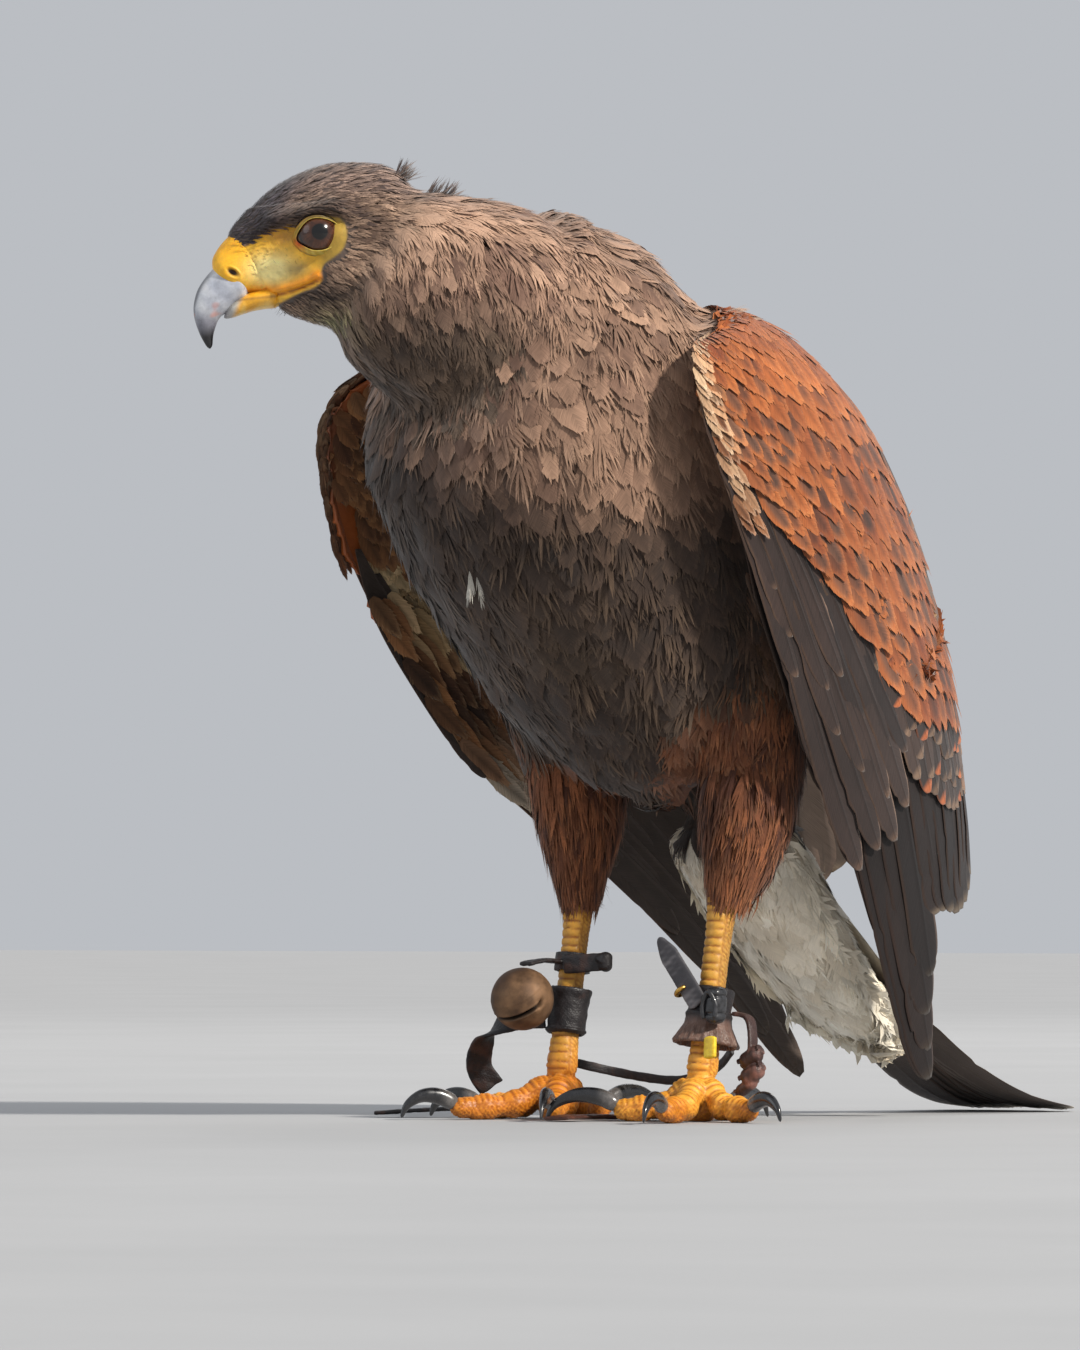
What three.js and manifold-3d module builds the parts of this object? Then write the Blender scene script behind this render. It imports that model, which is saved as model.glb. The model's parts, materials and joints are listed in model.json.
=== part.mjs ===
// Harris's hawk, standing on the floor, life size, in millimetres, +Z up.
// The bird faces -Y and its left side is +X. Its head is turned to its right, its wings hang
// a little open, and its tail is laid on the floor behind it. It wears a pair of leather
// anklets, a leg bell and short straps.
import * as THREE from "three";
import { mergeVertices } from "three/addons/utils/BufferGeometryUtils.js";
import Module from "manifold-3d";

const wasm = await Module();
wasm.setup();

// ---------------------------------------------------------------- driving dimensions
const GAP = 0.3; // clearance between pieces that touch
const FOOT_X = 31.3; // half the distance between the feet
const FLAT = 0.45; // depth of the flats that the toes stand on
const TARSUS_R = 4.6;
const TARSUS_TOP = 84;
const TOE_R = 4.4;
const CLAW_LENGTH = 17;
const EYE_R = 8.0;
const HEAD_TURN = 45; // degrees to the bird's right
const HEAD_AT = [-29, -110.5, 300.5];
const TAIL_HALF_WIDTH = 27;
const TAIL_FEATHERS = 7;
const FEATHER_THICK = 0.9; // half the thickness of a single feather's blade
const QUILL_THICK = 1.3; // half the thickness of the folded flight feathers
const QUILL_FEATHERS = 9;
const BELL_R = 11;
const LEATHER = 0.75; // half the thickness of the leather
// The whole bird is moved so that the middle of its box is over the origin.
export const OFFSET = [7.15, -35.65, 0];

// ---------------------------------------------------------------- helpers
const V = (x, y, z) => new THREE.Vector3(x, y, z);
const X = V(1, 0, 0);
const Z = V(0, 0, 1);
const lerp = THREE.MathUtils.lerp;
const rad = THREE.MathUtils.degToRad;
const curve = (points) =>
  new THREE.CatmullRomCurve3(
    points.map((p) => V(...p)),
    false,
    "centripetal",
  );

// Turns a closed geometry into a solid, whichever way its faces were wound.
function solid(geometry) {
  const g = geometry.clone();
  for (const name of Object.keys(g.attributes))
    if (name !== "position") g.deleteAttribute(name);
  const merged = mergeVertices(g, 1e-3);
  const at = merged.attributes.position;
  const raw = merged.index.array;
  const kept = [];
  let volume = 0;
  const [a, b, c] = [V(), V(), V()];
  for (let i = 0; i < raw.length; i += 3) {
    if (raw[i] === raw[i + 1] || raw[i + 1] === raw[i + 2] || raw[i] === raw[i + 2])
      continue;
    kept.push(raw[i], raw[i + 1], raw[i + 2]);
    a.fromBufferAttribute(at, raw[i]);
    b.fromBufferAttribute(at, raw[i + 1]);
    c.fromBufferAttribute(at, raw[i + 2]);
    volume += a.dot(b.cross(c));
  }
  if (volume < 0)
    for (let i = 0; i < kept.length; i += 3)
      [kept[i + 1], kept[i + 2]] = [kept[i + 2], kept[i + 1]];
  return new wasm.Manifold(
    new wasm.Mesh({
      numProp: 3,
      vertProperties: new Float32Array(at.array),
      triVerts: new Uint32Array(kept),
    }),
  );
}

const join = (list) => list.reduce((s, t) => s.add(t));
const cut = (s, ...others) => others.reduce((t, o) => t.subtract(o), s);
const largest = (s) =>
  s.decompose().reduce((p, q) => (q.volume() > p.volume() ? q : p));

// A rounded body along a row of stations. Each station has its place p, its half-width w along
// `side`, and its half-heights a and b above and below. The sphere's rings become the sections.
function loft(stations, { nu = 16, nv = 14, side = X, square = 2, cap = 0.16, end = cap, grow = 0, spin = 0, snug = false } = {}) {
  const path = curve(stations.map((s) => s.p));
  const sizes = curve(stations.map((s) => [s.w, s.a ?? s.w, s.b ?? s.a ?? s.w]));
  const g = new THREE.SphereGeometry(1, nu, nv);
  const at = g.attributes.position;
  for (let i = 0; i < at.count; i++) {
    const v = V().fromBufferAttribute(at, i);
    const q = Math.acos(THREE.MathUtils.clamp(v.y, -1, 1)) / Math.PI;
    const pole = q < 1e-6 || q > 1 - 1e-6;
    const t = snug && !pole ? lerp(0.02, 0.98, (q * nv - 1) / (nv - 2)) : q;
    const phi = Math.atan2(v.z, v.x) + spin;
    const r0 = t < cap ? Math.sqrt(1 - (1 - t / cap) ** 2) : 1;
    const r1 = 1 - t < end ? Math.sqrt(1 - (1 - (1 - t) / end) ** 2) : 1;
    const round = pole ? 0 : snug ? 1 : Math.min(r0, r1);
    const p = path.getPoint(t);
    const size = sizes.getPoint(t);
    const tangent = path.getTangent(THREE.MathUtils.clamp(t, 0.001, 0.999));
    const s = side.clone().addScaledVector(tangent, -side.dot(tangent)).normalize();
    const up = V().crossVectors(tangent, s);
    const bend = (q) => Math.sign(q) * Math.abs(q) ** (2 / square);
    const c = bend(Math.cos(phi));
    const d = bend(Math.sin(phi));
    p.addScaledVector(s, c * (size.x + grow) * round);
    p.addScaledVector(up, d * ((d > 0 ? size.y : size.z) + grow) * round);
    p.addScaledVector(tangent, grow * (t < 0.5 ? -1 : 1) * (1 - round));
    at.setXYZ(i, p.x, p.y, p.z);
  }
  return g;
}
const body = (stations, options) => solid(loft(stations, options));

function box(from, to) {
  const g = new THREE.BoxGeometry(to[0] - from[0], to[1] - from[1], to[2] - from[2]);
  g.translate((from[0] + to[0]) / 2, (from[1] + to[1]) / 2, (from[2] + to[2]) / 2);
  return solid(g);
}
const UNDER_FLOOR = box([-600, -600, -200], [600, 600, 0]);
const stand = (s) => s.subtract(UNDER_FLOOR);

// A ring of revolution about a leg. The profile is radius and height, closed on itself.
function ring(profile, at, axis, segments = 20) {
  const points = [...profile, profile[0]].map(([r, h]) => new THREE.Vector2(r, h));
  const g = new THREE.LatheGeometry(points, segments);
  g.applyQuaternion(new THREE.Quaternion().setFromUnitVectors(V(0, 1, 0), axis.clone().normalize()));
  g.translate(at.x, at.y, at.z);
  return solid(g);
}

function ball(at, r, nu = 12, nv = 8) {
  const g = new THREE.SphereGeometry(r, nu, nv);
  g.translate(at.x, at.y, at.z);
  return solid(g);
}

const hawk = new THREE.Group();
hawk.position.set(...OFFSET);
const looks = {
  down: [0x4a3a30, 0.9, 0],
  rufous: [0x9c4a1e, 0.85, 0],
  flight: [0x2b211c, 0.75, 0],
  white: [0xe9e2d6, 0.9, 0],
  skin: [0xe7a51a, 0.5, 0],
  horn: [0x5f6a78, 0.3, 0],
  claw: [0x121214, 0.2, 0],
  eye: [0x4a2a14, 0.05, 0],
  leather: [0x2a1c15, 0.6, 0],
  bronze: [0x8a6a45, 0.4, 0.9],
  brass: [0xb58a3c, 0.35, 0.9],
  plastic: [0xe0c030, 0.4, 0],
};
function surface(whole) {
  const m = whole.getMesh();
  const at = new Float32Array((m.vertProperties.length / m.numProp) * 3);
  for (let i = 0; i < at.length / 3; i++)
    at.set(m.vertProperties.subarray(i * m.numProp, i * m.numProp + 3), i * 3);
  const g = new THREE.BufferGeometry();
  g.setAttribute("position", new THREE.BufferAttribute(at, 3));
  g.setIndex(new THREE.BufferAttribute(new Uint32Array(m.triVerts), 1));
  return g;
}
function add(name, made, look) {
  const g = surface(largest(made));
  g.computeVertexNormals();
  const [color, roughness, metalness] = looks[look];
  const mesh = new THREE.Mesh(
    g,
    new THREE.MeshStandardMaterial({ color, roughness, metalness, flatShading: true }),
  );
  mesh.name = name;
  hawk.add(mesh);
}

// ---------------------------------------------------------------- trunk and neck
const TRUNK = [
  { p: [-5, -86, 290], w: 34, a: 30, b: 34 },
  { p: [-2, -66, 274], w: 56, a: 52, b: 50 },
  { p: [0, -44, 248], w: 66, a: 71, b: 54 },
  { p: [0, -25, 218], w: 65, a: 71, b: 55 },
  { p: [0, -8, 185], w: 60, a: 62, b: 54 },
  { p: [0, 3, 155], w: 54, a: 51, b: 51 },
  { p: [0, 10, 129], w: 40, a: 32, b: 40 },
  { p: [0, 18, 106], w: 23, a: 18, b: 20 },
];
const RUMP = [
  { p: [0, -2, 215], w: 46, a: 42 },
  { p: [0, 22, 176], w: 48, a: 42 },
  { p: [0, 45, 138], w: 37, a: 29 },
  { p: [0, 68, 102], w: 23, a: 15 },
];
const NECK = [
  { p: [0, -56, 270], w: 45, a: 40, b: 44 },
  { p: [-9, -80, 283], w: 44, a: 33, b: 46 },
  { p: [-19, -97, 291], w: 36, a: 26, b: 42 },
  { p: [-30, -109, 298], w: 26, a: 21, b: 34 },
];
const trunkBody = (grow) => body(TRUNK, { nu: 18, nv: 11, square: 2.15, end: 0.24, grow });
const rumpBody = (grow) => body(RUMP, { nu: 12, nv: 7, grow });
const neckBody = (grow) => body(NECK, { nu: 14, nv: 8, cap: 0.2, grow });

// ---------------------------------------------------------------- head
// The head has its own axes: f forward to the bill, v up, w to the bird's left.
const turn = rad(HEAD_TURN);
const FORWARD = V(-Math.sin(turn), -Math.cos(turn), 0);
const LEFT = V(Math.cos(turn), -Math.sin(turn), 0);
const inHead = (f, v, w = 0) =>
  V(...HEAD_AT).addScaledVector(FORWARD, f).addScaledVector(Z, v).addScaledVector(LEFT, w);
// A head station is given by where it is along f, its top and bottom, and its half-width.
const headStation = ([f, top, bottom, w]) => ({
  p: inHead(f, (top + bottom) / 2).toArray(),
  w,
  a: (top - bottom) / 2,
});
const SKULL = [
  [-31, 13, -14, 15],
  [-22, 20, -26, 22.5],
  [-8, 24.5, -33, 26],
  [6, 24.8, -33, 24.6],
  [17, 20.8, -31, 19.3],
  [26.5, 13.8, -28.5, 14],
  [33.5, 5.6, -25.5, 10.2],
  [37.5, -2, -23.5, 7.5],
].map(headStation);
const CERE = [
  [29, 6, -22, 8.5],
  [35, 2.8, -21.5, 9.2],
  [40.5, -2.8, -21.5, 8.6],
  [45.9, -11.2, -21.5, 7.5],
].map(headStation);
const billStation = ([f, v, a, b, w]) => ({ p: inHead(f, v).toArray(), w, a, b });
const UPPER_BILL = [
  [36.5, -14.5, 8.5, 7.2, 8],
  [43.2, -17.6, 7.4, 7.2, 6.8],
  [48, -22.4, 6, 6.6, 5.1],
  [50, -27, 4.2, 5, 3.6],
  [50, -32.8, 2.4, 3, 2.2],
  [48.6, -38.6, 0.7, 0.8, 0.7],
].map(billStation);
const LOWER_BILL = [
  [24, -20, 3, 4.6, 8.2],
  [33, -21.8, 3, 3.8, 7.4],
  [39.5, -24.8, 2.6, 2.8, 5.6],
  [43.8, -28.2, 1.2, 1.4, 2.9],
].map(billStation);
const skull = (grow) => body(SKULL, { nu: 14, nv: 11, side: LEFT, cap: 0.2, end: 0.1, square: 2.1, grow });
const cere = (grow) => body(CERE, { nu: 12, nv: 6, side: LEFT, cap: 0.15, end: 0.2, grow });
const upperBill = (grow) => body(UPPER_BILL, { nu: 10, nv: 11, side: LEFT, cap: 0.1, end: 0.05, grow });
const lowerBill = (grow) => body(LOWER_BILL, { nu: 10, nv: 6, side: LEFT, cap: 0.15, end: 0.25, grow });

const EYE_IN_HEAD = [12.8, -0.8, 16];
const eyeAt = (side) => inHead(EYE_IN_HEAD[0], EYE_IN_HEAD[1], side * EYE_IN_HEAD[2]);

// ---------------------------------------------------------------- legs
const LEGS = {
  left: {
    sign: 1,
    hip: [
      { p: [36, 0, 178], w: 20, a: 26 },
      { p: [36, 14, 152], w: 24, a: 27 },
      { p: [35, 24, 124], w: 18, a: 22 },
      { p: [34, 21.5, 98], w: 14.5, a: 18 },
      { p: [32, 13.4, 72], w: 7.4, a: 8 },
    ],
    ankle: [31.8, 13, TARSUS_TOP],
    foot: [FOOT_X, 0, 13],
    toes: {
      inner: [-28, -25, 30],
      middle: [15, -40, 40],
      outer: [33, -9, 32],
      hind: [-4, 24, 22],
    },
  },
  right: {
    sign: -1,
    hip: [
      { p: [-36, -6, 178], w: 20, a: 26 },
      { p: [-36, 6, 152], w: 24, a: 27 },
      { p: [-35, 12, 124], w: 18, a: 22 },
      { p: [-33, 12, 98], w: 13.5, a: 16 },
      { p: [-32, 10, 72], w: 7, a: 7.6 },
    ],
    ankle: [-31.8, 11, TARSUS_TOP],
    foot: [-FOOT_X, -1, 13],
    toes: {
      inner: [18, -27, 30],
      middle: [-22, -37, 40],
      outer: [-38, -17, 32],
      hind: [4, 24, 22],
    },
  },
};
const thigh = (leg, grow) => body(leg.hip, { nu: 12, nv: 9, cap: 0.2, end: 0.12, grow });
const shank = (leg, grow) =>
  body(
    [
      { p: leg.ankle, w: TARSUS_R + 0.9, a: TARSUS_R + 1.2 },
      { p: leg.ankle.map((q, i) => lerp(q, leg.foot[i], 0.33)), w: TARSUS_R - 0.3, a: TARSUS_R },
      { p: leg.ankle.map((q, i) => lerp(q, leg.foot[i], 0.66)), w: TARSUS_R - 0.4, a: TARSUS_R },
      { p: leg.foot, w: TARSUS_R + 1.2, a: TARSUS_R + 1 },
    ],
    { nu: 8, nv: 6, snug: true, grow },
  );

// A toe is a tube with swollen joints that arches a little between the foot and its claw.
function toe(leg, reach, length) {
  const from = V(...leg.foot);
  const way = V(reach[0], reach[1], 0).normalize();
  const rise = TOE_R - FLAT;
  const stations = [
    [0, 11, TOE_R + 1],
    [0.2, 9.5, TOE_R + 0.9],
    [0.42, rise + 1.4, TOE_R],
    [0.62, rise + 0.5, TOE_R + 0.5],
    [0.82, rise + 0.2, TOE_R - 0.4],
    [1, rise + 0.1, TOE_R - 0.7],
  ].map(([t, z, r]) => ({
    p: [from.x + way.x * length * t, from.y + way.y * length * t, z],
    w: r,
    a: r,
  }));
  return body(stations, { nu: 6, nv: 7, side: V().crossVectors(way, Z), cap: 0.12, end: 0.1 });
}
// A claw leaves the end of its toe, rises over its root and curves down to a point on the floor.
function claw(leg, reach, length, grow, big) {
  const from = V(...leg.foot);
  const way = V(reach[0], reach[1], 0).normalize();
  const at = (t, z) => [from.x + way.x * (length + t), from.y + way.y * (length + t), z];
  const reachOut = CLAW_LENGTH * big;
  return body(
    [
      { p: at(-2.5, 5), w: 2.6, a: 2.9 },
      { p: at(reachOut * 0.22, 6.4 + 1.6 * big), w: 2.3, a: 2.9 },
      { p: at(reachOut * 0.58, 6.2 + 2 * big), w: 1.8, a: 2.3 },
      { p: at(reachOut * 0.88, 3.4 + 1.6 * big), w: 1.1, a: 1.4 },
      { p: at(reachOut, 0.8), w: 0.4, a: 0.5 },
    ],
    { nu: 6, nv: 6, side: V().crossVectors(way, Z), cap: 0.12, end: 0.05, grow },
  );
}
const CLAW_SIZE = { inner: 1.35, middle: 1.05, outer: 0.9, hind: 1.4 };

// ---------------------------------------------------------------- wings
// Each folded wing is a curved surface between a leading and a trailing curve that run from the
// shoulder to the wing tip. s goes across it from 0 to 1 and t along it from 0 to 1.
const WINGS = {
  left: {
    sign: 1,
    lead: [
      [62, -30, 270],
      [79, -63, 254],
      [82, -51, 221],
      [79, -26, 186],
      [74, -3, 154],
      [68, 20, 124],
      [61, 47, 92],
      [54, 72, 64],
      [47, 96, 36],
      [40, 119, 5],
    ],
    trail: [
      [34, -8, 277],
      [44, 33, 262],
      [41, 73, 243],
      [37, 101, 215],
      [34, 120, 186],
      [33, 132, 156],
      [33, 139, 126],
      [34, 143, 96],
      [36, 141, 60],
      [39, 130, 22],
    ],
  },
  right: {
    sign: -1,
    lead: [
      [-64, -32, 272],
      [-84, -62, 246],
      [-91, -55, 211],
      [-89, -39, 178],
      [-84, -14, 146],
      [-76, 12, 118],
      [-66, 46, 92],
      [-57, 78, 68],
      [-47, 112, 38],
      [-39, 143, 6],
    ],
    trail: [
      [-34, -8, 277],
      [-44, 33, 262],
      [-41, 73, 243],
      [-37, 101, 215],
      [-34, 120, 186],
      [-33, 134, 156],
      [-33, 145, 126],
      [-34, 150, 96],
      [-36, 152, 62],
      [-39, 150, 24],
    ],
  },
};
const CAMBER = 15; // how far the folded wing bulges outwards, less near the shoulder
const step = THREE.MathUtils.smoothstep;
function wingFrame(wing) {
  const lead = curve(wing.lead);
  const trail = curve(wing.trail);
  const flat = (s, t) => lead.getPoint(t).lerp(trail.getPoint(t), s);
  const out = (s, t) => {
    const a = flat(0, t);
    const b = flat(1, t);
    const c = flat(s, Math.min(t + 0.02, 1));
    const d = flat(s, Math.max(t - 0.02, 0));
    const n = V().crossVectors(b.sub(a), c.sub(d)).normalize();
    return n.x * wing.sign < 0 ? n.negate() : n;
  };
  const at = (s, t, lift = 0) => {
    const wide = Math.min(1, Math.max(0, (1 - t) / 0.45)) * lerp(0.35, 1, step(t, 0, 0.18));
    return flat(s, t).addScaledVector(out(s, t), CAMBER * wide * 4 * s * (1 - s) + lift);
  };
  return { at, out };
}
// The arm with its coverts: its outer side is the wing's, and its inner side grows thick towards
// the shoulder, where it meets the trunk.
const ARM_END = 0.53;
function arm(wing, grow = 0) {
  const frame = wingFrame(wing);
  const g = new THREE.SphereGeometry(1, 14, 12);
  const at = g.attributes.position;
  for (let i = 0; i < at.count; i++) {
    const v = V().fromBufferAttribute(at, i);
    const q = Math.acos(THREE.MathUtils.clamp(v.y, -1, 1)) / Math.PI;
    const phi = Math.atan2(v.z, v.x);
    const end = Math.sqrt(Math.max(0, 1 - Math.abs(2 * q - 1) ** 7));
    const s = 0.5 + 0.5 * Math.cos(phi) * Math.min(1, end * 1.05) ** 0.6;
    const t = q * ARM_END - 0.012 * Math.cos(2 * phi) * q;
    const high = Math.abs(Math.sin(phi)) ** 0.7 * end;
    const skin = lerp(6.5, 2.6, Math.min(1, s)) * lerp(1, 0.5, q) + grow;
    const root = 30 * step(s, 0.1, 0.5) * step(1 - q, 0.3, 0.85);
    const p = frame.at(s, t, (Math.sin(phi) > 0 ? skin : -skin - root) * high);
    const across = frame.at(1, t).sub(frame.at(0, t)).normalize();
    p.addScaledVector(across, grow * Math.cos(phi) * Math.min(1, end * 2));
    p.addScaledVector(Z, q > 0.9 ? -grow : 0);
    at.setXYZ(i, p.x, p.y, p.z);
  }
  return solid(g);
}
// A flight feather lies on the wing's surface, from its root to its tip.
function quill(wing, root, tip, half, lift, thick = FEATHER_THICK) {
  const frame = wingFrame(wing);
  const g = new THREE.SphereGeometry(1, 4, 8);
  const at = g.attributes.position;
  const place = (q) => [lerp(root[0], tip[0], q), lerp(root[1], tip[1], q)];
  for (let i = 0; i < at.count; i++) {
    const v = V().fromBufferAttribute(at, i);
    const q0 = Math.acos(THREE.MathUtils.clamp(v.y, -1, 1)) / Math.PI;
    const q = q0 < 0.5 ? q0 : 1 - 2 * (1 - q0) ** 2; // more rings near the tip
    const phi = Math.atan2(v.z, v.x);
    const [s, t] = place(q);
    const p = frame.at(s, t, lift);
    const [s2, t2] = place(Math.min(1, q + 0.03));
    const [s1, t1] = place(Math.max(0, q - 0.03));
    const way = frame.at(s2, t2, lift).sub(frame.at(s1, t1, lift)).normalize();
    const out = frame.out(s, t);
    const across = V().crossVectors(out, way).normalize();
    const wide = half * Math.sqrt(Math.max(0, 1 - Math.max(0, (q - 0.86) / 0.14) ** 2)) * Math.min(1, 0.5 + q * 1.2) * Math.min(1, q / 0.04);
    p.addScaledVector(across, Math.cos(phi) * wide);
    p.addScaledVector(out, Math.sin(phi) * thick * Math.min(1, q / 0.04, (1 - q) / 0.02));
    at.setXYZ(i, p.x, p.y, p.z);
  }
  return solid(g);
}
// A plate of flight feathers: it fills a stretch of a surface down to a row of rounded tips.
// `edge` gives how far each place s across the plate reaches, before the notches are taken out.
function plate({ at: place, out, from, edge, feathers, notch, thick, nu, nv }) {
  const g = new THREE.SphereGeometry(1, nu, nv);
  const at = g.attributes.position;
  for (let i = 0; i < at.count; i++) {
    const v = V().fromBufferAttribute(at, i);
    const q0 = Math.acos(THREE.MathUtils.clamp(v.y, -1, 1)) / Math.PI;
    const phi = Math.atan2(v.z, v.x);
    const pole = q0 < 1e-6 || q0 > 1 - 1e-6;
    const q = pole ? q0 : (q0 * nv - 1) / (nv - 2);
    const s = pole ? 0.5 : 1 - Math.acos(THREE.MathUtils.clamp(Math.cos(phi), -1, 1)) / Math.PI;
    const w = s * feathers - Math.floor(Math.min(s * feathers, feathers - 1e-6));
    const reach = edge(s) - notch * Math.abs(2 * w - 1) ** 2.4;
    const t = lerp(from, reach, pole ? (q0 < 0.5 ? 0.01 : 0.99) : lerp(0.0, 1, q));
    const side = Math.abs(Math.sin(phi)) < 1e-6 || pole ? 0 : Math.sign(Math.sin(phi));
    const rim = Math.min(1, Math.abs(Math.sin(phi)) * 4);
    const p = place(s, t).addScaledVector(out(s, t), side * thick * rim * (q > 0.97 ? 0.6 : 1));
    at.setXYZ(i, p.x, p.y, p.z);
  }
  return solid(g);
}

// ---------------------------------------------------------------- tail
const TAIL = curve([
  [0, 58, 112],
  [0, 90, 74],
  [0, 126, 41],
  [0, 160, 18],
  [0, 190, 5.5],
  [0, 221, 0.2],
]);
// The tail is a plate too: s runs from its right edge to its left one and t from root to tip.
const tailOut = (s, t) => V().crossVectors(X, TAIL.getTangent(Math.min(t, 0.999))).normalize();
const tailAt = (s, t) => {
  const k = 2 * s - 1;
  const half = lerp(13, TAIL_HALF_WIDTH, Math.min(1, t * 1.15));
  return TAIL.getPoint(Math.min(t, 1))
    .addScaledVector(X, k * half)
    .addScaledVector(tailOut(s, t), (1 - t) * 5 * (1 - k * k));
};
const tailPlate = () =>
  plate({
    at: tailAt,
    out: tailOut,
    from: 0,
    edge: (s) => 1 - 0.05 * (2 * s - 1) ** 2,
    feathers: TAIL_FEATHERS,
    notch: 0.025,
    thick: 1.2,
    nu: 24,
    nv: 7,
  });
const UNDERTAIL = [
  { p: [0, 40, 112], w: 26, a: 16, b: 16 },
  { p: [0, 64, 84], w: 28, a: 14, b: 20 },
  { p: [0, 88, 58], w: 25, a: 10, b: 20 },
  { p: [0, 116, 36], w: 20, a: 6, b: 15 },
  { p: [0, 142, 22], w: 12, a: 3, b: 6 },
];
const undertail = (grow) => body(UNDERTAIL, { nu: 12, nv: 8, cap: 0.15, end: 0.25, grow });

// ---------------------------------------------------------------- building
const headSolid = skull(0);
const neckSolid = neckBody(0).subtract(skull(GAP));
const eyes = { left: eyeAt(1), right: eyeAt(-1) };
const thighs = { left: thigh(LEGS.left, 0), right: thigh(LEGS.right, 0) };

const jaws = [cere(GAP), upperBill(GAP), lowerBill(GAP)];
add("head", cut(headSolid, ball(eyes.left, EYE_R + GAP), ball(eyes.right, EYE_R + GAP), ...jaws), "down");
add("eye_left", ball(eyes.left, EYE_R, 12, 9), "eye");
add("eye_right", ball(eyes.right, EYE_R, 12, 9), "eye");
add("bill_upper", upperBill(0), "horn");
add("cere", cut(cere(0), upperBill(GAP)), "skin");
add("bill_lower", cut(lowerBill(0), upperBill(GAP), cere(GAP)), "horn");
add("neck", neckSolid, "down");

const trunkSolid = cut(
  trunkBody(0).add(rumpBody(0)),
  neckBody(GAP),
  skull(GAP),
  thigh(LEGS.left, GAP),
  thigh(LEGS.right, GAP),
);
const trunkFull = trunkBody(GAP).add(rumpBody(GAP));
add("trunk", trunkSolid, "down");

for (const name of ["left", "right"]) {
  const leg = LEGS[name];
  add("thigh_" + name, cut(thighs[name], shank(leg, GAP)), "down");
  const toes = Object.values(leg.toes).map((r) => toe(leg, r, r[2]));
  const pad = body(
    [
      { p: [leg.foot[0], leg.foot[1] + 4, 7], w: 7, a: 7.5 },
      { p: [leg.foot[0], leg.foot[1] - 1, 7], w: 8.4, a: 8 },
      { p: [leg.foot[0], leg.foot[1] - 7, 6], w: 7.6, a: 6.6 },
    ],
    { nu: 8, nv: 5, cap: 0.3 },
  );
  const claws = {};
  for (const [key, reach] of Object.entries(leg.toes))
    claws[key] = (grow) => claw(leg, reach, reach[2], grow, CLAW_SIZE[key]);
  const foot = cut(stand(join([...toes, pad])), shank(leg, GAP), ...Object.values(claws).map((c) => c(GAP)));
  add("tarsus_" + name, shank(leg, 0), "skin");
  add("foot_" + name, foot, "skin");
  for (const key of Object.keys(claws)) add(`claw_${name}_${key}`, stand(claws[key](0)), "claw");
}

const undertailSolid = cut(undertail(0), trunkFull, thigh(LEGS.left, GAP), thigh(LEGS.right, GAP));
add("undertail", undertailSolid, "white");
add("tail", cut(stand(tailPlate()), trunkFull, undertail(GAP)), "flight");

// The flight feathers' tips: the primaries reach the wing tip and the secondaries stop higher.
const QUILLS_FROM = 0.44;
const quillEdge = (s) =>
  s < 0.62 ? lerp(1, 0.88, s / 0.62) : lerp(0.86, 0.83, (s - 0.62) / 0.38);
// The short outermost feathers, which the right wing shows ahead of its coverts.
const SHORT = {
  left: [[[0.05, 0.36], [0.0, 0.72]]],
  right: [
    [[0.03, 0.26], [-0.085, 0.53]],
    [[0.06, 0.28], [0.0, 0.585]],
  ],
};
for (const name of ["left", "right"]) {
  const wing = WINGS[name];
  const frame = wingFrame(wing);
  const legCut = thigh(LEGS[name], GAP);
  const armFull = arm(wing, 2 * GAP).add(arm(wing, 0));
  add(`wing_${name}_arm`, cut(arm(wing), trunkFull, neckBody(GAP), legCut), "rufous");
  const quills = (grow) =>
    plate({
      at: (s, t) => frame.at(s, t, -0.4),
      out: frame.out,
      from: QUILLS_FROM,
      edge: quillEdge,
      feathers: QUILL_FEATHERS,
      notch: 0.022,
      thick: QUILL_THICK + grow,
      nu: 36,
      nv: 8,
    });
  add(`wing_${name}_quills`, cut(quills(0), armFull, trunkFull, legCut), "flight");
  const short = join(SHORT[name].map(([root, tip]) => quill(wing, root, tip, 8, -3.2)));
  add(`wing_${name}_short`, cut(short, armFull, quills(GAP), trunkFull, legCut), "flight");
}

// ---------------------------------------------------------------- what it wears
const onLeg = (leg, z) =>
  V(...leg.ankle).lerp(V(...leg.foot), (leg.ankle[2] - z) / (leg.ankle[2] - leg.foot[2]));
const legAxis = (leg) => V(...leg.ankle).sub(V(...leg.foot));
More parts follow.
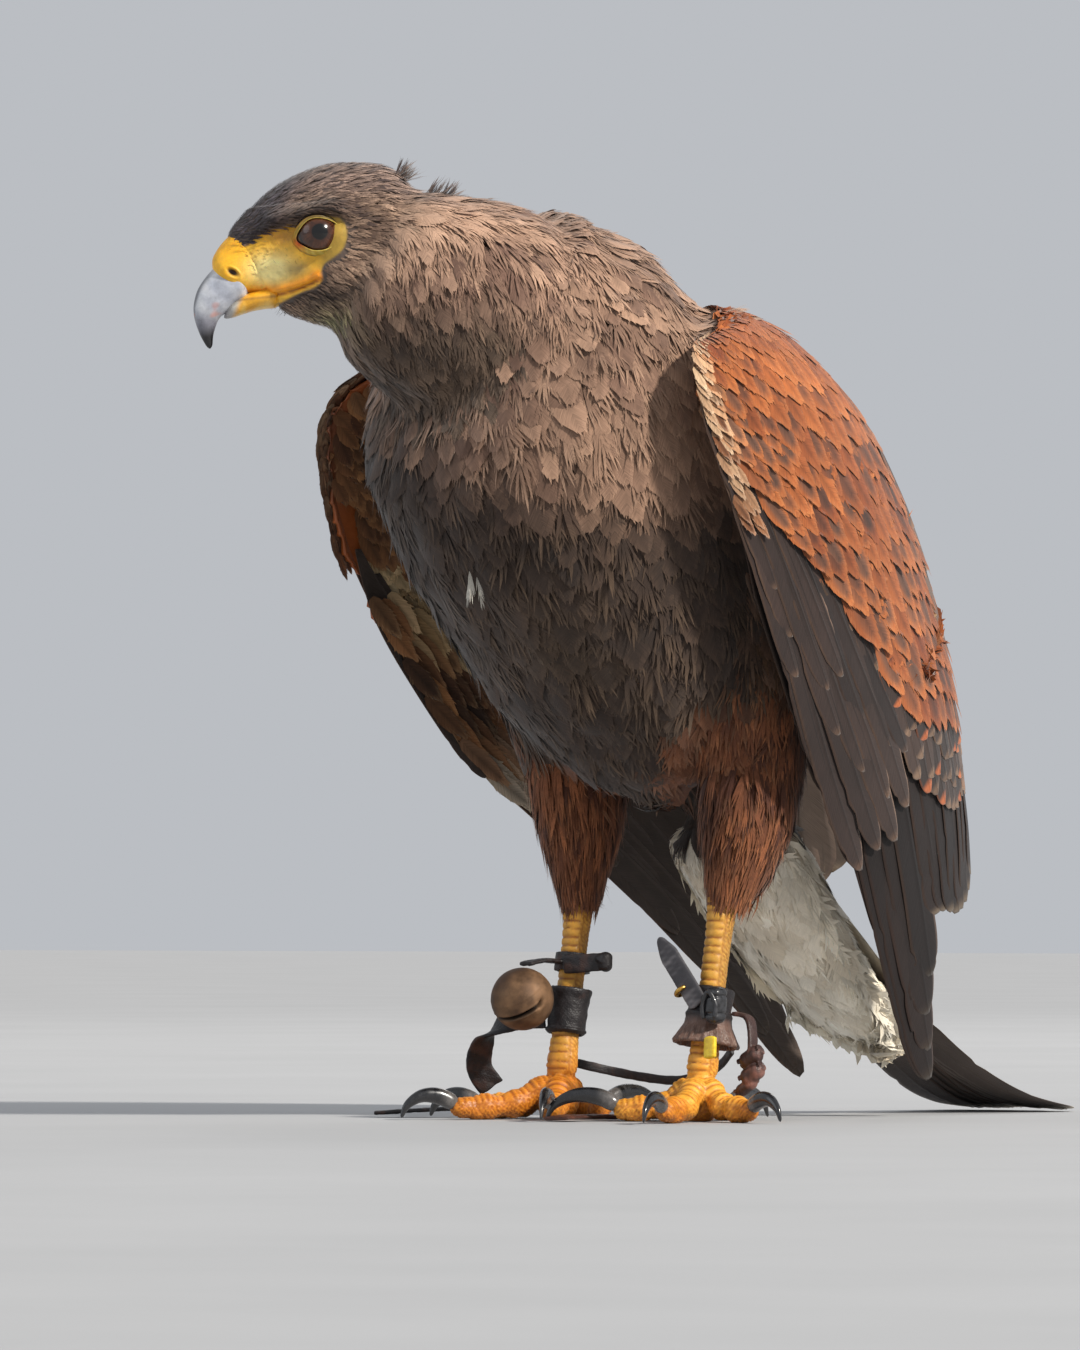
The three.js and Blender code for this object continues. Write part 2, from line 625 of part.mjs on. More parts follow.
// A strap is a flat band along a row of places, with a half-width and the way its width points.
const strap = (places, half, side, ends = 1) =>
  body(
    places.map((p, i) => ({ p, w: i === places.length - 1 ? half * ends : half, a: LEATHER })),
    { nu: 4, nv: 2 * places.length, side, square: 4, snug: ends === 1, cap: 0.06, spin: Math.PI / 4 },
  );
const cuffIn = TARSUS_R + 0.75;
const CUFF = [
  [cuffIn, -7.5],
  [cuffIn + 1.2, -7.5],
  [cuffIn + 1.6, 2],
  [cuffIn + 2.6, 7.5],
  [cuffIn + 1.6, 8],
  [cuffIn + 0.5, 2],
];
{
  const leg = LEGS.right;
  const axis = legAxis(leg);
  add("anklet_right", ring(CUFF, onLeg(leg, 37), axis, 12), "leather");
  const bell = V(-33.5, -18.6, 41.7);
  // The slit is a tilted cut through the lower front half.
  const frontal = V(0.656, -0.755, 0);
  const slitUp = V(0, 0, 0.79).add(V(0.755, 0.656, 0).multiplyScalar(-0.435)).addScaledVector(frontal, 0.43).normalize();
  const slitAlong = V().crossVectors(frontal, slitUp).normalize();
  const slitFront = V().crossVectors(slitUp, slitAlong);
  const tilt = new THREE.Matrix4().makeBasis(slitAlong, slitFront, slitUp).setPosition(bell);
  const slit = box([-30, 2, -1], [30, 30, 0.2]).transform(tilt.elements);
  add("bell", ball(bell, BELL_R, 14, 10).subtract(slit), "bronze");
  const loop = ring(
    [
      [cuffIn - 0.5, -3.2],
      [cuffIn + 0.9, -3.2],
      [cuffIn + 0.9, 3.2],
      [cuffIn - 0.5, 3.2],
    ],
    onLeg(leg, 54),
    axis,
    12,
  );
  const strapAt = onLeg(leg, 54);
  const toBell = strap(
    [
      [strapAt.x - 2, strapAt.y - 5.6, 54.5],
      [strapAt.x - 2.4, strapAt.y - 13, 55],
      [strapAt.x - 3, strapAt.y - 22, 53.7],
    ],
    3,
    V(1, 0, 0),
  );
  const toButton = strap(
    [
      [strapAt.x + 1, strapAt.y - 6.2, 53.5],
      [strapAt.x + 9, strapAt.y - 4.6, 54],
      [strapAt.x + 16, strapAt.y - 1.5, 54.6],
    ],
    3.2,
    Z,
  );
  const knot = body(
    [
      { p: [strapAt.x + 16, strapAt.y - 1.4, 51], w: 2.4 },
      { p: [strapAt.x + 16, strapAt.y - 1.4, 58], w: 2.6 },
    ],
    { nu: 6, nv: 5, cap: 0.3 },
  );
  add("bell_strap", cut(join([loop, toBell, toButton, knot]), shank(leg, GAP)), "leather");
  const band = strap(
    [
      [-37.5, -0.6, 36],
      [-48, -7.5, 34.5],
      [-57, -11, 27.5],
      [-60.5, -10.5, 18],
      [-58, -6, 10],
    ],
    4.6,
    V(0.53, 0.46, 0.7),
  );
  const around = [
    [0.5, -9],
    [cuffIn + 1.8, -9],
    [cuffIn + 1.9, 2],
    [cuffIn + 3, 7.5],
    [cuffIn + 3, 9],
    [0.5, 9],
  ];
  add("jess_right", cut(band, ring(around, onLeg(leg, 37), axis, 12), ball(bell, BELL_R + GAP)), "leather");
  const end = strap(
    [
      [-38.3, 7, 5.5],
      [-54, 3.5, 3],
      [-78, -7, 3],
      [-101, -22, 1.4],
    ],
    3.2,
    V(0.5, -0.85, 0),
  );
  add("jess_right_end", stand(end), "leather");
}
{
  const leg = LEGS.left;
  const axis = legAxis(leg);
  const SKIRT = [
    [cuffIn, -3],
    [cuffIn + 1.6, -6.5],
    [cuffIn + 4.8, -11.8],
    [cuffIn + 6, -11],
    [cuffIn + 3, -5],
    [cuffIn + 2, 1],
    [cuffIn + 2.6, 8],
    [cuffIn + 1, 8],
  ];
  add("anklet_left", ring(SKIRT, onLeg(leg, 37.5), axis, 12), "leather");
  const rim = onLeg(leg, 46);
  const tab = strap(
    [
      [rim.x + 2, rim.y - 9.6, 40],
      [rim.x - 4, rim.y - 10, 48],
      [rim.x - 10, rim.y - 10.4, 56],
      [rim.x - 15, rim.y - 10.8, 63],
    ],
    4,
    V(0.76, 0, 0.6),
    0.3,
  );
  const clip = body(
    [
      { p: [rim.x + 9.1, rim.y - 9.7, 33.4], w: 3, a: 3.4 },
      { p: [rim.x + 9.9, rim.y - 9.4, 46.5], w: 3, a: 3.4 },
    ],
    { nu: 4, nv: 5, square: 3.5, cap: 0.2, spin: Math.PI / 4 },
  );
  add("clip_left", clip, "claw");
  const tag = body(
    [
      { p: [rim.x + 10.2, rim.y - 13.6, 21.6], w: 2.4, a: 1 },
      { p: [rim.x + 9.4, rim.y - 12.4, 29.4], w: 2.4, a: 1 },
    ],
    { nu: 4, nv: 5, square: 4, cap: 0.12, spin: Math.PI / 4 },
  );
  add("tag_left", tag, "plastic");
  const roll = (dx, z, r) =>
    body(
      [
        { p: [rim.x + 12.5 + dx, rim.y + 0.5, z - 2.5], w: r },
        { p: [rim.x + 20 + dx, rim.y + 2, z + 2.5], w: r },
      ],
      { nu: 6, nv: 5, side: Z, cap: 0.3 },
    );
  const hanger = strap(
    [
      [rim.x + 7, rim.y + 2.6, 37],
      [rim.x + 12.6, rim.y + 4, 35.5],
      [rim.x + 16, rim.y + 2.2, 29],
      [rim.x + 16.4, rim.y + 1.2, 22],
    ],
    2.2,
    V(0, 1, 0),
  );
  add("button_left", join([roll(0, 22, 3), roll(0.5, 16.5, 3), roll(-2, 12, 2.2), hanger]), "leather");
  const eyelet = new THREE.TorusGeometry(2.2, 0.8, 6, 10);
  eyelet.rotateY(rad(-41));
  eyelet.translate(rim.x - 5.5, rim.y - 9.8, 44.6);
  add("eyelet_left", solid(eyelet), "brass");
  const hole = new THREE.TorusGeometry(2.2, 0.8 + GAP, 6, 10);
  hole.rotateY(rad(-41));
  hole.translate(rim.x - 5.5, rim.y - 9.8, 44.6);
  add("tab_left", cut(tab, solid(hole)), "leather");
  const behind = strap(
    [
      [33, 15.5, 25],
      [20, 22, 18],
      [0, 26, 13.5],
      [-17, 25, 14.5],
      [-27, 20.5, 16.5],
      [-33, 7.8, 19.5],
    ],
    1.6,
    Z,
  );
  add("jess_left", behind, "leather");
  const under = strap(
    [
      [10, 6, 1.6],
      [2, -8, 1.4],
      [-4, -24, 1.6],
      [-2, -38, 1.2],
    ],
    5,
    V(1, 0, 0),
  );
  add("jess_left_end", stand(under), "leather");
}

export default hawk;
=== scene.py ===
# Harris's hawk, standing, life size: the skin, the plumage, the head, the feet and the leg gear.
# All shapes are worked out in millimetres in the bird's own frame, in which it faces -Y, its left
# side is +X and the floor is z = 0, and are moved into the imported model's frame as meshes are made.
import json
import math

import bmesh
import bpy
import numpy as np
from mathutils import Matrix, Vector
from mathutils.bvhtree import BVHTree
from mathutils.kdtree import KDTree

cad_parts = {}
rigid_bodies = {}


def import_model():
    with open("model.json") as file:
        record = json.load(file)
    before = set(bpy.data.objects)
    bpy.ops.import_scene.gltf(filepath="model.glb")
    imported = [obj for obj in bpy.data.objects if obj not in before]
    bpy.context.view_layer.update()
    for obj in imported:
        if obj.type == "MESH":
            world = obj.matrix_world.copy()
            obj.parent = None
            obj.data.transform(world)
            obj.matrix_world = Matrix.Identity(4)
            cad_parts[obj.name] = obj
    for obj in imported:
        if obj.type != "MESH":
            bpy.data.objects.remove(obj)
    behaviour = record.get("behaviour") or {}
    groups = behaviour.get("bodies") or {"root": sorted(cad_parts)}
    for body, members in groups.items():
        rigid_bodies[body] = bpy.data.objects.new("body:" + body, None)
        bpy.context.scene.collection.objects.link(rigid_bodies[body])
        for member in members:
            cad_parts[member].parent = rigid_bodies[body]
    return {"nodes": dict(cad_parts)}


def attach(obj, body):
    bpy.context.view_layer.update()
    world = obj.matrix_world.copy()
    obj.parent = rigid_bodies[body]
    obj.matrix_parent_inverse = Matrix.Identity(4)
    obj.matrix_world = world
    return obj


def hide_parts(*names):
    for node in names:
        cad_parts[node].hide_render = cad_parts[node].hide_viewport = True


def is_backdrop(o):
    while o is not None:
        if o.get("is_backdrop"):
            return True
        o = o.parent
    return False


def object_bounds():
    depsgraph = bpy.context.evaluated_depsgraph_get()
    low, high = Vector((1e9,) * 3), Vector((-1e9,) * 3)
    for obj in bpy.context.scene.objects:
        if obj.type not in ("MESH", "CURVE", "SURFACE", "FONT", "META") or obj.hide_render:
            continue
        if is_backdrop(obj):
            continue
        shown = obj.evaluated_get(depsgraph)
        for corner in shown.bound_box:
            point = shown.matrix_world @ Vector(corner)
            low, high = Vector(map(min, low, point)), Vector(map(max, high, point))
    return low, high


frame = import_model()
cad_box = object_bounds()
rng = np.random.default_rng(7)
OFF = np.array([7.15, -35.65, 0.0])
NODES = frame["nodes"]

# ------------------------------------------------------------------------------ small maths
def unit(v):
    return v / np.maximum(np.linalg.norm(v, axis=-1, keepdims=True), 1e-9)


def dot(a, b):
    return np.sum(a * b, axis=-1, keepdims=True)


def mix(a, b, t):
    return a + (b - a) * t


def sstep(x, lo, hi):
    t = np.clip((x - lo) / (hi - lo), 0, 1)
    return t * t * (3 - 2 * t)


def srgb(r, g, b):
    c = np.array([r, g, b], float) / 255
    return np.where(c <= 0.04045, c / 12.92, ((c + 0.055) / 1.055) ** 2.4)


def crom(points, T):
    """A centripetal Catmull-Rom curve through the points, at each T from 0 to 1."""
    P = np.array(points, float)
    n = len(P)
    T = np.clip(np.atleast_1d(np.asarray(T, float)), 0, 1)
    x = T * (n - 1)
    i = np.minimum(x.astype(int), n - 2)
    w = (x - i)[:, None]
    e = np.vstack([2 * P[0] - P[1], P, 2 * P[-1] - P[-2]])
    p0, p1, p2, p3 = e[i], e[i + 1], e[i + 2], e[i + 3]
    d = lambda a, b: (np.maximum(np.sum((a - b) ** 2, 1), 1e-12) ** 0.25)[:, None]
    a, b, c = d(p0, p1), d(p1, p2), d(p2, p3)
    t1 = ((p1 - p0) / a - (p2 - p0) / (a + b) + (p2 - p1) / b) * b
    t2 = ((p2 - p1) / b - (p3 - p1) / (b + c) + (p3 - p2) / c) * b
    return p1 + t1 * w + (-3 * p1 + 3 * p2 - 2 * t1 - t2) * w**2 + (2 * p1 - 2 * p2 + t1 + t2) * w**3


def crom_way(points, T):
    T = np.atleast_1d(np.asarray(T, float))
    return unit(crom(points, np.minimum(T + 1e-3, 1)) - crom(points, np.maximum(T - 1e-3, 0)))


def wob(p, scale, seed):
    """A smooth wobble between about -1 and 1 over space, from a few sines."""
    r = np.random.default_rng(seed)
    out = 0
    for k in range(4):
        f = unit(r.normal(size=3)) * scale * (0.7 + 0.5 * k)
        out = out + np.sin(p @ f + r.uniform(0, 6.28)) / (1 + 0.5 * k)
    return out / 2.2


# ------------------------------------------------------------------------------ meshes
def mesh_object(name, V, tris=None, quads=None, col=None, uvs=None, attrs=None, smooth=True, mats=(), face_mat=None):
    me = bpy.data.meshes.new(name)
    P = ((np.asarray(V, float) + OFF) * 0.001).astype(np.float32)
    tris = np.zeros((0, 3), int) if tris is None else np.asarray(tris, int)
    quads = np.zeros((0, 4), int) if quads is None else np.asarray(quads, int)
    loops = np.concatenate([tris.ravel(), quads.ravel()]).astype(np.int32)
    starts = np.concatenate([np.arange(len(tris)) * 3, len(tris) * 3 + np.arange(len(quads)) * 4]).astype(np.int32)
    me.vertices.add(len(P))
    me.vertices.foreach_set("co", P.ravel())
    me.loops.add(len(loops))
    me.loops.foreach_set("vertex_index", loops)
    me.polygons.add(len(starts))
    me.polygons.foreach_set("loop_start", starts)
    for key, uv in (uvs or {}).items():
        layer = me.uv_layers.new(name=key)
        layer.data.foreach_set("uv", np.asarray(uv, np.float32)[loops].ravel())
    if col is not None:
        c = np.ones((len(P), 4), np.float32)
        c[:, :3] = col
        me.color_attributes.new(name="Col", type="FLOAT_COLOR", domain="POINT").data.foreach_set("color", c.ravel())
    for key, val in (attrs or {}).items():
        me.attributes.new(name=key, type="FLOAT", domain="POINT").data.foreach_set("value", np.asarray(val, np.float32))
    if face_mat is not None:
        me.polygons.foreach_set("material_index", np.asarray(face_mat, np.int32))
    me.update(calc_edges=True)
    me.validate()
    me.polygons.foreach_set("use_smooth", np.full(len(me.polygons), smooth))
    o = bpy.data.objects.new(name, me)
    bpy.context.scene.collection.objects.link(o)
    for m in mats:
        me.materials.append(m)
    return o


def piece(o, slot=None, replaces=()):
    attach(o, "root")
    if replaces:
        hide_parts(*replaces)
    return o


def node_mesh(name):
    me = NODES[name].data
    V = np.zeros(len(me.vertices) * 3, np.float32)
    me.vertices.foreach_get("co", V)
    me.calc_loop_triangles()
    F = np.zeros(len(me.loop_triangles) * 3, np.int32)
    me.loop_triangles.foreach_get("vertices", F)
    return V.reshape(-1, 3).astype(float) * 1000 - OFF, F.reshape(-1, 3)


def weld(V, F):
    _, first, inv = np.unique(np.round(V, 3), axis=0, return_index=True, return_inverse=True)
    F = inv.reshape(-1)[F]
    ok = (F[:, 0] != F[:, 1]) & (F[:, 1] != F[:, 2]) & (F[:, 0] != F[:, 2])
    return V[first], F[ok]


def voxel(parts, size):
    """Joins closed meshes [(V, tris)] into one skin of quads of about that size, in mm."""
    vs, fs, n = [], [], 0
    for V, F in parts:
        vs.append(V)
        fs.append(F + n)
        n += len(V)
    o = mesh_object("tmp", np.vstack(vs), np.vstack(fs))
    m = o.modifiers.new("R", "REMESH")
    m.mode, m.voxel_size, m.adaptivity = "VOXEL", size * 0.001, 0
    dg = bpy.context.evaluated_depsgraph_get()
    me = o.evaluated_get(dg).to_mesh()
    V = np.zeros(len(me.vertices) * 3, np.float32)
    me.vertices.foreach_get("co", V)
    L = np.zeros(len(me.loops), np.int32)
    me.loops.foreach_get("vertex_index", L)
    quads = L.reshape(-1, 4).copy()
    V = V.reshape(-1, 3).astype(float) * 1000 - OFF
    o.evaluated_get(dg).to_mesh_clear()
    bpy.data.objects.remove(o)
    return V, quads


def edges_of(quads):
    e = np.concatenate([quads[:, [i, (i + 1) % quads.shape[1]]] for i in range(quads.shape[1])])
    e.sort(axis=1)
    return np.unique(e, axis=0)


def smooth(V, E, times, keep=True, weight=None):
    n = len(V)
    deg = np.bincount(E.ravel(), minlength=n).astype(float)[:, None]
    for k in range(times):
        for lam in (0.5, -0.53) if keep else (0.5,):
            s = np.stack([np.bincount(E[:, 0], V[E[:, 1], c], n) + np.bincount(E[:, 1], V[E[:, 0], c], n) for c in range(3)], 1)
            step = (s / np.maximum(deg, 1) - V) * lam
            V = V + (step if weight is None else step * weight)
    return V


def normals(V, quads):
    a, b, c, d = (V[quads[:, i]] for i in ((0, 1, 2, 3) if quads.shape[1] == 4 else (0, 1, 2, 2)))
    n = np.cross(c - a, d - b) if quads.shape[1] == 4 else np.cross(b - a, c - a)
    out = np.zeros_like(V)
    for i in range(quads.shape[1]):
        for k in range(3):
            out[:, k] += np.bincount(quads[:, i], n[:, k], len(V))
    return unit(out)


def rings(R):
    """Quads and end triangles between rings R of shape (n, m, 3); a closed body with its first and last rings as points."""
    n, m = R.shape[:2]
    i, j = np.meshgrid(np.arange(1, n - 2), np.arange(m), indexing="ij")
    j2 = (j + 1) % m
    at = lambda a, b: (a - 1) * m + b
    quads = np.stack([at(i, j), at(i, j2), at(i + 1, j2), at(i + 1, j)], -1).reshape(-1, 4)
    V = np.vstack([R[1:-1].reshape(-1, 3), R[0, 0], R[-1, 0]])
    p, q = len(V) - 2, len(V) - 1
    J = np.arange(m)
    J2 = (J + 1) % m
    tris = np.vstack([np.stack([np.full(m, p), at(1, J2), at(1, J)], -1), np.stack([np.full(m, q), at(n - 2, J), at(n - 2, J2)], -1)])
    return V, tris, quads


def to_tris(tris, quads):
    return np.vstack([tris, quads[:, [0, 1, 2]], quads[:, [0, 2, 3]]])


def loft(stations, nu=24, nv=30, side=(1, 0, 0), square=2.0, cap=0.16, end=None, spin=0.0, snug=False, shape=None):
    """A rounded body along stations (place, half-width, half-height above, half-height below), as in the solids but finer."""
    end = cap if end is None else end
    path = [s[0] for s in stations]
    sizes = [[s[1], s[2] if len(s) > 2 else s[1], s[3] if len(s) > 3 else (s[2] if len(s) > 2 else s[1])] for s in stations]
    if snug:
        t = np.concatenate([[0.0], mix(0.02, 0.98, np.linspace(0, 1, nv - 1)), [1.0]])
        rnd = np.ones(nv + 1)
        rnd[[0, -1]] = 0
        lip = np.concatenate([[0.02, 0.02], mix(0.02, 0.98, np.linspace(0, 1, nv - 1)), [0.98, 0.98]])
        t = lip
        rnd = np.concatenate([[0, 0.9], np.ones(nv - 1), [0.9, 0]])
    else:
        k = 9
        th = np.linspace(0, math.pi / 2, k)
        t = np.concatenate([cap * (1 - np.cos(th)), np.linspace(cap, 1 - end, nv)[1:-1], 1 - end * (1 - np.cos(th[::-1]))])
        rnd = np.concatenate([np.sin(th), np.ones(nv - 2), np.sin(th[::-1])])
        rnd[[0, -1]] = 0
    P, S, T = crom(path, t), crom(sizes, t), crom_way(path, np.clip(t, 0.001, 0.999))
    sd = np.array(side, float)
    s = unit(sd - dot(sd, T) * T)
    up = np.cross(T, s)
    phi = np.linspace(0, 2 * math.pi, nu, endpoint=False) + spin
    bend = lambda q: np.sign(q) * np.abs(q) ** (2 / square)
    c, d = bend(np.cos(phi)), bend(np.sin(phi))
    hi = np.where(d[None, :] > 0, S[:, 1:2], S[:, 2:3])
    R = P[:, None] + s[:, None] * (c[None, :] * S[:, 0:1] * rnd[:, None])[..., None] + up[:, None] * (d[None, :] * hi * rnd[:, None])[..., None]
    if shape:
        R = shape(R, t, phi)
    return rings(R)


# ------------------------------------------------------------------------------ materials
def material(name, rough=0.6, spec=0.4, **sockets):
    m = bpy.data.materials.new(name)
    m.use_nodes = True
    nt = m.node_tree
    bs = nt.nodes["Principled BSDF"]
    bs.inputs["Roughness"].default_value = rough
    bs.inputs["Specular IOR Level"].default_value = spec
    for k, v in sockets.items():
        bs.inputs[k.replace("_", " ")].default_value = v
    return m, nt, bs


def node(nt, kind, **values):
    n = nt.nodes.new(kind)
    for k, v in values.items():
        if k in n.inputs:
            n.inputs[k].default_value = v
        else:
            setattr(n, k, v)
    return n


def noise(nt, scale, detail=3.0, rough=0.55, vec=None, distortion=0.0):
    n = node(nt, "ShaderNodeTexNoise", Scale=scale, Detail=detail, Roughness=rough, Distortion=distortion)
    if vec is None:
        vec = nt.nodes.new("ShaderNodeTexCoord").outputs["Object"]
    nt.links.new(vec, n.inputs["Vector"])
    return n.outputs["Fac"]


def ramp(nt, fac, stops):
    r = nt.nodes.new("ShaderNodeValToRGB")
    el = r.color_ramp.elements
    while len(el) > len(stops):
        el.remove(el[-1])
    while len(el) < len(stops):
        el.new(0.5)
    for e, (pos, c) in zip(el, stops):
        e.position = pos
        e.color = (*c, 1) if len(c) == 3 else c
    nt.links.new(fac, r.inputs["Fac"])
    return r.outputs["Color"]


def grey(nt, fac, lo, hi, a=0.0, b=1.0):
    return ramp(nt, fac, [(a, (lo,) * 3), (b, (hi,) * 3)])


def times(nt, a, b, fac=1.0, how="MULTIPLY"):
    n = node(nt, "ShaderNodeMix", data_type="RGBA", blend_type=how)
    n.inputs[0].default_value = fac
    for i, x in ((6, a), (7, b)):
        if isinstance(x, (tuple, list, np.ndarray)):
            n.inputs[i].default_value = (*x, 1) if len(x) == 3 else x
        else:
            nt.links.new(x, n.inputs[i])
    return n.outputs[2]


def blend_by(nt, fac, a, b):
    n = node(nt, "ShaderNodeMix", data_type="RGBA", blend_type="MIX")
    nt.links.new(fac, n.inputs[0])
    for i, x in ((6, a), (7, b)):
        if isinstance(x, (tuple, list, np.ndarray)):
            n.inputs[i].default_value = (*x, 1) if len(x) == 3 else x
        else:
            nt.links.new(x, n.inputs[i])
    return n.outputs[2]


def bump(nt, bs, height, strength=0.4, distance=0.0003):
    b = node(nt, "ShaderNodeBump", Strength=strength, Distance=distance)
    nt.links.new(height, b.inputs["Height"])
    nt.links.new(b.outputs["Normal"], bs.inputs["Normal"])
    return b


def attribute(nt, name="Col"):
    a = nt.nodes.new("ShaderNodeAttribute")
    a.attribute_name = name
    return a.outputs["Color"]


def feather_material(name, rough, lo, hi, across=1.0, along=0.12, strength=0.35, sheen=0.1, spec=0.3):
    """The colour painted on each feather, streaked along its barbs."""
    m, nt, bs = material(name, rough, spec, Sheen_Weight=sheen, Sheen_Roughness=0.5)
    uv = nt.nodes.new("ShaderNodeUVMap")
    uv.uv_map = "vane"
    mp = node(nt, "ShaderNodeMapping")
    mp.inputs["Scale"].default_value = (across, along, 1)
    nt.links.new(uv.outputs["UV"], mp.inputs["Vector"])
    fine = noise(nt, 1.0, 2.0, 0.6, mp.outputs["Vector"])
    c = times(nt, attribute(nt), grey(nt, fine, lo, hi, 0.3, 0.72))
    broad = noise(nt, 55.0, 3.0)
    c = times(nt, c, grey(nt, broad, 0.82, 1.15, 0.3, 0.7))
    nt.links.new(c, bs.inputs["Base Color"])
    bump(nt, bs, fine, strength, 0.0002)
    return m


# ------------------------------------------------------------------------------ the bird's shape
TURN = math.radians(45)
HEAD_AT = np.array([-29, -110.5, 300.5])
FORWARD = np.array([-math.sin(TURN), -math.cos(TURN), 0])
LEFT = np.array([math.cos(TURN), -math.sin(TURN), 0])
UP = np.array([0, 0, 1.0])


def in_head(f, v, w=0.0):
    return HEAD_AT + np.multiply.outer(np.asarray(f, float), FORWARD) + np.multiply.outer(np.asarray(v, float), UP) + np.multiply.outer(np.asarray(w, float), LEFT)


def head_of(P):
    q = P - HEAD_AT
    return q @ FORWARD, q @ UP, q @ LEFT


EYE_IN_HEAD = (12.8, -0.8, 16.0)
EYE_R = 8.0
FEET = {
    "left": dict(ankle=(31.8, 13, 84), foot=(31.3, 0, 13), toes=dict(inner=(-28, -25, 30), middle=(15, -40, 40), outer=(33, -9, 32), hind=(-4, 24, 22))),
    "right": dict(ankle=(-31.8, 11, 84), foot=(-31.3, -1, 13), toes=dict(inner=(18, -27, 30), middle=(-22, -37, 40), outer=(-38, -17, 32), hind=(4, 24, 22))),
}
TARSUS_R, TOE_R, FLAT, CLAW_LENGTH = 4.6, 4.4, 0.45, 17.0
CLAW_SIZE = dict(inner=1.35, middle=1.05, outer=0.9, hind=1.4)
WINGS = {
    "left": dict(
        sign=1,
        lead=[[62, -30, 270], [79, -63, 254], [82, -51, 221], [79, -26, 186], [74, -3, 154], [68, 20, 124], [61, 47, 92], [54, 72, 64], [47, 96, 36], [40, 119, 5]],
        trail=[[34, -8, 277], [44, 33, 262], [41, 73, 243], [37, 101, 215], [34, 120, 186], [33, 132, 156], [33, 139, 126], [34, 143, 96], [36, 141, 60], [39, 130, 22]],
    ),
    "right": dict(
        sign=-1,
        lead=[[-64, -32, 272], [-84, -62, 246], [-91, -55, 211], [-89, -39, 178], [-84, -14, 146], [-76, 12, 118], [-66, 46, 92], [-57, 78, 68], [-47, 112, 38], [-39, 143, 6]],
        trail=[[-34, -8, 277], [-44, 33, 262], [-41, 73, 243], [-37, 101, 215], [-34, 120, 186], [-33, 134, 156], [-33, 145, 126], [-34, 150, 96], [-36, 152, 62], [-39, 150, 24]],
    ),
}
CAMBER = 15.0


class Wing:
    """The curved surface of a folded wing: s from the leading to the trailing edge, t from the shoulder to the tip."""

    def __init__(self, side):
        w = WINGS[side]
        self.lead, self.trail, self.sign = w["lead"], w["trail"], w["sign"]

    def flat(self, S, T):
        return mix(crom(self.lead, T), crom(self.trail, T), S[:, None])

    def out(self, S, T):
        a, b = crom(self.lead, T), crom(self.trail, T)
        n = unit(np.cross(b - a, self.flat(S, np.minimum(T + 0.02, 1)) - self.flat(S, np.maximum(T - 0.02, 0))))
        return n * np.where(n[:, :1] * self.sign < 0, -1, 1)

    def at(self, S, T, lift=0.0):
        S, T = np.atleast_1d(np.asarray(S, float)), np.atleast_1d(np.asarray(T, float))
        S, T = np.broadcast_arrays(S, T)
        lift = np.broadcast_to(lift, S.shape)
        wide = np.clip((1 - T) / 0.45, 0, 1) * mix(0.35, 1.0, sstep(T, 0, 0.18))
        past = np.maximum(T - 1, 0)[:, None] * 150 * unit(self.flat(S, S * 0 + 1) - self.flat(S, S * 0 + 0.97))
        return self.flat(S, np.minimum(T, 1)) + past + self.out(S, np.minimum(T, 1)) * (CAMBER * wide * 4 * S * (1 - S) + lift)[:, None]


TAIL = [[0, 58, 112], [0, 90, 74], [0, 126, 41], [0, 160, 18], [0, 190, 5.5], [0, 221, 0.2]]
# ------------------------------------------------------------------------------ the skin
FLESH = ["head", "neck", "trunk", "thigh_left", "thigh_right", "wing_left_arm", "wing_right_arm", "undertail"]
HEAD, NECK, TRUNK, THIGH_L, THIGH_R, ARM_L, ARM_R, UNDER = range(8)
DEPTH = np.array([1.3, 3.2, 3.6, 3.4, 3.4, 1.5, 1.5, 3.4])

SKULL = [[-31, 13, -14, 15], [-22, 20, -26, 22.5], [-8, 24.5, -33, 26], [6, 24.8, -33, 24.6], [17, 20.8, -31, 19.3], [26.5, 13.8, -28.5, 14], [33.5, 5.6, -25.5, 10.2], [37.5, -2, -23.5, 7.5]]
skull = loft([(list(in_head(f, (a + b) / 2)), w, (a - b) / 2) for f, a, b, w in SKULL], nu=64, nv=70, side=LEFT, cap=0.2, end=0.1, square=2.1)
solids = [weld(*node_mesh(n)) for n in FLESH]
solids[0] = (skull[0], to_tris(skull[1], skull[2]))
skin_v, skin_q = voxel(solids, 2.2)
skin_v = smooth(skin_v, edges_of(skin_q), 14)


def nearness(P):
    """How much each point belongs to each node of flesh, from its distance to that node's solid."""
    D = np.zeros((len(P), len(FLESH)))
    for k, (V, F) in enumerate(solids):
        tree = BVHTree.FromPolygons(V.tolist(), F.tolist())
        D[:, k] = [tree.find_nearest(Vector(p))[3] for p in P]
    return D


skin_d = nearness(skin_v)


def weights(D, soft):
    w = np.exp(-(D - D.min(1, keepdims=True)) / soft)
    return w / w.sum(1, keepdims=True)


# The head's faces are made three times finer, for the folds of the face.
def refine(V, Q, pick):
    bm = bmesh.new()
    vs = [bm.verts.new(p) for p in V]
    fs = []
    for q in Q:
        try:
            fs.append(bm.faces.new([vs[i] for i in q]))
        except ValueError:
            fs.append(None)
    bm.verts.index_update()
    es = set()
    for f, ok in zip(fs, pick):
        if ok and f is not None:
            es.update(f.edges)
    bmesh.ops.subdivide_edges(bm, edges=list(es), cuts=2, use_grid_fill=True)
    bmesh.ops.triangulate(bm, faces=bm.faces[:])
    bm.verts.index_update()
    V2 = np.array([v.co[:] for v in bm.verts])
    F2 = np.array([[v.index for v in f.verts] for f in bm.faces])
    bm.free()
    return V2, F2


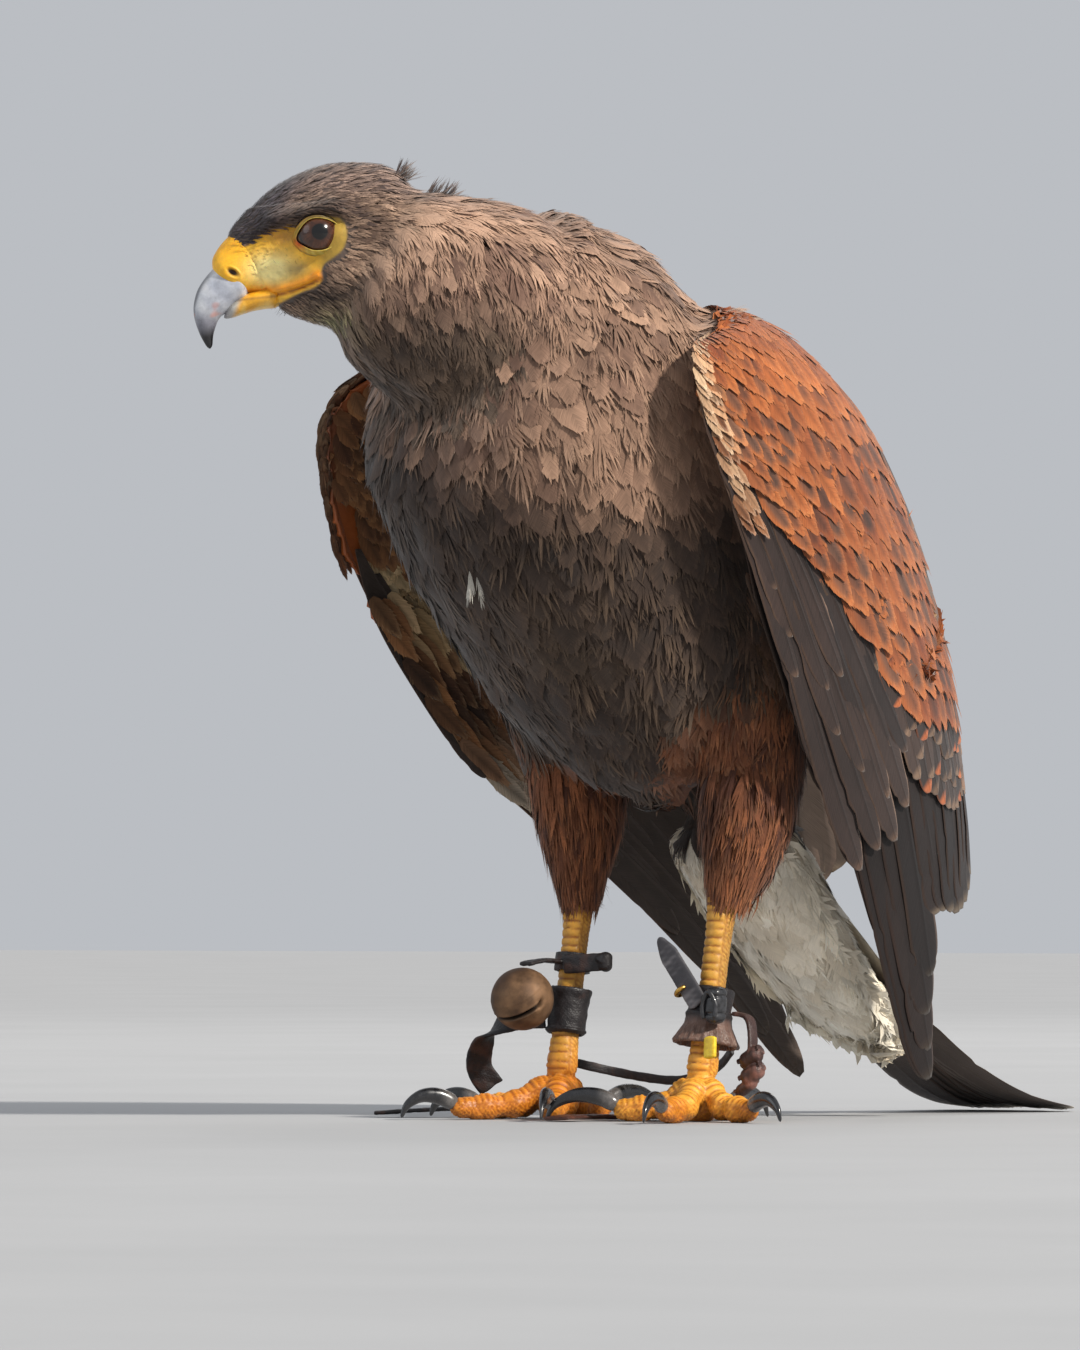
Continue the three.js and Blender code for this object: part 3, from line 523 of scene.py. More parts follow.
f, v, w = head_of(skin_v)
in_face = (skin_d.argmin(1) == HEAD) & (f > -12)
skin_v, skin_f = refine(skin_v, skin_q, in_face[skin_q].all(1))
skin_e = edges_of(skin_f)
f, v, w = head_of(skin_v)
fine = sstep(f, -12, -6) * (np.abs(w) < 32) * (v > -45)
skin_v = smooth(skin_v, skin_e, 6, True, fine[:, None] * (skin_d.min() < 1e9))
skin_d = nearness(skin_v)
skin_w = weights(skin_d, 4.0)
skin_n = normals(skin_v, skin_f)

# Heights of the face in the head's own f, v and |w|: brow ridge, socket, lores, mouth and cheek.
MOUTH = np.array([[47, -24.6], [41.5, -22.6], [36, -22.0], [31.4, -21.5], [26.3, -20.8], [21.2, -19.8], [16, -18.0], [12.9, -16.4]])
BROW = np.array([[33, -0.4], [30.2, 0.9], [27, 2.5], [22.7, 3.6], [18, 5.0], [13.7, 6.2], [9.5, 6.9], [6.3, 6.6], [3.2, 5.2], [0, 3.0]])


def along(path, f, v):
    """Distance to a path in the side view, with its sign (above is positive), and the share of its length."""
    best = np.full(len(f), 1e9)
    sign = np.zeros(len(f))
    part = np.zeros(len(f))
    n = len(path) - 1
    for i in range(n):
        a, b = path[i], path[i + 1]
        d = b - a
        t = np.clip(((f - a[0]) * d[0] + (v - a[1]) * d[1]) / (d @ d), 0, 1)
        x, y = f - a[0] - t * d[0], v - a[1] - t * d[1]
        r = np.hypot(x, y)
        near = r < best
        best = np.where(near, r, best)
        sign = np.where(near, np.sign(-(d[0] * y - d[1] * x)), sign)
        part = np.where(near, (i + t) / n, part)
    return best * sign, part


def face_height(f, v, w):
    side = sstep(np.abs(w), 5, 9)
    near = sstep(f, -10, -2)
    b, s = along(BROW, f, v)
    r_eye = np.hypot(f - EYE_IN_HEAD[0], v + 0.8)
    h = 3.9 * np.exp(-(np.where(b > 0, b / 3.8, b / 1.0) ** 2)) * np.minimum(1, 4 * (1 - s)) * np.minimum(1, 0.25 + 3 * s)
    h -= 1.0 * np.exp(-((b + 3.2) / 2.4) ** 2) * sstep(s, 0.02, 0.2) * (1 - sstep(s, 0.75, 0.95))
    h -= 0.9 * np.exp(-((r_eye - 10) / 3.5) ** 2)
    h -= 1.0 * np.exp(-(((f - 28) / 5) ** 2 + ((v + 6) / 6) ** 2))
    m, q = along(MOUTH, f, v)
    lip = (f > 12.4) & (f < 40)
    h += lip * (0.8 * np.exp(-(((np.abs(m) - 1.5) / 0.9) ** 2)) - 1.0 * np.exp(-((m / 0.55) ** 2)))
    h += 1.0 * np.exp(-(((f - 12.6) / 1.9) ** 2 + ((v + 15.2) / 1.6) ** 2))
    h += 0.8 * np.exp(-(((f - 4) / 6) ** 2 + ((v + 16) / 7) ** 2))
    return h * side * near


depth = skin_w @ DEPTH
f, v, w = head_of(skin_v)
face = skin_w[:, HEAD] * sstep(f, 6, 22) * (v < 9)
depth = mix(depth, 0.35, face * 0.9)
skin_v = skin_v - skin_n * depth[:, None]
skin_v = skin_v + skin_n * (face_height(f, v, w) * skin_w[:, HEAD])[:, None]
skin_n = normals(skin_v, skin_f)
tree = BVHTree.FromPolygons(skin_v.tolist(), skin_f.tolist())
print("skin", len(skin_v), len(skin_f))


def nearest(P):
    out = np.zeros_like(P)
    idx = np.zeros(len(P), int)
    for i, p in enumerate(P):
        co, _, k, _ = tree.find_nearest(Vector(p))
        out[i] = co
        idx[i] = k
    return out, idx


def bary(P, idx):
    a, b, c = (skin_v[skin_f[idx, i]] for i in range(3))
    v0, v1, v2 = b - a, c - a, P - a
    d00, d01, d11, d20, d21 = (np.sum(x * y, 1) for x, y in ((v0, v0), (v0, v1), (v1, v1), (v2, v0), (v2, v1)))
    den = np.maximum(d00 * d11 - d01 * d01, 1e-12)
    y, z = (d11 * d20 - d01 * d21) / den, (d00 * d21 - d01 * d20) / den
    w = np.clip(np.stack([1 - y - z, y, z], 1), 0, 1)
    return w / w.sum(1, keepdims=True)


def sample(field, idx, w):
    """A field on the skin's vertices, at points given by face and weights."""
    return sum(field[skin_f[idx, i]] * (w[:, i : i + 1] if field.ndim > 1 else w[:, i]) for i in range(3))


# ------------------------------------------------------------------------------ colours
DARK = srgb(66, 52, 44)
DARK2 = srgb(92, 72, 54)
# TAUPE and TAUPE_DEEP are the dark brown plumage as the sun lights it: painted light.
TAUPE = srgb(158, 126, 104)
TAUPE_DEEP = srgb(104, 80, 66)
CROWN = srgb(112, 96, 88)
ORANGE = srgb(196, 104, 46)
ORANGE_PALE = srgb(214, 140, 82)
GREYBROWN = srgb(112, 90, 80)
QUILL = srgb(72, 56, 50)
QUILL_EDGE = srgb(150, 116, 94)
TROUSER = srgb(112, 66, 42)
WHITE = srgb(236, 226, 206)
BUFF = srgb(214, 184, 140)
YELLOW = srgb(226, 168, 64)


def body_colour(P, N, W):
    """The ground colour of the plumage over the skin, before each feather's own marking. Its taupe on the neck, the
    back and the high parts is painted sunlight on the dark brown plumage.
    """
    z, y, x = P[:, 2], P[:, 1], P[:, 0]
    # back and lit pick what faces back and up and what lies above a slanted line: painted sunlight, in taupe.
    back = sstep(N[:, 1] + 0.55 * N[:, 2], -0.15, 0.45)
    lit = np.maximum(sstep(z + 0.25 * x + wob(P, 0.05, 3) * 6, 238, 268), back * sstep(z, 120, 220))
    dark = mix(DARK, DARK2, sstep(wob(P, 0.035, 5), -0.3, 1.0)[:, None] * 0.8)
    trunk = mix(dark, mix(TAUPE_DEEP, TAUPE, sstep(z, 225, 285)[:, None]), (lit * 0.92)[:, None])
    neck = mix(TAUPE_DEEP, TAUPE, sstep(wob(P, 0.09, 6) + 0.3, -0.6, 0.8)[:, None])
    neck = mix(dark, neck, sstep(z + 0.3 * y, 222, 242)[:, None])
    f, v, w = head_of(P)
    head = mix(CROWN, mix(TAUPE, CROWN, 0.45), sstep(-f + 0.25 * v, -14, 20)[:, None])
    head = mix(head, srgb(120, 106, 84), (sstep(-v, 22, 34) * 0.6)[:, None])
    head = mix(head, DARK * 0.9, (0.75 * np.exp(-((np.abs(along(BROW, f, v)[0] - 0.5) / 2.2) ** 2)) * sstep(np.abs(w), 4, 8))[:, None])
    thigh = mix(TROUSER, TROUSER * 0.62, sstep(wob(P, 0.06, 8), -0.2, 0.9)[:, None])
    thigh = mix(thigh, dark, sstep(z - np.where(x < 0, 132, 150), -6, 8)[:, None])
    under = np.broadcast_to(WHITE, P.shape)
    arm = mix(ORANGE, GREYBROWN, sstep(wob(P, 0.08, 9), 0, 1)[:, None] * 0.5)
    white_rump = sstep(y - 0.55 * z, 2, 14)[:, None] * sstep(y, 38, 50)[:, None]
    trunk = mix(trunk, WHITE, white_rump)
    parts = [head, neck, trunk, thigh, thigh, arm, arm, under]
    return sum(c * W[:, k : k + 1] for k, c in enumerate(parts))


def flow_of(P, N, W):
    """The lie of the plumage at points of the skin, as directions along it."""
    f, v, w = head_of(P)
    e = np.stack([f - EYE_IN_HEAD[0], v + 0.8], 1)
    r = np.linalg.norm(e, axis=1)
    round_eye = (np.exp(-((r - 9) / 6.0) ** 2) * 0.9 * (f < 16) * np.where(v > 4, -0.25, 1.0))[:, None]
    radial = (e[:, :1] * FORWARD + e[:, 1:] * UP) / np.maximum(r, 1)[:, None]
    head = -FORWARD + (-UP) * sstep(-v, 8, 34)[:, None] * 0.45 + radial * round_eye
    fore = sstep(-(N[:, 1] + 0.4 * N[:, 2]), -0.4, 0.6)[:, None]
    neck = mix(np.array([0.40, 0.86, -0.30]), np.array([0.16, 0.30, -0.94]), fore) + (-FORWARD) * sstep(P[:, 2], 290, 312)[:, None] * 0.5
    chest = sstep(-N[:, 1], -0.3, 0.5)[:, None]
    out = np.sign(P[:, :1]) * np.array([0.10, 0, 0])
    trunk = mix(np.array([0, 0.52, -0.85]), np.array([0, 0.22, -0.97]), chest) + out * sstep(P[:, 2], 190, 250)[:, None]
    thigh = np.array([0, 0.10, -1.0]) + N * 0
    arm = np.array([0, 0.62, -0.79]) + N * 0
    under = mix(np.array([0, 0.70, -0.72]), np.array([0, 0.88, -0.47]), sstep(P[:, 1], 80, 125)[:, None])
    d = sum(x * W[:, k : k + 1] for k, x in enumerate([head, neck, trunk, thigh, thigh, arm, arm, under]))
    return unit(d - dot(d, N) * N)


skin_flow = flow_of(skin_v, skin_n, skin_w)
for _ in range(6):
    s = np.stack([np.bincount(skin_e[:, 0], skin_flow[skin_e[:, 1], c], len(skin_v)) + np.bincount(skin_e[:, 1], skin_flow[skin_e[:, 0], c], len(skin_v)) for c in range(3)], 1)
    s = skin_flow + s * 0.3
    skin_flow = unit(s - dot(s, skin_n) * skin_n)
skin_c = body_colour(skin_v, skin_n, skin_w)


# ------------------------------------------------------------------------------ feathers
def outline(t, full=0.5, root=0.3):
    up = root + (1 - root) * np.sqrt(np.clip(t / full, 0, 1))
    down = np.sqrt(np.clip(1 - (np.clip(t - full, 0, 1) / (1.001 - full)) ** 2.2, 0, 1))
    return np.minimum(up, 1) * down


def vane(rows=(0, 0.2, 0.42, 0.64, 0.8, 0.92), cols=4, fringe=14, reach=1.16, full=0.5):
    """A rounded vane with a fringe of small barb locks round its edge. Each vertex has t along, a across,
    k the lock that it belongs to (0 for the vane) and q how far it is out along that lock."""
    t, a, k, q, tris = [], [], [], [], []
    c = np.linspace(-1, 1, cols + 1)
    for i, r in enumerate(rows):
        for x in c:
            bow = 0.10 * (1 - x * x) * (r / rows[-1])
            t.append(r - 0.08 * x * x * (r > 0) + bow)
            a.append(x * float(outline(np.array(r), full)) * 0.92)
            k.append(0)
            q.append(0)
    m = cols + 1
    for i in range(len(rows) - 1):
        for j in range(cols):
            p = i * m + j
            tris += [(p, p + 1, p + m + 1), (p, p + m + 1, p + m)]
    n = len(t)
    for i in range(fringe):
        x = (i + 0.5) / fringe * 2 - 1  # from the left root, over the tip, to the right root
        side, at = np.sign(x), 1 - abs(x)
        tb = 0.22 + 0.66 * (1 - (1 - at) ** 1.5)
        te = tb + 0.17 + 0.03 * at
        wb = float(outline(np.array(tb), full)) * 0.70 * abs(x) ** 0.35
        we = float(outline(np.array(min(te, 0.97)), full)) * reach * abs(x) ** 0.5 + 0.03
        d = np.array([te - tb, (we - wb) * 0.6])
        d /= np.linalg.norm(d)
        wide = 1.5 / fringe
        for s, wd in ((0.0, 1.0), (0.62, 0.75)):
            for e in (-1, 1):
                t.append(tb + (te - tb) * s - e * wide * wd * d[1] * 0.6)
                a.append(side * (wb + (we - wb) * s + e * wide * wd * d[0] * 1.1))
                k.append(i + 1)
                q.append(s)
        t.append(te)
        a.append(side * we)
        k.append(i + 1)
        q.append(1)
        tris += [(n, n + 1, n + 3), (n, n + 3, n + 2), (n + 2, n + 3, n + 4)]
        n += 5
    return dict(t=np.array(t, float), a=np.array(a, float), k=np.array(k), q=np.array(q, float), tris=np.array(tris), locks=fringe + 1)


def fluff(n=11, spread=1.0, wide=0.10, start=0.02, segs=2):
    """Loose barb locks from a common shaft: each is a narrow ribbon that ends in a point."""
    t, a, k, q, tris = [], [], [], [], []
    c = 0
    for i in range(n):
        x = (i + 0.5) / n * 2 - 1
        at = 1 - abs(x)
        tb, te = start + 0.45 * at**1.1, 0.50 + 0.5 * at**0.6
        we = np.sign(x) * spread * (abs(x) ** 0.7) * (0.72 + 0.28 * at)
        rows = np.linspace(0, 1, segs + 1)
        for s in rows[:-1]:
            for e in (-1, 1):
                t.append(tb + (te - tb) * s)
                a.append(we * s**0.72 + e * wide * (1 - 0.45 * s) * (0.5 + 0.5 * min(1, 3 * s + 0.3)))
                k.append(i + 1)
                q.append(s)
        t.append(te)
        a.append(we)
        k.append(i + 1)
        q.append(1)
        for r in range(segs - 1):
            p = c + 2 * r
            tris += [(p, p + 1, p + 3), (p, p + 3, p + 2)]
        p = c + 2 * (segs - 1)
        tris.append((p, p + 1, p + 2))
        c += 2 * segs + 1
    return dict(t=np.array(t, float), a=np.array(a, float), k=np.array(k), q=np.array(q, float), tris=np.array(tris), locks=n + 1)


def trace(P, idx, L, nseg=4, cling=1.0, swing=0.0, inertia=0.35):
    """Paths of the given length from the roots along the skin's lie. Returns places and normals (n, nseg+1, 3)."""
    n = len(P)
    L = np.broadcast_to(L, n)
    w = bary(P, idx)
    N = unit(sample(skin_n, idx, w))
    D = sample(skin_flow, idx, w)
    side = np.cross(N, D)
    D = unit(D + side * np.broadcast_to(swing, n)[:, None])
    C, M = [P], [N]
    for i in range(nseg):
        ahead = P + D * (L / nseg)[:, None]
        near, idx = nearest(ahead)
        w = bary(near, idx)
        N2 = unit(sample(skin_n, idx, w))
        cl = np.broadcast_to(cling, n)[:, None] if np.ndim(cling) < 2 else cling
        Q = mix(ahead, near, cl)
        step = unit(Q - P)
        P = P + step * (L / nseg)[:, None]
        F = sample(skin_flow, idx, w)
        F = unit(F + np.cross(N2, F) * np.broadcast_to(swing, n)[:, None])
        D = unit(mix(F, step, inertia + (1 - cl) * 0.6))
        N = unit(mix(N, N2, 0.8) - dot(N, step) * step)
        C.append(P)
        M.append(N)
    return np.stack(C, 1), np.stack(M, 1)


def dress(C, M, W, T, low, high, camber=0.25, jitter=0.5, lift=0.4, seed=1, barb=1.2, edge_rise=0.0, curl=0.0):
    """Feathers of template T on the paths C with normals M and half-widths W. Returns V, tris, per-vertex t, a, q
    and vane coordinates, each shaped (n, m)."""
    r = np.random.default_rng(seed)
    n, K = C.shape[:2]
    m = len(T["t"])
    jt = r.normal(0, 0.055, (n, T["locks"])) * jitter * 2
    ja = r.normal(0, 0.13, (n, T["locks"])) * jitter * 2
    jh = r.normal(0, 1.0, (n, T["locks"])) * lift
    jt[:, 0] = ja[:, 0] = jh[:, 0] = 0
    t = np.clip(T["t"][None] + jt[:, T["k"]] * T["q"][None], 0, 1.12)
    a = T["a"][None] + ja[:, T["k"]] * T["q"][None]
    x = np.clip(t, 0, 1) * (K - 1)
    i = np.minimum(x.astype(int), K - 2)
    u = (x - i)[..., None]
    rows = np.arange(n)[:, None]
    # A cubic through the path's places, so that long feathers bend smoothly.
    Ce = np.concatenate([2 * C[:, :1] - C[:, 1:2], C, 2 * C[:, -1:] - C[:, -2:-1]], 1)
    p0, p1, p2, p3 = (Ce[rows, i + j] for j in range(4))
    P = 0.5 * (2 * p1 + (p2 - p0) * u + (2 * p0 - 5 * p1 + 4 * p2 - p3) * u**2 + (3 * p1 - p0 - 3 * p2 + p3) * u**3)
    way = unit(0.5 * ((p2 - p0) + 2 * (2 * p0 - 5 * p1 + 4 * p2 - p3) * u + 3 * (3 * p1 - p0 - 3 * p2 + p3) * u**2))
    L = np.linalg.norm(np.diff(C, axis=1), axis=2).sum(1)[:, None]
    P = P + way * (np.maximum(t - 1, 0) * L)[..., None]
    N = mix(M[rows, i], M[rows, i + 1], u)
    N = unit(N - dot(N, way) * way)
    S = np.cross(way, N)
    W = np.broadcast_to(W, n)[:, None]
    low, high = (np.broadcast_to(z, n)[:, None] for z in (low, high))
    h = low + (high - low) * np.clip(t, 0, 1) ** 0.75
    h = h - camber * W * a**2 + jh[:, T["k"]] * T["q"][None] ** 2 + edge_rise * a**2 * W
    h = h + np.asarray(curl) * np.maximum(t - 0.6, 0) ** 2 * L if np.ndim(curl) == 0 else h + curl[:, None] * np.maximum(t - 0.6, 0) ** 2 * L
    h = np.maximum(h, 0.08)
    P = P + S * (a * W)[..., None] + N * h[..., None]
    F = (T["tris"][None] + (np.arange(n) * m)[:, None, None]).reshape(-1, 3)
    vu = (t * L - barb * np.abs(a) * W) * 1.7 + r.uniform(0, 50, (n, 1))
    vv = a * W * 1.7 + r.uniform(0, 50, (n, 1))
    return P, F, t, a, np.broadcast_to(T["q"][None], (n, m)), np.stack([vu, vv], -1)


coats = []


class Coat:
    """Joined feathers that make one or more pieces of under 190,000 triangles."""

    def __init__(self, name, slot, mat, replaces=()):
        self.name, self.slot, self.mat, self.nodes, self.parts = name, slot, mat, replaces, []
        coats.append(self)

    def add(self, P, F, col, uv, bake, t, a):
        n, m = P.shape[:2]
        b = bake[:, None, :] + 0.003 * np.stack([np.clip(a, -1, 1) * 0.45, (np.clip(t, 0, 1) - 0.5) * 0.9], -1)
        self.parts.append((P.reshape(-1, 3), F, np.clip(col, 0, 4).reshape(-1, 3), uv.reshape(-1, 2), b.reshape(-1, 2)))

    def build(self):
        made = []
        chunk, total = [], 0
        groups = []
        for part in self.parts:
            if total + len(part[1]) > 190000 and chunk:
                groups.append(chunk)
                chunk, total = [], 0
            chunk.append(part)
            total += len(part[1])
        groups.append(chunk)
        for g, chunk in enumerate(groups):
            n, fs = 0, []
            for p in chunk:
                fs.append(p[1] + n)
                n += len(p[0])
            V, col, uv, bake = (np.vstack([p[i] for p in chunk]) for i in (0, 2, 3, 4))
            V[:, 2] = np.maximum(V[:, 2], 0.15)
            o = mesh_object(self.name + ("" if g == 0 else "_%d" % (g + 1)), V, np.vstack(fs), None, col, dict(vane=uv, OFBake=bake), mats=[self.mat])
            print(o.name, len(o.data.polygons))
            piece(o, self.slot, self.nodes if g == 0 else ())
            made.append(o)
        return made


def scatter(pick, spacing, count, seed):
    """Roots on the skin where pick (per vertex) is above zero, kept apart by spacing (per vertex, mm)."""
    r = np.random.default_rng(seed)
    a, b, c = (skin_v[skin_f[:, i]] for i in range(3))
    area = 0.5 * np.linalg.norm(np.cross(b - a, c - a), axis=1)
    sp = spacing[skin_f].mean(1)
    ok = (pick[skin_f] > 0.0).all(1)
    p = area / sp**2 * ok
    want = int(min(count, p.sum() * 5))
    idx = r.choice(len(skin_f), want, p=p / p.sum())
    u = r.random((want, 2))
    flip = u.sum(1) > 1
    u[flip] = 1 - u[flip]
    w = np.stack([1 - u.sum(1), u[:, 0], u[:, 1]], 1)
    P = sample(skin_v, idx, w)
    rad = sample(spacing, idx, w)
    kd = KDTree(want)
    for i, q in enumerate(P):
        kd.insert(q, i)
    kd.balance()
    state = np.zeros(want, bool)
    keep = []
    for i in range(want):
        if state[i]:
            continue
        keep.append(i)
        for _, j, _ in kd.find_range(P[i], rad[i]):
            state[j] = True
    keep = np.array(keep)
    return P[keep], idx[keep], w[keep]


# ------------------------------------------------------------------------------ the face's bare skin
def closed_curve(points, count):
    P = np.array(points, float)
    P = np.hstack([P, np.zeros((len(P), 1))])
    wrap = np.vstack([P[-2:], P, P[:2]])
    n = len(wrap) - 1
    T = (2 + np.linspace(0, len(P), count, endpoint=False)) / n
    return crom(wrap, T)[:, :2]


# The edge of the bare skin in the side view of the head, f and v in turn: over the cere, under the
# brow, round the eye, to the corner of the mouth and along the lower jaw.
BARE = np.array([[60, -6], [45, -5.6], [42.3, -5.1], [37.9, -4.3], [35.4, -3.6], [33.1, -1.3], [30.2, 0.1], [27.1, 1.4], [22.7, 2.2], [18, 3.2], [13.7, 4.2], [9.5, 4.9], [6.6, 4.6], [4.7, 3.2], [3.5, 0.8], [3.4, -2.8], [4.8, -6.4], [7.6, -8.9], [10.8, -11.2], [11.9, -14.0], [11.6, -16.6], [13.6, -18.6], [18.6, -20.4], [23.7, -22.8], [28.8, -24.6], [35.3, -26.2], [60, -28]])
BARE = closed_curve(BARE, 130)


def inside(poly, f, v):
    n = len(poly)
    c = np.zeros(len(f), bool)
    for i in range(n):
        (x0, y0), (x1, y1) = poly[i], poly[(i + 1) % n]
        hit = ((y0 > v) != (y1 > v)) & (f < (x1 - x0) * (v - y0) / (y1 - y0 if y1 != y0 else 1e-9) + x0)
        c ^= hit
    return c


def bare_of(P):
    """How far a point of the face is inside the bare skin, in mm; negative where feathers grow."""
    f, v, w = head_of(P)
    d, _ = along(np.vstack([BARE, BARE[:1]]), f, v)
    return np.where(inside(BARE, f, v), np.abs(d), -np.abs(d))


def face_skin(P):
    f, v, w = head_of(P)
    gold = srgb(244, 182, 26)
    pale = srgb(255, 236, 160)
    green = srgb(142, 122, 58)
    c = np.broadcast_to(gold, P.shape)
    # A painted highlight: the lores turn pale yellow-white where the sun would glare on them.
    lores = np.exp(-(((f - 28.5) / 7.5) ** 2 + ((v + 12.5) / 5.4) ** 2))
    c = mix(c, pale, np.clip(lores * 1.2, 0, 0.92)[:, None])
    c = mix(c, srgb(200, 142, 60), (np.exp(-(((f - 25) / 6) ** 2 + ((v + 1.5) / 2.8) ** 2)) * 0.8)[:, None])
    c = mix(c, green, (sstep(-f, -17, -9) * 0.8)[:, None])
    # An olive-grey patch in front of and below the eye: olive skin, darkened as painted shade.
    c = mix(c, srgb(132, 116, 78), (np.exp(-(((f - 19.5) / 4) ** 2 + ((v + 12.6) / 2.6) ** 2)) * 0.75)[:, None])
    m, s = along(MOUTH, f, v)
    c = mix(c, srgb(240, 150, 20), (np.exp(-(((m - 1.8) / 1.6) ** 2)) * (f > 12.4) * 0.9)[:, None])
    c = mix(c, srgb(120, 50, 30), (np.exp(-((m / 0.45) ** 2)) * (f > 12.9) * 0.85)[:, None])
    c = mix(c, srgb(236, 186, 60), (sstep(-m, 0.4, 1.6) * (f > 15) * 0.8)[:, None])
    c = mix(c, srgb(240, 146, 30), np.exp(-(((f - 12.4) / 1.7) ** 2 + ((v + 15.2) / 1.6) ** 2))[:, None])
    fleck = sstep(wob(P, 1.1, 21) + 0.6 * wob(P, 2.4, 22), 0.55, 1.1)
    return c * (1 - 0.16 * fleck)[:, None]


TAN = srgb(176, 146, 122)


def head_colour(P, r):
    """Ground colour of the small head feathers at P, streaked by a random number for each one."""
    f, v, w = head_of(P)
    aw = np.abs(w)
    c = mix(srgb(98, 76, 64), srgb(182, 150, 126), r[:, None])
    crown = sstep(v, 6, 16)
    c = mix(c, mix(srgb(66, 54, 54), srgb(164, 138, 126), r[:, None] ** 1.3), (crown * 0.8)[:, None])
    fore = sstep(f + 0.5 * v, 24, 35) * (v > -4)
    c = mix(c, mix(srgb(34, 32, 42), srgb(88, 82, 96), r[:, None] ** 2), (fore * 0.92)[:, None])
    b, s = along(BROW, f, v)
    c = mix(c, srgb(48, 38, 40), (np.exp(-(((b - 1.2) / 2.6) ** 2)) * sstep(aw, 5, 10) * 0.75)[:, None])
    c = mix(c, srgb(84, 66, 58), (np.exp(-(((f + 8) / 8) ** 2 + ((v + 2) / 5) ** 2)) * 0.65)[:, None])
    dark = np.exp(-((v + 19.5 + 0.28 * (f - 8)) / 3.2) ** 2) * sstep(-f, -22, -14) * (1 - sstep(-f, 16, 26))
    c = mix(c, mix(srgb(40, 32, 32), srgb(90, 74, 64), r[:, None]), (dark * 0.9)[:, None])
    throat = np.exp(-(((f - 8) / 13) ** 2 + ((v + 28 + 0.1 * f) / 4.6) ** 2)) * sstep(aw + 8, 4, 16)
    c = mix(c, mix(srgb(70, 66, 48), srgb(176, 172, 120), r[:, None]), (throat * 0.9)[:, None])
    chin = sstep(f - 0.9 * (v + 30), 22, 30) * (v < -20)
    c = mix(c, mix(srgb(60, 50, 44), srgb(190, 150, 80), r[:, None] ** 2), (chin * 0.6)[:, None])
    return c


def neck_colour(P, N, r):
    z = P[:, 2]
    # Painted sunlight: the neck's taupe is its dark brown as the sun lights it; only the front low on the neck keeps
    # the dark brown.
    front = sstep(-N[:, 1] - 0.35 * N[:, 2], 0.1, 0.75)
    c = mix(srgb(112, 85, 72), srgb(184, 148, 124), r[:, None])
    dark = mix(srgb(60, 48, 40), srgb(110, 90, 74), r[:, None])
    return mix(c, dark, (front * sstep(-z, -294, -272))[:, None])


def trunk_colour(P, N, r):
    x, y, z = P.T
    # Painted sunlight: what faces back and up, or lies above a slanted line, gets the lit taupe, darker lower down;
    # elsewhere the plumage keeps its dark brown.
    back = np.maximum(sstep(N[:, 1] + 0.55 * N[:, 2], -0.25, 0.35), sstep(z + 0.42 * x - 0.15 * y, 236, 262) * 0.9)
    back = back * sstep(z, 60, 150)
    top = mix(srgb(112, 84, 70), srgb(188, 150, 124), r[:, None])
    low = mix(srgb(84, 63, 52), srgb(138, 106, 86), r[:, None])
    top = mix(low, top, sstep(z, 190, 262)[:, None])
    dark = mix(srgb(40, 30, 26), srgb(74, 57, 46), (0.2 + 0.8 * r)[:, None] * sstep(wob(P, 0.04, 5), -1.2, 0.9)[:, None])
    c = mix(dark, top, back[:, None])
    belly = np.exp(-(((z - 150) / 26) ** 2)) * (1 - back) * 0.5
    c = mix(c, mix(srgb(84, 66, 48), srgb(140, 116, 88), r[:, None]), belly[:, None] * sstep(wob(P, 0.06, 12), -0.2, 1)[:, None])
    top_of = np.where(x < 0, 139, 158) + 5 * wob(P, 0.09, 13)
    d = np.hypot((np.abs(x) - 34) / 24, (y - 14) / 36)
    rufous = sstep(top_of - z, -5, 7) * (1 - sstep(d, 0.90, 1.12)) * (y < 40)
    c = mix(c, mix(srgb(78, 44, 28), srgb(146, 90, 56), r[:, None]), (rufous * 0.92)[:, None])
    rump = sstep(y - 0.55 * z, 2, 14) * sstep(y, 38, 50)
    return mix(c, WHITE * 0.95, rump[:, None])


def thigh_colour(P, N, r):
    z = P[:, 2]
    c = mix(srgb(74, 40, 26), srgb(146, 88, 54), r[:, None])
    c = mix(c, mix(srgb(120, 80, 54), srgb(176, 130, 92), r[:, None]), (sstep(wob(P, 0.09, 14), 0.5, 1.2) * 0.7)[:, None])
    top_of = np.where(P[:, 0] < 0, 141, 159) + 5 * wob(P, 0.09, 13)
    return mix(c, mix(srgb(58, 42, 32), srgb(92, 70, 52), r[:, None]), sstep(z - top_of, -5, 8)[:, None])


def under_colour(P, N, r):
    c = mix(srgb(222, 208, 184), srgb(252, 246, 230), r[:, None])
    return mix(c, srgb(120, 88, 64), (sstep(wob(P, 0.12, 15), 1.15, 1.6) * 0.5)[:, None])


def underwing_colour(P, s, t, r):
    base = mix(srgb(104, 66, 42), srgb(170, 118, 74), r[:, None])
    m = wob(P, 0.16, 16) + 0.7 * wob(P, 0.33, 17)
    c = mix(base, mix(srgb(196, 160, 112), srgb(232, 208, 164), r[:, None]), sstep(m, 0.05, 0.6)[:, None])
    c = mix(c, srgb(52, 36, 28), (sstep(-m, 0.5, 1.1) * 0.85)[:, None])
    return mix(c, srgb(238, 228, 206), (sstep(t, 0.55, 0.61) * 0.7)[:, None])


def wing_colour(s, t, r):
    """Ground, centre and edge colours of the coverts, from a random number for each; s and t, the place on the folded
    wing, are not used.
    """
    n = len(s)
    orange = mix(srgb(126, 62, 30), srgb(176, 98, 48), r[:, None])
    edge = mix(srgb(168, 98, 54), srgb(196, 134, 86), r[:, None])
    core = mix(srgb(70, 48, 39), srgb(104, 76, 62), r[:, None])
    return orange, core, edge


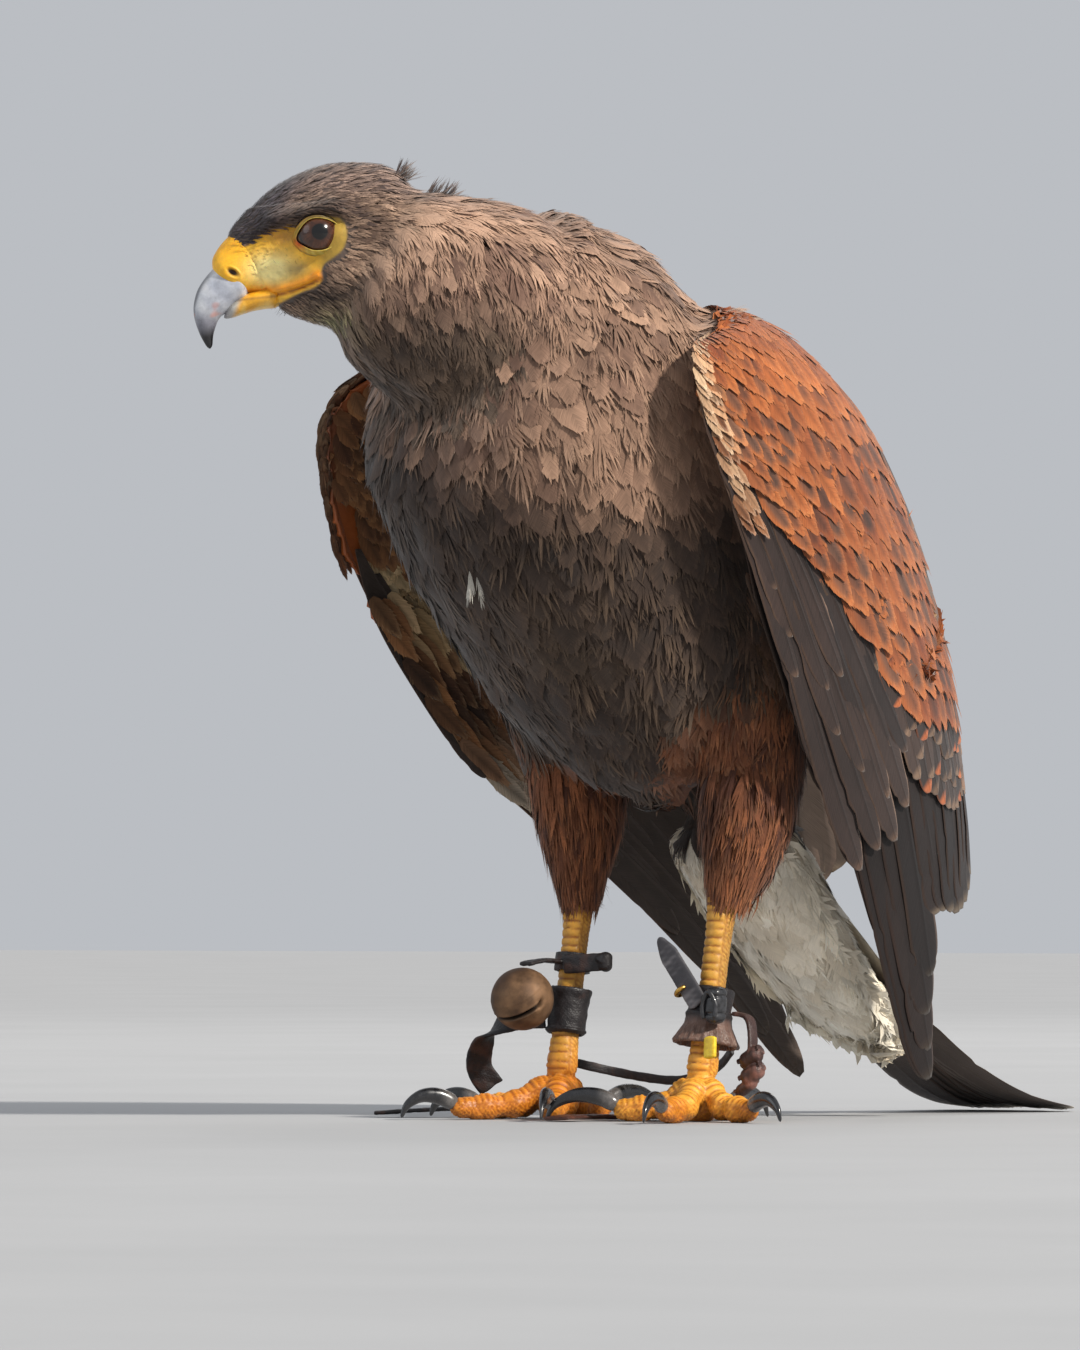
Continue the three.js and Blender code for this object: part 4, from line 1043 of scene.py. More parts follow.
# ------------------------------------------------------------------------------ wing places
def arm_lift(s, t):
    """Height of the outer side of the arm's solid over the wing's surface."""
    s1, q = np.clip(s, 0.02, 0.98), np.clip(t / 0.53, 0, 1)
    end = np.sqrt(np.maximum(0, 1 - np.abs(2 * q - 1) ** 7))
    return mix(6.5, 2.6, s1) * mix(1, 0.5, q) * (4 * s1 * (1 - s1)) ** 0.35 * end


wings = dict(left=Wing("left"), right=Wing("right"))
wing_grid = {}
for side, wg in wings.items():
    S, T = np.meshgrid(np.linspace(-0.04, 1.04, 45), np.linspace(0.0, 0.62, 70), indexing="ij")
    G = wg.at(S.ravel(), T.ravel())
    kd = KDTree(len(G))
    for i, p in enumerate(G):
        kd.insert(p, i)
    kd.balance()
    wing_grid[side] = (kd, S.ravel(), T.ravel(), G, wg.out(S.ravel(), T.ravel()))


def wing_place(side, P):
    """s, t and the height over the wing's surface of points near it."""
    kd, S, T, G, O = wing_grid[side]
    i = np.array([kd.find(p)[1] for p in P])
    return S[i], T[i], np.sum((P - G[i]) * O[i], 1)


# ------------------------------------------------------------------------------ the legs' skin
def toe_axis(side, key):
    """The middle line of a toe, as in its solid, with radii."""
    leg = FEET[side]
    reach = leg["toes"][key]
    fx, fy, _ = leg["foot"]
    w = unit(np.array([reach[0], reach[1], 0.0]))
    rise, L = TOE_R - FLAT, reach[2]
    st = [(0, 11, 1.0), (0.2, 9.5, 0.6), (0.30, 7.6, -0.5), (0.42, rise + 1.4, 0.5), (0.55, rise + 0.6, -0.9), (0.68, rise + 0.4, 0.4), (0.82, rise + 0.2, -0.8), (1, rise + 0.1, -0.6)]
    st = [(t, z, TOE_R + swell) for t, z, swell in st]
    return [([fx + w[0] * L * t, fy + w[1] * L * t, z], r, r) for t, z, r in st], w, L


leg_parts_v, leg_parts_f, leg_col, leg_groove = [], [], [], []
for side in ("left", "right"):
    leg = FEET[side]
    A, B = np.array(leg["ankle"], float), np.array(leg["foot"], float)
    lerp3 = lambda t: list(mix(A, B, t))
    bodies = [loft([(lerp3(-0.16), 5.0, 5.2), (lerp3(0.0), TARSUS_R + 0.9, TARSUS_R + 1.2), (lerp3(0.33), TARSUS_R - 0.3, TARSUS_R), (lerp3(0.66), TARSUS_R - 0.4, TARSUS_R), (lerp3(1.0), TARSUS_R + 1.2, TARSUS_R + 1)], nu=24, nv=30, cap=0.1, end=0.06)]
    axes = {}
    for key in leg["toes"]:
        st, w, L = toe_axis(side, key)
        axes[key] = (st, w, L)
        bodies.append(loft(st, nu=24, nv=34, side=np.cross(w, UP), cap=0.12, end=0.1))
        # pads under the toe's joints
        for tt in (0.42, 0.80):
            i = crom([x[0] for x in st], [tt])[0]
            bodies.append(loft([(list(i - w * 4 - UP * 1.6), 3.0, 2.6), (list(i - UP * 1.7), 3.9, 2.75), (list(i + w * 4 - UP * 1.6), 3.0, 2.6)], nu=16, nv=12, side=np.cross(w, UP), cap=0.4))
    fx, fy, _ = leg["foot"]
    bodies.append(loft([([fx, fy + 4, 7], 7, 7.5), ([fx, fy - 1, 7], 8.4, 8), ([fx, fy - 7, 6], 7.6, 6.6)], nu=24, nv=16, cap=0.3))
    V, Q = voxel([(b[0], to_tris(b[1], b[2])) for b in bodies], 0.72)
    E = edges_of(Q)
    V = smooth(V, E, 8)
    N = normals(V, Q)
    groove = np.zeros(len(V))
    best = np.full(len(V), 1e9)
    h = np.zeros(len(V))

    def scutes(P0, P1, pitch, top, wide, near, phase=0.0):
        """Plates along a bone from P0 to P1: wide over the side that top points to, small scales elsewhere."""
        d = P1 - P0
        L = np.linalg.norm(d)
        d = d / L
        u = (V - P0) @ d
        c = P0 + np.clip(u, 0, L)[:, None] * d
        r = np.linalg.norm(V - c, axis=1)
        face = N @ unit(top - (top @ d) * d)
        on = (r < best) & (u > -3) & (u < L + 4)
        x = u / pitch + phase + 0.10 * np.sin(u * 0.9)
        g = np.exp(-((np.abs(x - np.round(x)) * pitch / 0.38) ** 2))
        plate = sstep(face, wide, wide + 0.25)
        ang = np.arctan2(np.cross(np.broadcast_to(d, V.shape), np.broadcast_to(top, V.shape)) @ UP * 0 + (N @ np.cross(d, top)), face)
        # small round scales: two rows of crossing grooves
        s1 = u / 1.7 + ang * 2.2
        s2 = u / 1.7 - ang * 2.2
        small = np.maximum(np.exp(-((np.abs(s1 - np.round(s1)) / 0.16) ** 2)), np.exp(-((np.abs(s2 - np.round(s2)) / 0.16) ** 2)))
        edge = np.exp(-(((face - wide) / 0.07) ** 2))
        total = np.maximum(g * plate, np.maximum(small * (1 - plate) * 0.75, edge * 0.7))
        k = on & near(V)
        groove[k] = total[k]
        h[k] = (0.50 * (1 - total) + 0.12 * plate)[k] - 0.36
        best[k] = r[k]

    front = np.array([0, -1.0, 0.0])
    scutes(B + (0, 0, -2), A, 2.9, front, 0.35, lambda q: q[:, 2] > 9)
    for key, (st, w, L) in axes.items():
        pts = crom([x[0] for x in st], np.linspace(0, 1, 9))
        s0 = 0.0
        for i in range(8):
            seg = np.linalg.norm(pts[i + 1] - pts[i])
            scutes(pts[i], pts[i + 1], 2.05, UP, 0.28, lambda q: q[:, 2] < 15.5, s0 / 2.05)
            s0 += seg
    V = V + N * h[:, None]
    V[:, 2] = np.maximum(V[:, 2], 0.12)
    z = V[:, 2]
    tone = wob(V, 0.16, 31)
    c = mix(srgb(214, 132, 34), srgb(240, 172, 62), sstep(tone, -0.6, 0.9)[:, None])
    tars = sstep(z, 16, 40)[:, None]
    c = mix(c, mix(srgb(198, 152, 62), srgb(152, 128, 78), sstep(tone + N[:, 1] * 0.5, -0.5, 0.9)[:, None]), tars * 0.75)
    c = mix(c, srgb(226, 158, 46), sstep(z, 62, 78)[:, None] * 0.6)
    # Painted shade: the toes' undersides near the floor are darkened.
    c = mix(c, srgb(150, 92, 36), sstep(-N[:, 2], 0.2, 0.9)[:, None] * (z < 8)[:, None] * 0.5)
    c = c * (1 - 0.72 * groove[:, None] * np.array([0.75, 1.0, 1.15]))
    leg_parts_v.append(V)
    leg_parts_f.append(to_tris(np.zeros((0, 3), int), Q))
    leg_col.append(c)
    leg_groove.append(groove)
print("legs", [len(v) for v in leg_parts_v])

# ------------------------------------------------------------------------------ the eyelids
lid_v, lid_f, lid_c = [], [], []


def skin_side(f, v, sign):
    """How far out the skin of the face is, in the head's w, at places of the side view."""
    out = np.zeros(len(f))
    for i in range(len(f)):
        hit = tree.ray_cast(Vector(in_head(f[i], v[i], sign * 60.0)), Vector(-LEFT * sign))
        out[i] = 20.5 if hit[0] is None else abs((np.array(hit[0]) - HEAD_AT) @ LEFT)
    return out


for sign in (1, -1):
    m, rows = 120, 22
    th = np.linspace(0, 2 * math.pi, m, endpoint=False)
    ct, st_ = np.cos(th), np.sin(th)
    # The opening is a little pointed at the front corner and flatter above; the outer edge meets the brow.
    ax_i = np.where(ct > 0, 5.9 + 0.9 * np.clip(ct, 0, 1) ** 6, 7.5)
    ay_i = np.where(st_ > 0, 5.2, 5.4)
    ax_o = np.where(ct > 0, 7.3 + 1.1 * np.clip(ct, 0, 1) ** 6, 10.4)
    ay_o = np.where(st_ > 0, 6.4, 7.7)
    q = np.linspace(0, 1, rows)[:, None]
    fx = 13.4 + ct * (ax_i + (ax_o - ax_i) * q)
    vx = -1.2 + st_ * (ay_i + (ay_o - ay_i) * q) - 1.2 * np.clip(ct, 0, 1) ** 5 + 0.8 * np.clip(-ct, 0, 1) ** 3
    dx, dy = fx - EYE_IN_HEAD[0], vx - EYE_IN_HEAD[1]
    ball = EYE_IN_HEAD[2] + np.sqrt(np.maximum(0.5, (EYE_R + 0.22) ** 2 - dx**2 - dy**2))
    outer = skin_side(fx[-1], vx[-1], sign) - 0.8
    wv = mix(ball, np.broadcast_to(outer, ball.shape), sstep(q, 0.08, 0.9))
    wv = np.maximum(wv, ball - 0.1 * (q < 0.05))
    wv = wv + 0.75 * np.exp(-(((q - 0.18) / 0.15) ** 2)) + 0.25 * np.exp(-(((q - 0.55) / 0.12) ** 2))
    wv = wv + 0.10 * np.sin(q * 34 + 1.4 * np.sin(th * 5)[None]) * sstep(q, 0.15, 0.3) * (1 - sstep(q, 0.8, 1))
    wv[0] = ball[0] - 0.4
    V = in_head(fx.ravel(), vx.ravel(), (wv * sign).ravel())
    i, j = np.meshgrid(np.arange(rows - 1), np.arange(m), indexing="ij")
    j2 = (j + 1) % m
    Q = np.stack([i * m + j, i * m + j2, (i + 1) * m + j2, (i + 1) * m + j], -1).reshape(-1, 4)
    if sign < 0:
        Q = Q[:, ::-1]
    c = np.broadcast_to(srgb(184, 158, 62), (rows, m, 3)).copy()
    c = mix(c, srgb(214, 192, 104), (0.5 * np.sin(th * 9 + 3 * q) ** 2)[..., None])
    corner = np.exp(-(((np.mod(th + math.pi, 2 * math.pi) - math.pi + 0.42) / 0.42) ** 2))
    c = mix(c, srgb(206, 74, 26), (corner[None] * (1 - 0.4 * q))[..., None])
    c = mix(c, srgb(44, 30, 26), ((1 - sstep(q, 0.02, 0.10)) * 0.95 * np.ones_like(th))[..., None])
    c = mix(c, srgb(112, 88, 60), (sstep(q, 0.70, 1.0) * 0.75 * np.ones_like(th))[..., None])
    # Painted shade: a darker arc along the ring's lower outer edge, and the brow's shadow over the upper lid.
    c = mix(c, srgb(96, 74, 52), (np.exp(-(((q - 0.80) / 0.07) ** 2)) * np.clip(-st_, 0, 1)[None] * 0.6)[..., None])
    c = mix(c, srgb(92, 74, 44), (np.clip(st_ * 1.3, 0, 1)[None] * 0.85 * sstep(q, 0.1, 0.4))[..., None])
    c = mix(c, srgb(228, 168, 40), (np.clip(ct, 0, 1)[None] ** 2 * 0.5 * sstep(q, 0.3, 0.8))[..., None])
    lid_v.append(V)
    lid_f.append(to_tris(np.zeros((0, 3), int), Q))
    lid_c.append(c.reshape(-1, 3))

# ------------------------------------------------------------------------------ one skin object
bare = bare_of(skin_v) * np.where(skin_w[:, HEAD] > 0.5, 1, 0) - np.where(skin_w[:, HEAD] > 0.5, 0, 50)
fs = face_skin(skin_v)
# Painted shade: under the feathers the skin takes the plumage's ground colour at 0.55, so that the gaps between
# feathers look dark.
skin_col = mix(skin_c * 0.55, fs, sstep(bare, -0.4, 0.5)[:, None])
more_v, more_f = leg_parts_v + lid_v, leg_parts_f + lid_f
all_v = np.vstack([skin_v] + more_v)
all_f = np.vstack([skin_f] + [f + len(skin_v) + sum(len(v) for v in more_v[:i]) for i, f in enumerate(more_f)])
all_c = np.vstack([skin_col] + leg_col + lid_c)

skin_m, nt, bs = material("skin", 0.5, 0.45, Subsurface_Weight=0.12, Subsurface_Scale=0.002)
bs.inputs["Subsurface Radius"].default_value = (1.0, 0.45, 0.2)
tc = nt.nodes.new("ShaderNodeTexCoord").outputs["Object"]
pores = node(nt, "ShaderNodeTexVoronoi", Scale=2400.0, feature="DISTANCE_TO_EDGE")
nt.links.new(tc, pores.inputs["Vector"])
pore = grey(nt, pores.outputs["Distance"], 0.0, 1.0, 0.0, 0.25)
blot = noise(nt, 260.0, 4.0, 0.6, tc)
col = times(nt, attribute(nt), grey(nt, blot, 0.80, 1.16, 0.3, 0.7))
col = times(nt, col, grey(nt, pores.outputs["Distance"], 0.93, 1.0, 0.0, 0.2))
nt.links.new(col, bs.inputs["Base Color"])
nt.links.new(grey(nt, blot, 0.38, 0.62, 0.3, 0.7), bs.inputs["Roughness"])
bump(nt, bs, pore, 0.16, 0.0001)

skin = mesh_object("skin", all_v, all_f, None, all_c, mats=[skin_m])
bpy.context.view_layer.objects.active = skin
skin.select_set(True)
bpy.ops.object.mode_set(mode="EDIT")
bpy.ops.mesh.select_all(action="SELECT")
bpy.ops.uv.smart_project(angle_limit=1.15, island_margin=0.002)
bpy.ops.object.mode_set(mode="OBJECT")
skin.select_set(False)
skin.data.uv_layers[0].name = "OFBake"
uv = np.zeros(len(skin.data.loops) * 2, np.float32)
skin.data.uv_layers["OFBake"].data.foreach_get("uv", uv)
uv = uv.reshape(-1, 3, 2)
n_tri = len(skin_f)
same = len(skin.data.polygons) == len(all_f)
root_uv = uv[:n_tri].mean(1) if same else np.zeros((n_tri, 2)) + 0.5
print("unwrap", same, len(skin.data.polygons), len(all_f))
piece(skin, "skin_yellow", FLESH + ["tarsus_left", "tarsus_right", "foot_left", "foot_right"])

# ------------------------------------------------------------------------------ coat materials
body_m = feather_material("plumage body", 0.78, 0.72, 1.22, 1.0, 0.10, 0.5, 0.25, 0.2)
head_m = feather_material("plumage head", 0.80, 0.70, 1.25, 1.0, 0.14, 0.5, 0.25, 0.2)
rufous_m = feather_material("plumage rufous", 0.74, 0.74, 1.22, 1.0, 0.10, 0.5, 0.2, 0.22)
flight_m = feather_material("plumage flight", 0.60, 0.80, 1.16, 1.0, 0.08, 0.55, 0.08, 0.24)
white_m = feather_material("plumage white", 0.82, 0.88, 1.08, 1.0, 0.10, 0.4, 0.3, 0.15)

def pieces_of(n, parts, seed):
    """Splits n feathers at random into as many groups as there are templates."""
    return np.random.default_rng(seed).integers(0, parts, n)


# ------------------------------------------------------------------------------ head and neck coat
coat_head = Coat("coat_head", "plumage_head", head_m)
coat_neck = Coat("coat_neck", "plumage_head", head_m)
HEAD_T = [fluff(3, 0.75, 0.42, 0.0, 2), fluff(4, 0.9, 0.34, 0.0, 2), fluff(3, 1.0, 0.38, 0.0, 2)]
NECK_T = [vane(fringe=18, reach=1.16), fluff(11, 1.0, 0.15, 0.0, 3), fluff(13, 1.0, 0.12, 0.0, 3)]

f, v, w = head_of(skin_v)
r_eye = np.hypot(f - 13.0, v + 1.1) + np.where(np.abs(w) > 8, 0, 50)
pit = (r_eye < np.where(v > 0, 7.0, 8.2)) & (np.abs(w) > 10)
head_pick = ((skin_w[:, HEAD] > 0.35) & (bare < 0.1 + 0.7 * wob(skin_v, 1.3, 19)) & ~pit).astype(float)
head_gap = np.where(f > 16, 0.80, np.where(f > 4, 0.92, 0.92 + 0.024 * np.clip(4 - f, 0, 40)))
P, idx, w3 = scatter(head_pick, head_gap, 90000, 11)
f, v, w = head_of(P)
n = len(P)
print("head feathers", n)
r = np.random.default_rng(12)
L = np.interp(f, [-30, -10, 6, 20, 34, 42], [11.5, 8.5, 6.0, 4.6, 3.4, 2.2]) * r.uniform(0.8, 1.25, n)
L = np.where((v < -14) & (f > 10), L * 0.8, L)
low = np.interp(f, [-30, 0, 25, 40], [0.5, 0.25, 0.12, 0.08])
high = np.interp(f, [-30, -5, 15, 30, 42], [2.6, 1.7, 1.15, 0.8, 0.45]) * r.uniform(0.65, 1.25, n)
near_lid = np.exp(-((np.hypot(f - 12.6, (v + 1.1) * 1.15) - 8.8) / 3.0) ** 2) * (np.abs(w) > 8)
L = L * (1 - 0.45 * near_lid)
high = high * (1 - 0.55 * near_lid)
W = L * np.interp(f, [-30, 0, 40], [0.20, 0.17, 0.17])
C, M = trace(P, idx, L, 3, 1.0, r.normal(0, 0.13, n))
ran = r.random(n) ** 1.0
ground = head_colour(P, ran)
bake = root_uv[idx]
which = pieces_of(n, 3, 13)
for k, T in enumerate(HEAD_T):
    g = which == k
    Pv, F, t, a, q, vu = dress(C[g], M[g], W[g], T, low[g], high[g], 0.12, 0.8, 0.12, 20 + k)
    shade = mix(0.62, 1.10, np.clip(t, 0, 1) ** 0.8)[..., None]
    col = ground[g][:, None, :] * shade
    col = mix(col, mix(ground[g], TAN, 0.75)[:, None, :], (sstep(t, 0.66, 1.0) * 0.42 * np.where(f[g] < 24, 1.0, 0.3)[:, None])[..., None])
    coat_head.add(Pv, F, col, vu, bake[g], t, a)

neck_pick = ((skin_w[:, NECK] > 0.40) & (skin_w[:, HEAD] < 0.6)).astype(float)
P, idx, w3 = scatter(neck_pick, np.full(len(skin_v), 2.15), 40000, 31)
n = len(P)
print("neck feathers", n)
r = np.random.default_rng(32)
N = unit(sample(skin_n, idx, w3))
hw = sample(skin_w, idx, w3)
L = mix(14.5, 10.5, hw[:, HEAD]) * r.uniform(0.8, 1.25, n)
W = L * 0.27
C, M = trace(P, idx, L, 4, 1.0, r.normal(0, 0.17, n) + 0.22 * wob(P, 0.12, 33))
ruff = np.clip(wob(P, 0.10, 34), 0, 1)
low, high = 0.5, (2.5 + 1.2 * ruff) * r.uniform(0.75, 1.15, n)
ran = np.clip(0.5 + 0.42 * wob(P, 0.14, 35) + r.normal(0, 0.22, n), 0, 1)
ground = mix(neck_colour(P, N, ran), head_colour(P, ran), (hw[:, HEAD] * sstep(P[:, 2], 268, 290))[:, None])
which = pieces_of(n, 3, 36)
which[r.random(n) < 0.7] = 1
for k, T in enumerate(NECK_T):
    g = which == k
    loosely = k > 0
    Pv, F, t, a, q, vu = dress(C[g], M[g], W[g], T, low, high[g], 0.16, 0.8 if loosely else 0.4, 0.22 if loosely else 0.14, 40 + k, curl=r.normal(-0.05, 0.16, g.sum()))
    shade = mix(0.74, 1.10, np.clip(t, 0, 1) ** 0.9)[..., None]
    tip = sstep(t, 0.72, 1.0)[..., None] * 0.28
    col = mix(ground[g][:, None, :] * shade, mix(ground[g], TAN, 0.5)[:, None, :], tip)
    coat_neck.add(Pv, F, col, vu, root_uv[idx[g]], t, a)

# ------------------------------------------------------------------------------ trunk coat
coat_back = Coat("coat_trunk", "plumage_dark", body_m)
TRUNK_T = [vane(fringe=22, reach=1.05), vane(fringe=24, reach=1.06), vane(fringe=22, reach=1.05, full=0.56)]
SOFT_T = [fluff(13, 1.0, 0.10, 0.0, 3), fluff(15, 1.1, 0.085, 0.0, 3)]
z = skin_v[:, 2]
trunk_pick = (skin_w[:, TRUNK] > 0.30).astype(float)
trunk_gap = np.interp(z, [90, 150, 220, 280], [3.3, 3.9, 3.9, 3.1])
P, idx, w3 = scatter(trunk_pick, trunk_gap, 60000, 51)
n = len(P)
print("trunk feathers", n)
r = np.random.default_rng(52)
N = unit(sample(skin_n, idx, w3))
back = sstep(N[:, 1], -0.1, 0.5)
L = np.interp(P[:, 2], [90, 112, 150, 220, 285], [15, 18, 24, 20, 15]) * mix(1.0, 1.18, back) * r.uniform(0.82, 1.2, n)
W = L * mix(0.345, 0.34, back)
C, M = trace(P, idx, L, 4, 1.0, r.normal(0, 0.13, n) + 0.12 * wob(P, 0.06, 53))
ran = np.clip(0.5 + 0.26 * wob(P, 0.10, 54) + r.normal(0, 0.20, n), 0, 0.86)
ground = trunk_colour(P, N, ran)
soft = r.random(n) < np.interp(P[:, 2], [90, 150, 200, 262, 285], [0.8, 0.55, 0.42, 0.42, 0.6]) * mix(1.0, 0.4, back)
low, high = 0.5, 2.9 * r.uniform(0.7, 1.15, n)
edge_c = mix(mix(ground, srgb(120, 98, 76), 0.55), mix(ground, srgb(196, 164, 138), 0.45), sstep(ground.mean(1), 0.06, 0.16)[:, None])
which = pieces_of(n, 3, 56)
for k, T in enumerate(TRUNK_T):
    g = (which == k) & ~soft
    Pv, F, t, a, q, vu = dress(C[g], M[g], W[g], T, low, high[g], 0.18, 0.25, 0.07, 60 + k, curl=r.normal(0.05, 0.18, g.sum()))
    shade = mix(0.76, 1.06, np.clip(t, 0, 1))[..., None]
    shaft = (1 - 0.22 * np.exp(-((a / 0.16) ** 2)) * sstep(t, 0.1, 0.4))[..., None]
    rim = np.maximum(sstep(q, 0.3, 1.0), 0.55 * sstep(np.abs(a) + 0.6 * sstep(t, 0.7, 1.0), 0.8, 1.3))[..., None]
    col = mix(ground[g][:, None, :] * shade * shaft, edge_c[g][:, None, :], rim * mix(0.32, 0.6, back[g])[:, None, None])
    coat_back.add(Pv, F, col, vu, root_uv[idx[g]], t, a)
for k, T in enumerate(SOFT_T):
    g = (which % 2 == k) & soft
    Pv, F, t, a, q, vu = dress(C[g], M[g], W[g], T, low, high[g] * 1.08, 0.14, 1.0, 0.4, 70 + k, curl=r.normal(0.1, 0.3, g.sum()))
    shade = mix(0.6, 1.05, np.clip(t, 0, 1))[..., None]
    col = mix(ground[g][:, None, :] * shade, edge_c[g][:, None, :], (sstep(t, 0.6, 1.0) * 0.6)[..., None])
    coat_back.add(Pv, F, col, vu, root_uv[idx[g]], t, a)

# ------------------------------------------------------------------------------ trousers
coat_thigh = Coat("coat_thighs", "plumage_rufous", rufous_m)
THIGH_T = [fluff(5, 0.9, 0.24, 0.0, 3), fluff(6, 1.0, 0.2, 0.0, 3)]
thigh_pick = ((skin_w[:, THIGH_L] + skin_w[:, THIGH_R] > 0.35) & (skin_v[:, 2] > 94)).astype(float)
P, idx, w3 = scatter(thigh_pick, np.full(len(skin_v), 1.75), 60000, 81)
n = len(P)
print("thigh feathers", n)
r = np.random.default_rng(82)
N = unit(sample(skin_n, idx, w3))
z = P[:, 2]
L = np.interp(z, [74, 90, 110, 130, 170], [17, 24, 23, 20, 20]) * r.uniform(0.75, 1.2, n)
W = np.interp(z, [80, 130, 170], [1.7, 2.4, 3.6])
hem = sstep(-z, -112, -88)
cling = (1 - 0.8 * hem)[:, None]
C, M = trace(P, idx, L, 4, cling, r.normal(0, 0.16, n) + 0.15 * wob(P, 0.09, 83))
low, high = 0.4, np.interp(z, [78, 95, 130], [1.6, 2.8, 3.3]) * r.uniform(0.6, 1.2, n)
ran = np.clip(0.5 + 0.30 * wob(P, 0.10, 84) + r.normal(0, 0.27, n), 0, 1)
ground = thigh_colour(P, N, ran)
which = pieces_of(n, 2, 85)
for k, T in enumerate(THIGH_T):
    g = which == k
    Pv, F, t, a, q, vu = dress(C[g], M[g], W[g], T, low, high[g], 0.10, 0.9, 0.3, 90 + k, curl=r.normal(0.0, 0.2, g.sum()))
    shade = mix(0.60, 1.08, np.clip(t, 0, 1))[..., None]
    col = mix(ground[g][:, None, :] * shade, srgb(190, 140, 96) + 0 * ground[g][:, None, :], (sstep(t, 0.75, 1.05) * 0.22)[..., None])
    coat_thigh.add(Pv, F, col, vu, root_uv[idx[g]], t, a)

# The hem closes round the top of each tarsus: rings of feathers that hang down and taper to it.
HEM = dict(
    left=dict(z=[64, 72, 84, 98, 112, 124], x=[31.9, 32, 33, 34, 34.5, 35], y=[11.6, 13.2, 17.2, 21.5, 23, 24], w=[5.4, 6.4, 10.6, 15.0, 17, 18.5], a=[5.8, 7.0, 12.6, 18.2, 20.5, 22]),
    right=dict(z=[64, 72, 84, 98, 112, 124], x=[-31.8, -32, -32.5, -33, -34, -35], y=[9.0, 10, 11, 12, 12, 12], w=[5.4, 6.2, 9.8, 14.0, 16.4, 18.5], a=[5.8, 6.8, 11.0, 16.4, 19.4, 22]),
)
for leg_k, hem_of in enumerate(HEM.values()):
    r = np.random.default_rng(96 + leg_k)
    z0, th = [], []
    for ring, zr in enumerate(np.linspace(81, 126, 16)):
        size = np.interp(zr, hem_of["z"], hem_of["w"])
        m = int(6.283 * size / 2.1)
        z0.append(zr + r.normal(0, 1.3, m))
        th.append((np.arange(m) + 0.5 * (ring % 2) + r.normal(0, 0.15, m)) / m * 2 * math.pi)
    z0, th = np.concatenate(z0), np.concatenate(th)
    n = len(z0)
    L = np.minimum(r.uniform(14, 22, n), z0 - r.uniform(67.5, 72.5, n))
    u = np.linspace(0, 1, 5)
    Z = z0[:, None] - L[:, None] * u[None]
    shape = {key: np.interp(Z, hem_of["z"], hem_of[key]) for key in ("x", "y", "w", "a")}
    grow = (1 + 0.10 * wob(np.stack([np.cos(th) * 20, np.sin(th) * 20, z0], 1), 0.12, 97))[:, None] * mix(0.80, 1.0, u)[None] + 0.03 * r.normal(0, 1, n)[:, None]
    th2 = th[:, None] + 0.25 * r.normal(0, 1, n)[:, None] * u[None] * 0.5
    C = np.stack([shape["x"] + np.cos(th2) * shape["w"] * grow, shape["y"] + np.sin(th2) * shape["a"] * grow, Z], -1)
    M = unit(np.stack([np.cos(th2) / shape["w"], np.sin(th2) / shape["a"], 0 * Z + 0.01], -1))
    ran = np.clip(0.5 + 0.30 * wob(C[:, 0], 0.10, 84) + r.normal(0, 0.27, n), 0, 1)
    ground = thigh_colour(C[:, 0], M[:, 0], ran)
    bake = root_uv[nearest(C[:, 0])[1]]
    which = pieces_of(n, 2, 98)
    for k, T in enumerate(THIGH_T):
        g = which == k
        Pv, F, t, a, q, vu = dress(C[g], M[g], np.full(g.sum(), 2.1), T, 0.1, 0.4, 0.10, 0.7, 0.14, 99 + k, curl=r.normal(-0.05, 0.08, g.sum()))
        shade = mix(0.62, 1.08, np.clip(t, 0, 1))[..., None]
        col = mix(ground[g][:, None, :] * shade, srgb(190, 140, 96) + 0 * ground[g][:, None, :], (sstep(t, 0.75, 1.05) * 0.22)[..., None])
        coat_thigh.add(Pv, F, col, vu, bake[g], t, a)

# ------------------------------------------------------------------------------ undertail
coat_under = Coat("coat_undertail", "plumage_white", white_m)
UNDER_T = [vane(fringe=20, reach=1.12, full=0.56), fluff(17, 1.0, 0.085, 0.0, 3)]
under_pick = (skin_w[:, UNDER] > 0.35).astype(float)
P, idx, w3 = scatter(under_pick, np.full(len(skin_v), 3.3), 30000, 101)
n = len(P)
print("undertail feathers", n)
r = np.random.default_rng(102)
N = unit(sample(skin_n, idx, w3))
L = np.interp(P[:, 1], [30, 80, 140], [25, 30, 26]) * r.uniform(0.8, 1.2, n)
W = L * 0.25
C, M = trace(P, idx, L, 4, np.full((n, 1), 0.85), r.normal(0, 0.16, n))
low, high = 0.5, 3.0 * r.uniform(0.6, 1.15, n)
ran = np.clip(0.55 + 0.25 * wob(P, 0.10, 104) + r.normal(0, 0.25, n), 0, 1)
ground = under_colour(P, N, ran)
which = pieces_of(n, 2, 105)
for k, T in enumerate(UNDER_T):
    g = which == k
    Pv, F, t, a, q, vu = dress(C[g], M[g], W[g], T, low, high[g], 0.14, 0.7, 0.2, 110 + k, curl=r.normal(0.0, 0.12, g.sum()))
    shade = mix(0.84, 1.04, np.clip(t, 0, 1))[..., None]
    coat_under.add(Pv, F, ground[g][:, None, :] * shade, vu, root_uv[idx[g]], t, a)

# ------------------------------------------------------------------------------ wings: the small coverts
ARMS = dict(left=ARM_L, right=ARM_R)
COVERT_T = [vane((0, 0.2, 0.42, 0.62, 0.78, 0.89, 0.96), 6, 22, 1.03, 0.56), vane((0, 0.2, 0.42, 0.62, 0.78, 0.89, 0.96), 6, 24, 1.04, 0.6), vane((0, 0.2, 0.42, 0.62, 0.78, 0.89, 0.96), 6, 20, 1.02, 0.5)]


def orange_limit(s):
    return np.interp(s, [0, 0.04, 0.12, 0.21, 0.28, 0.35, 0.45, 0.67, 1], [0.16, 0.20, 0.30, 0.37, 0.445, 0.51, 0.555, 0.60, 0.61])


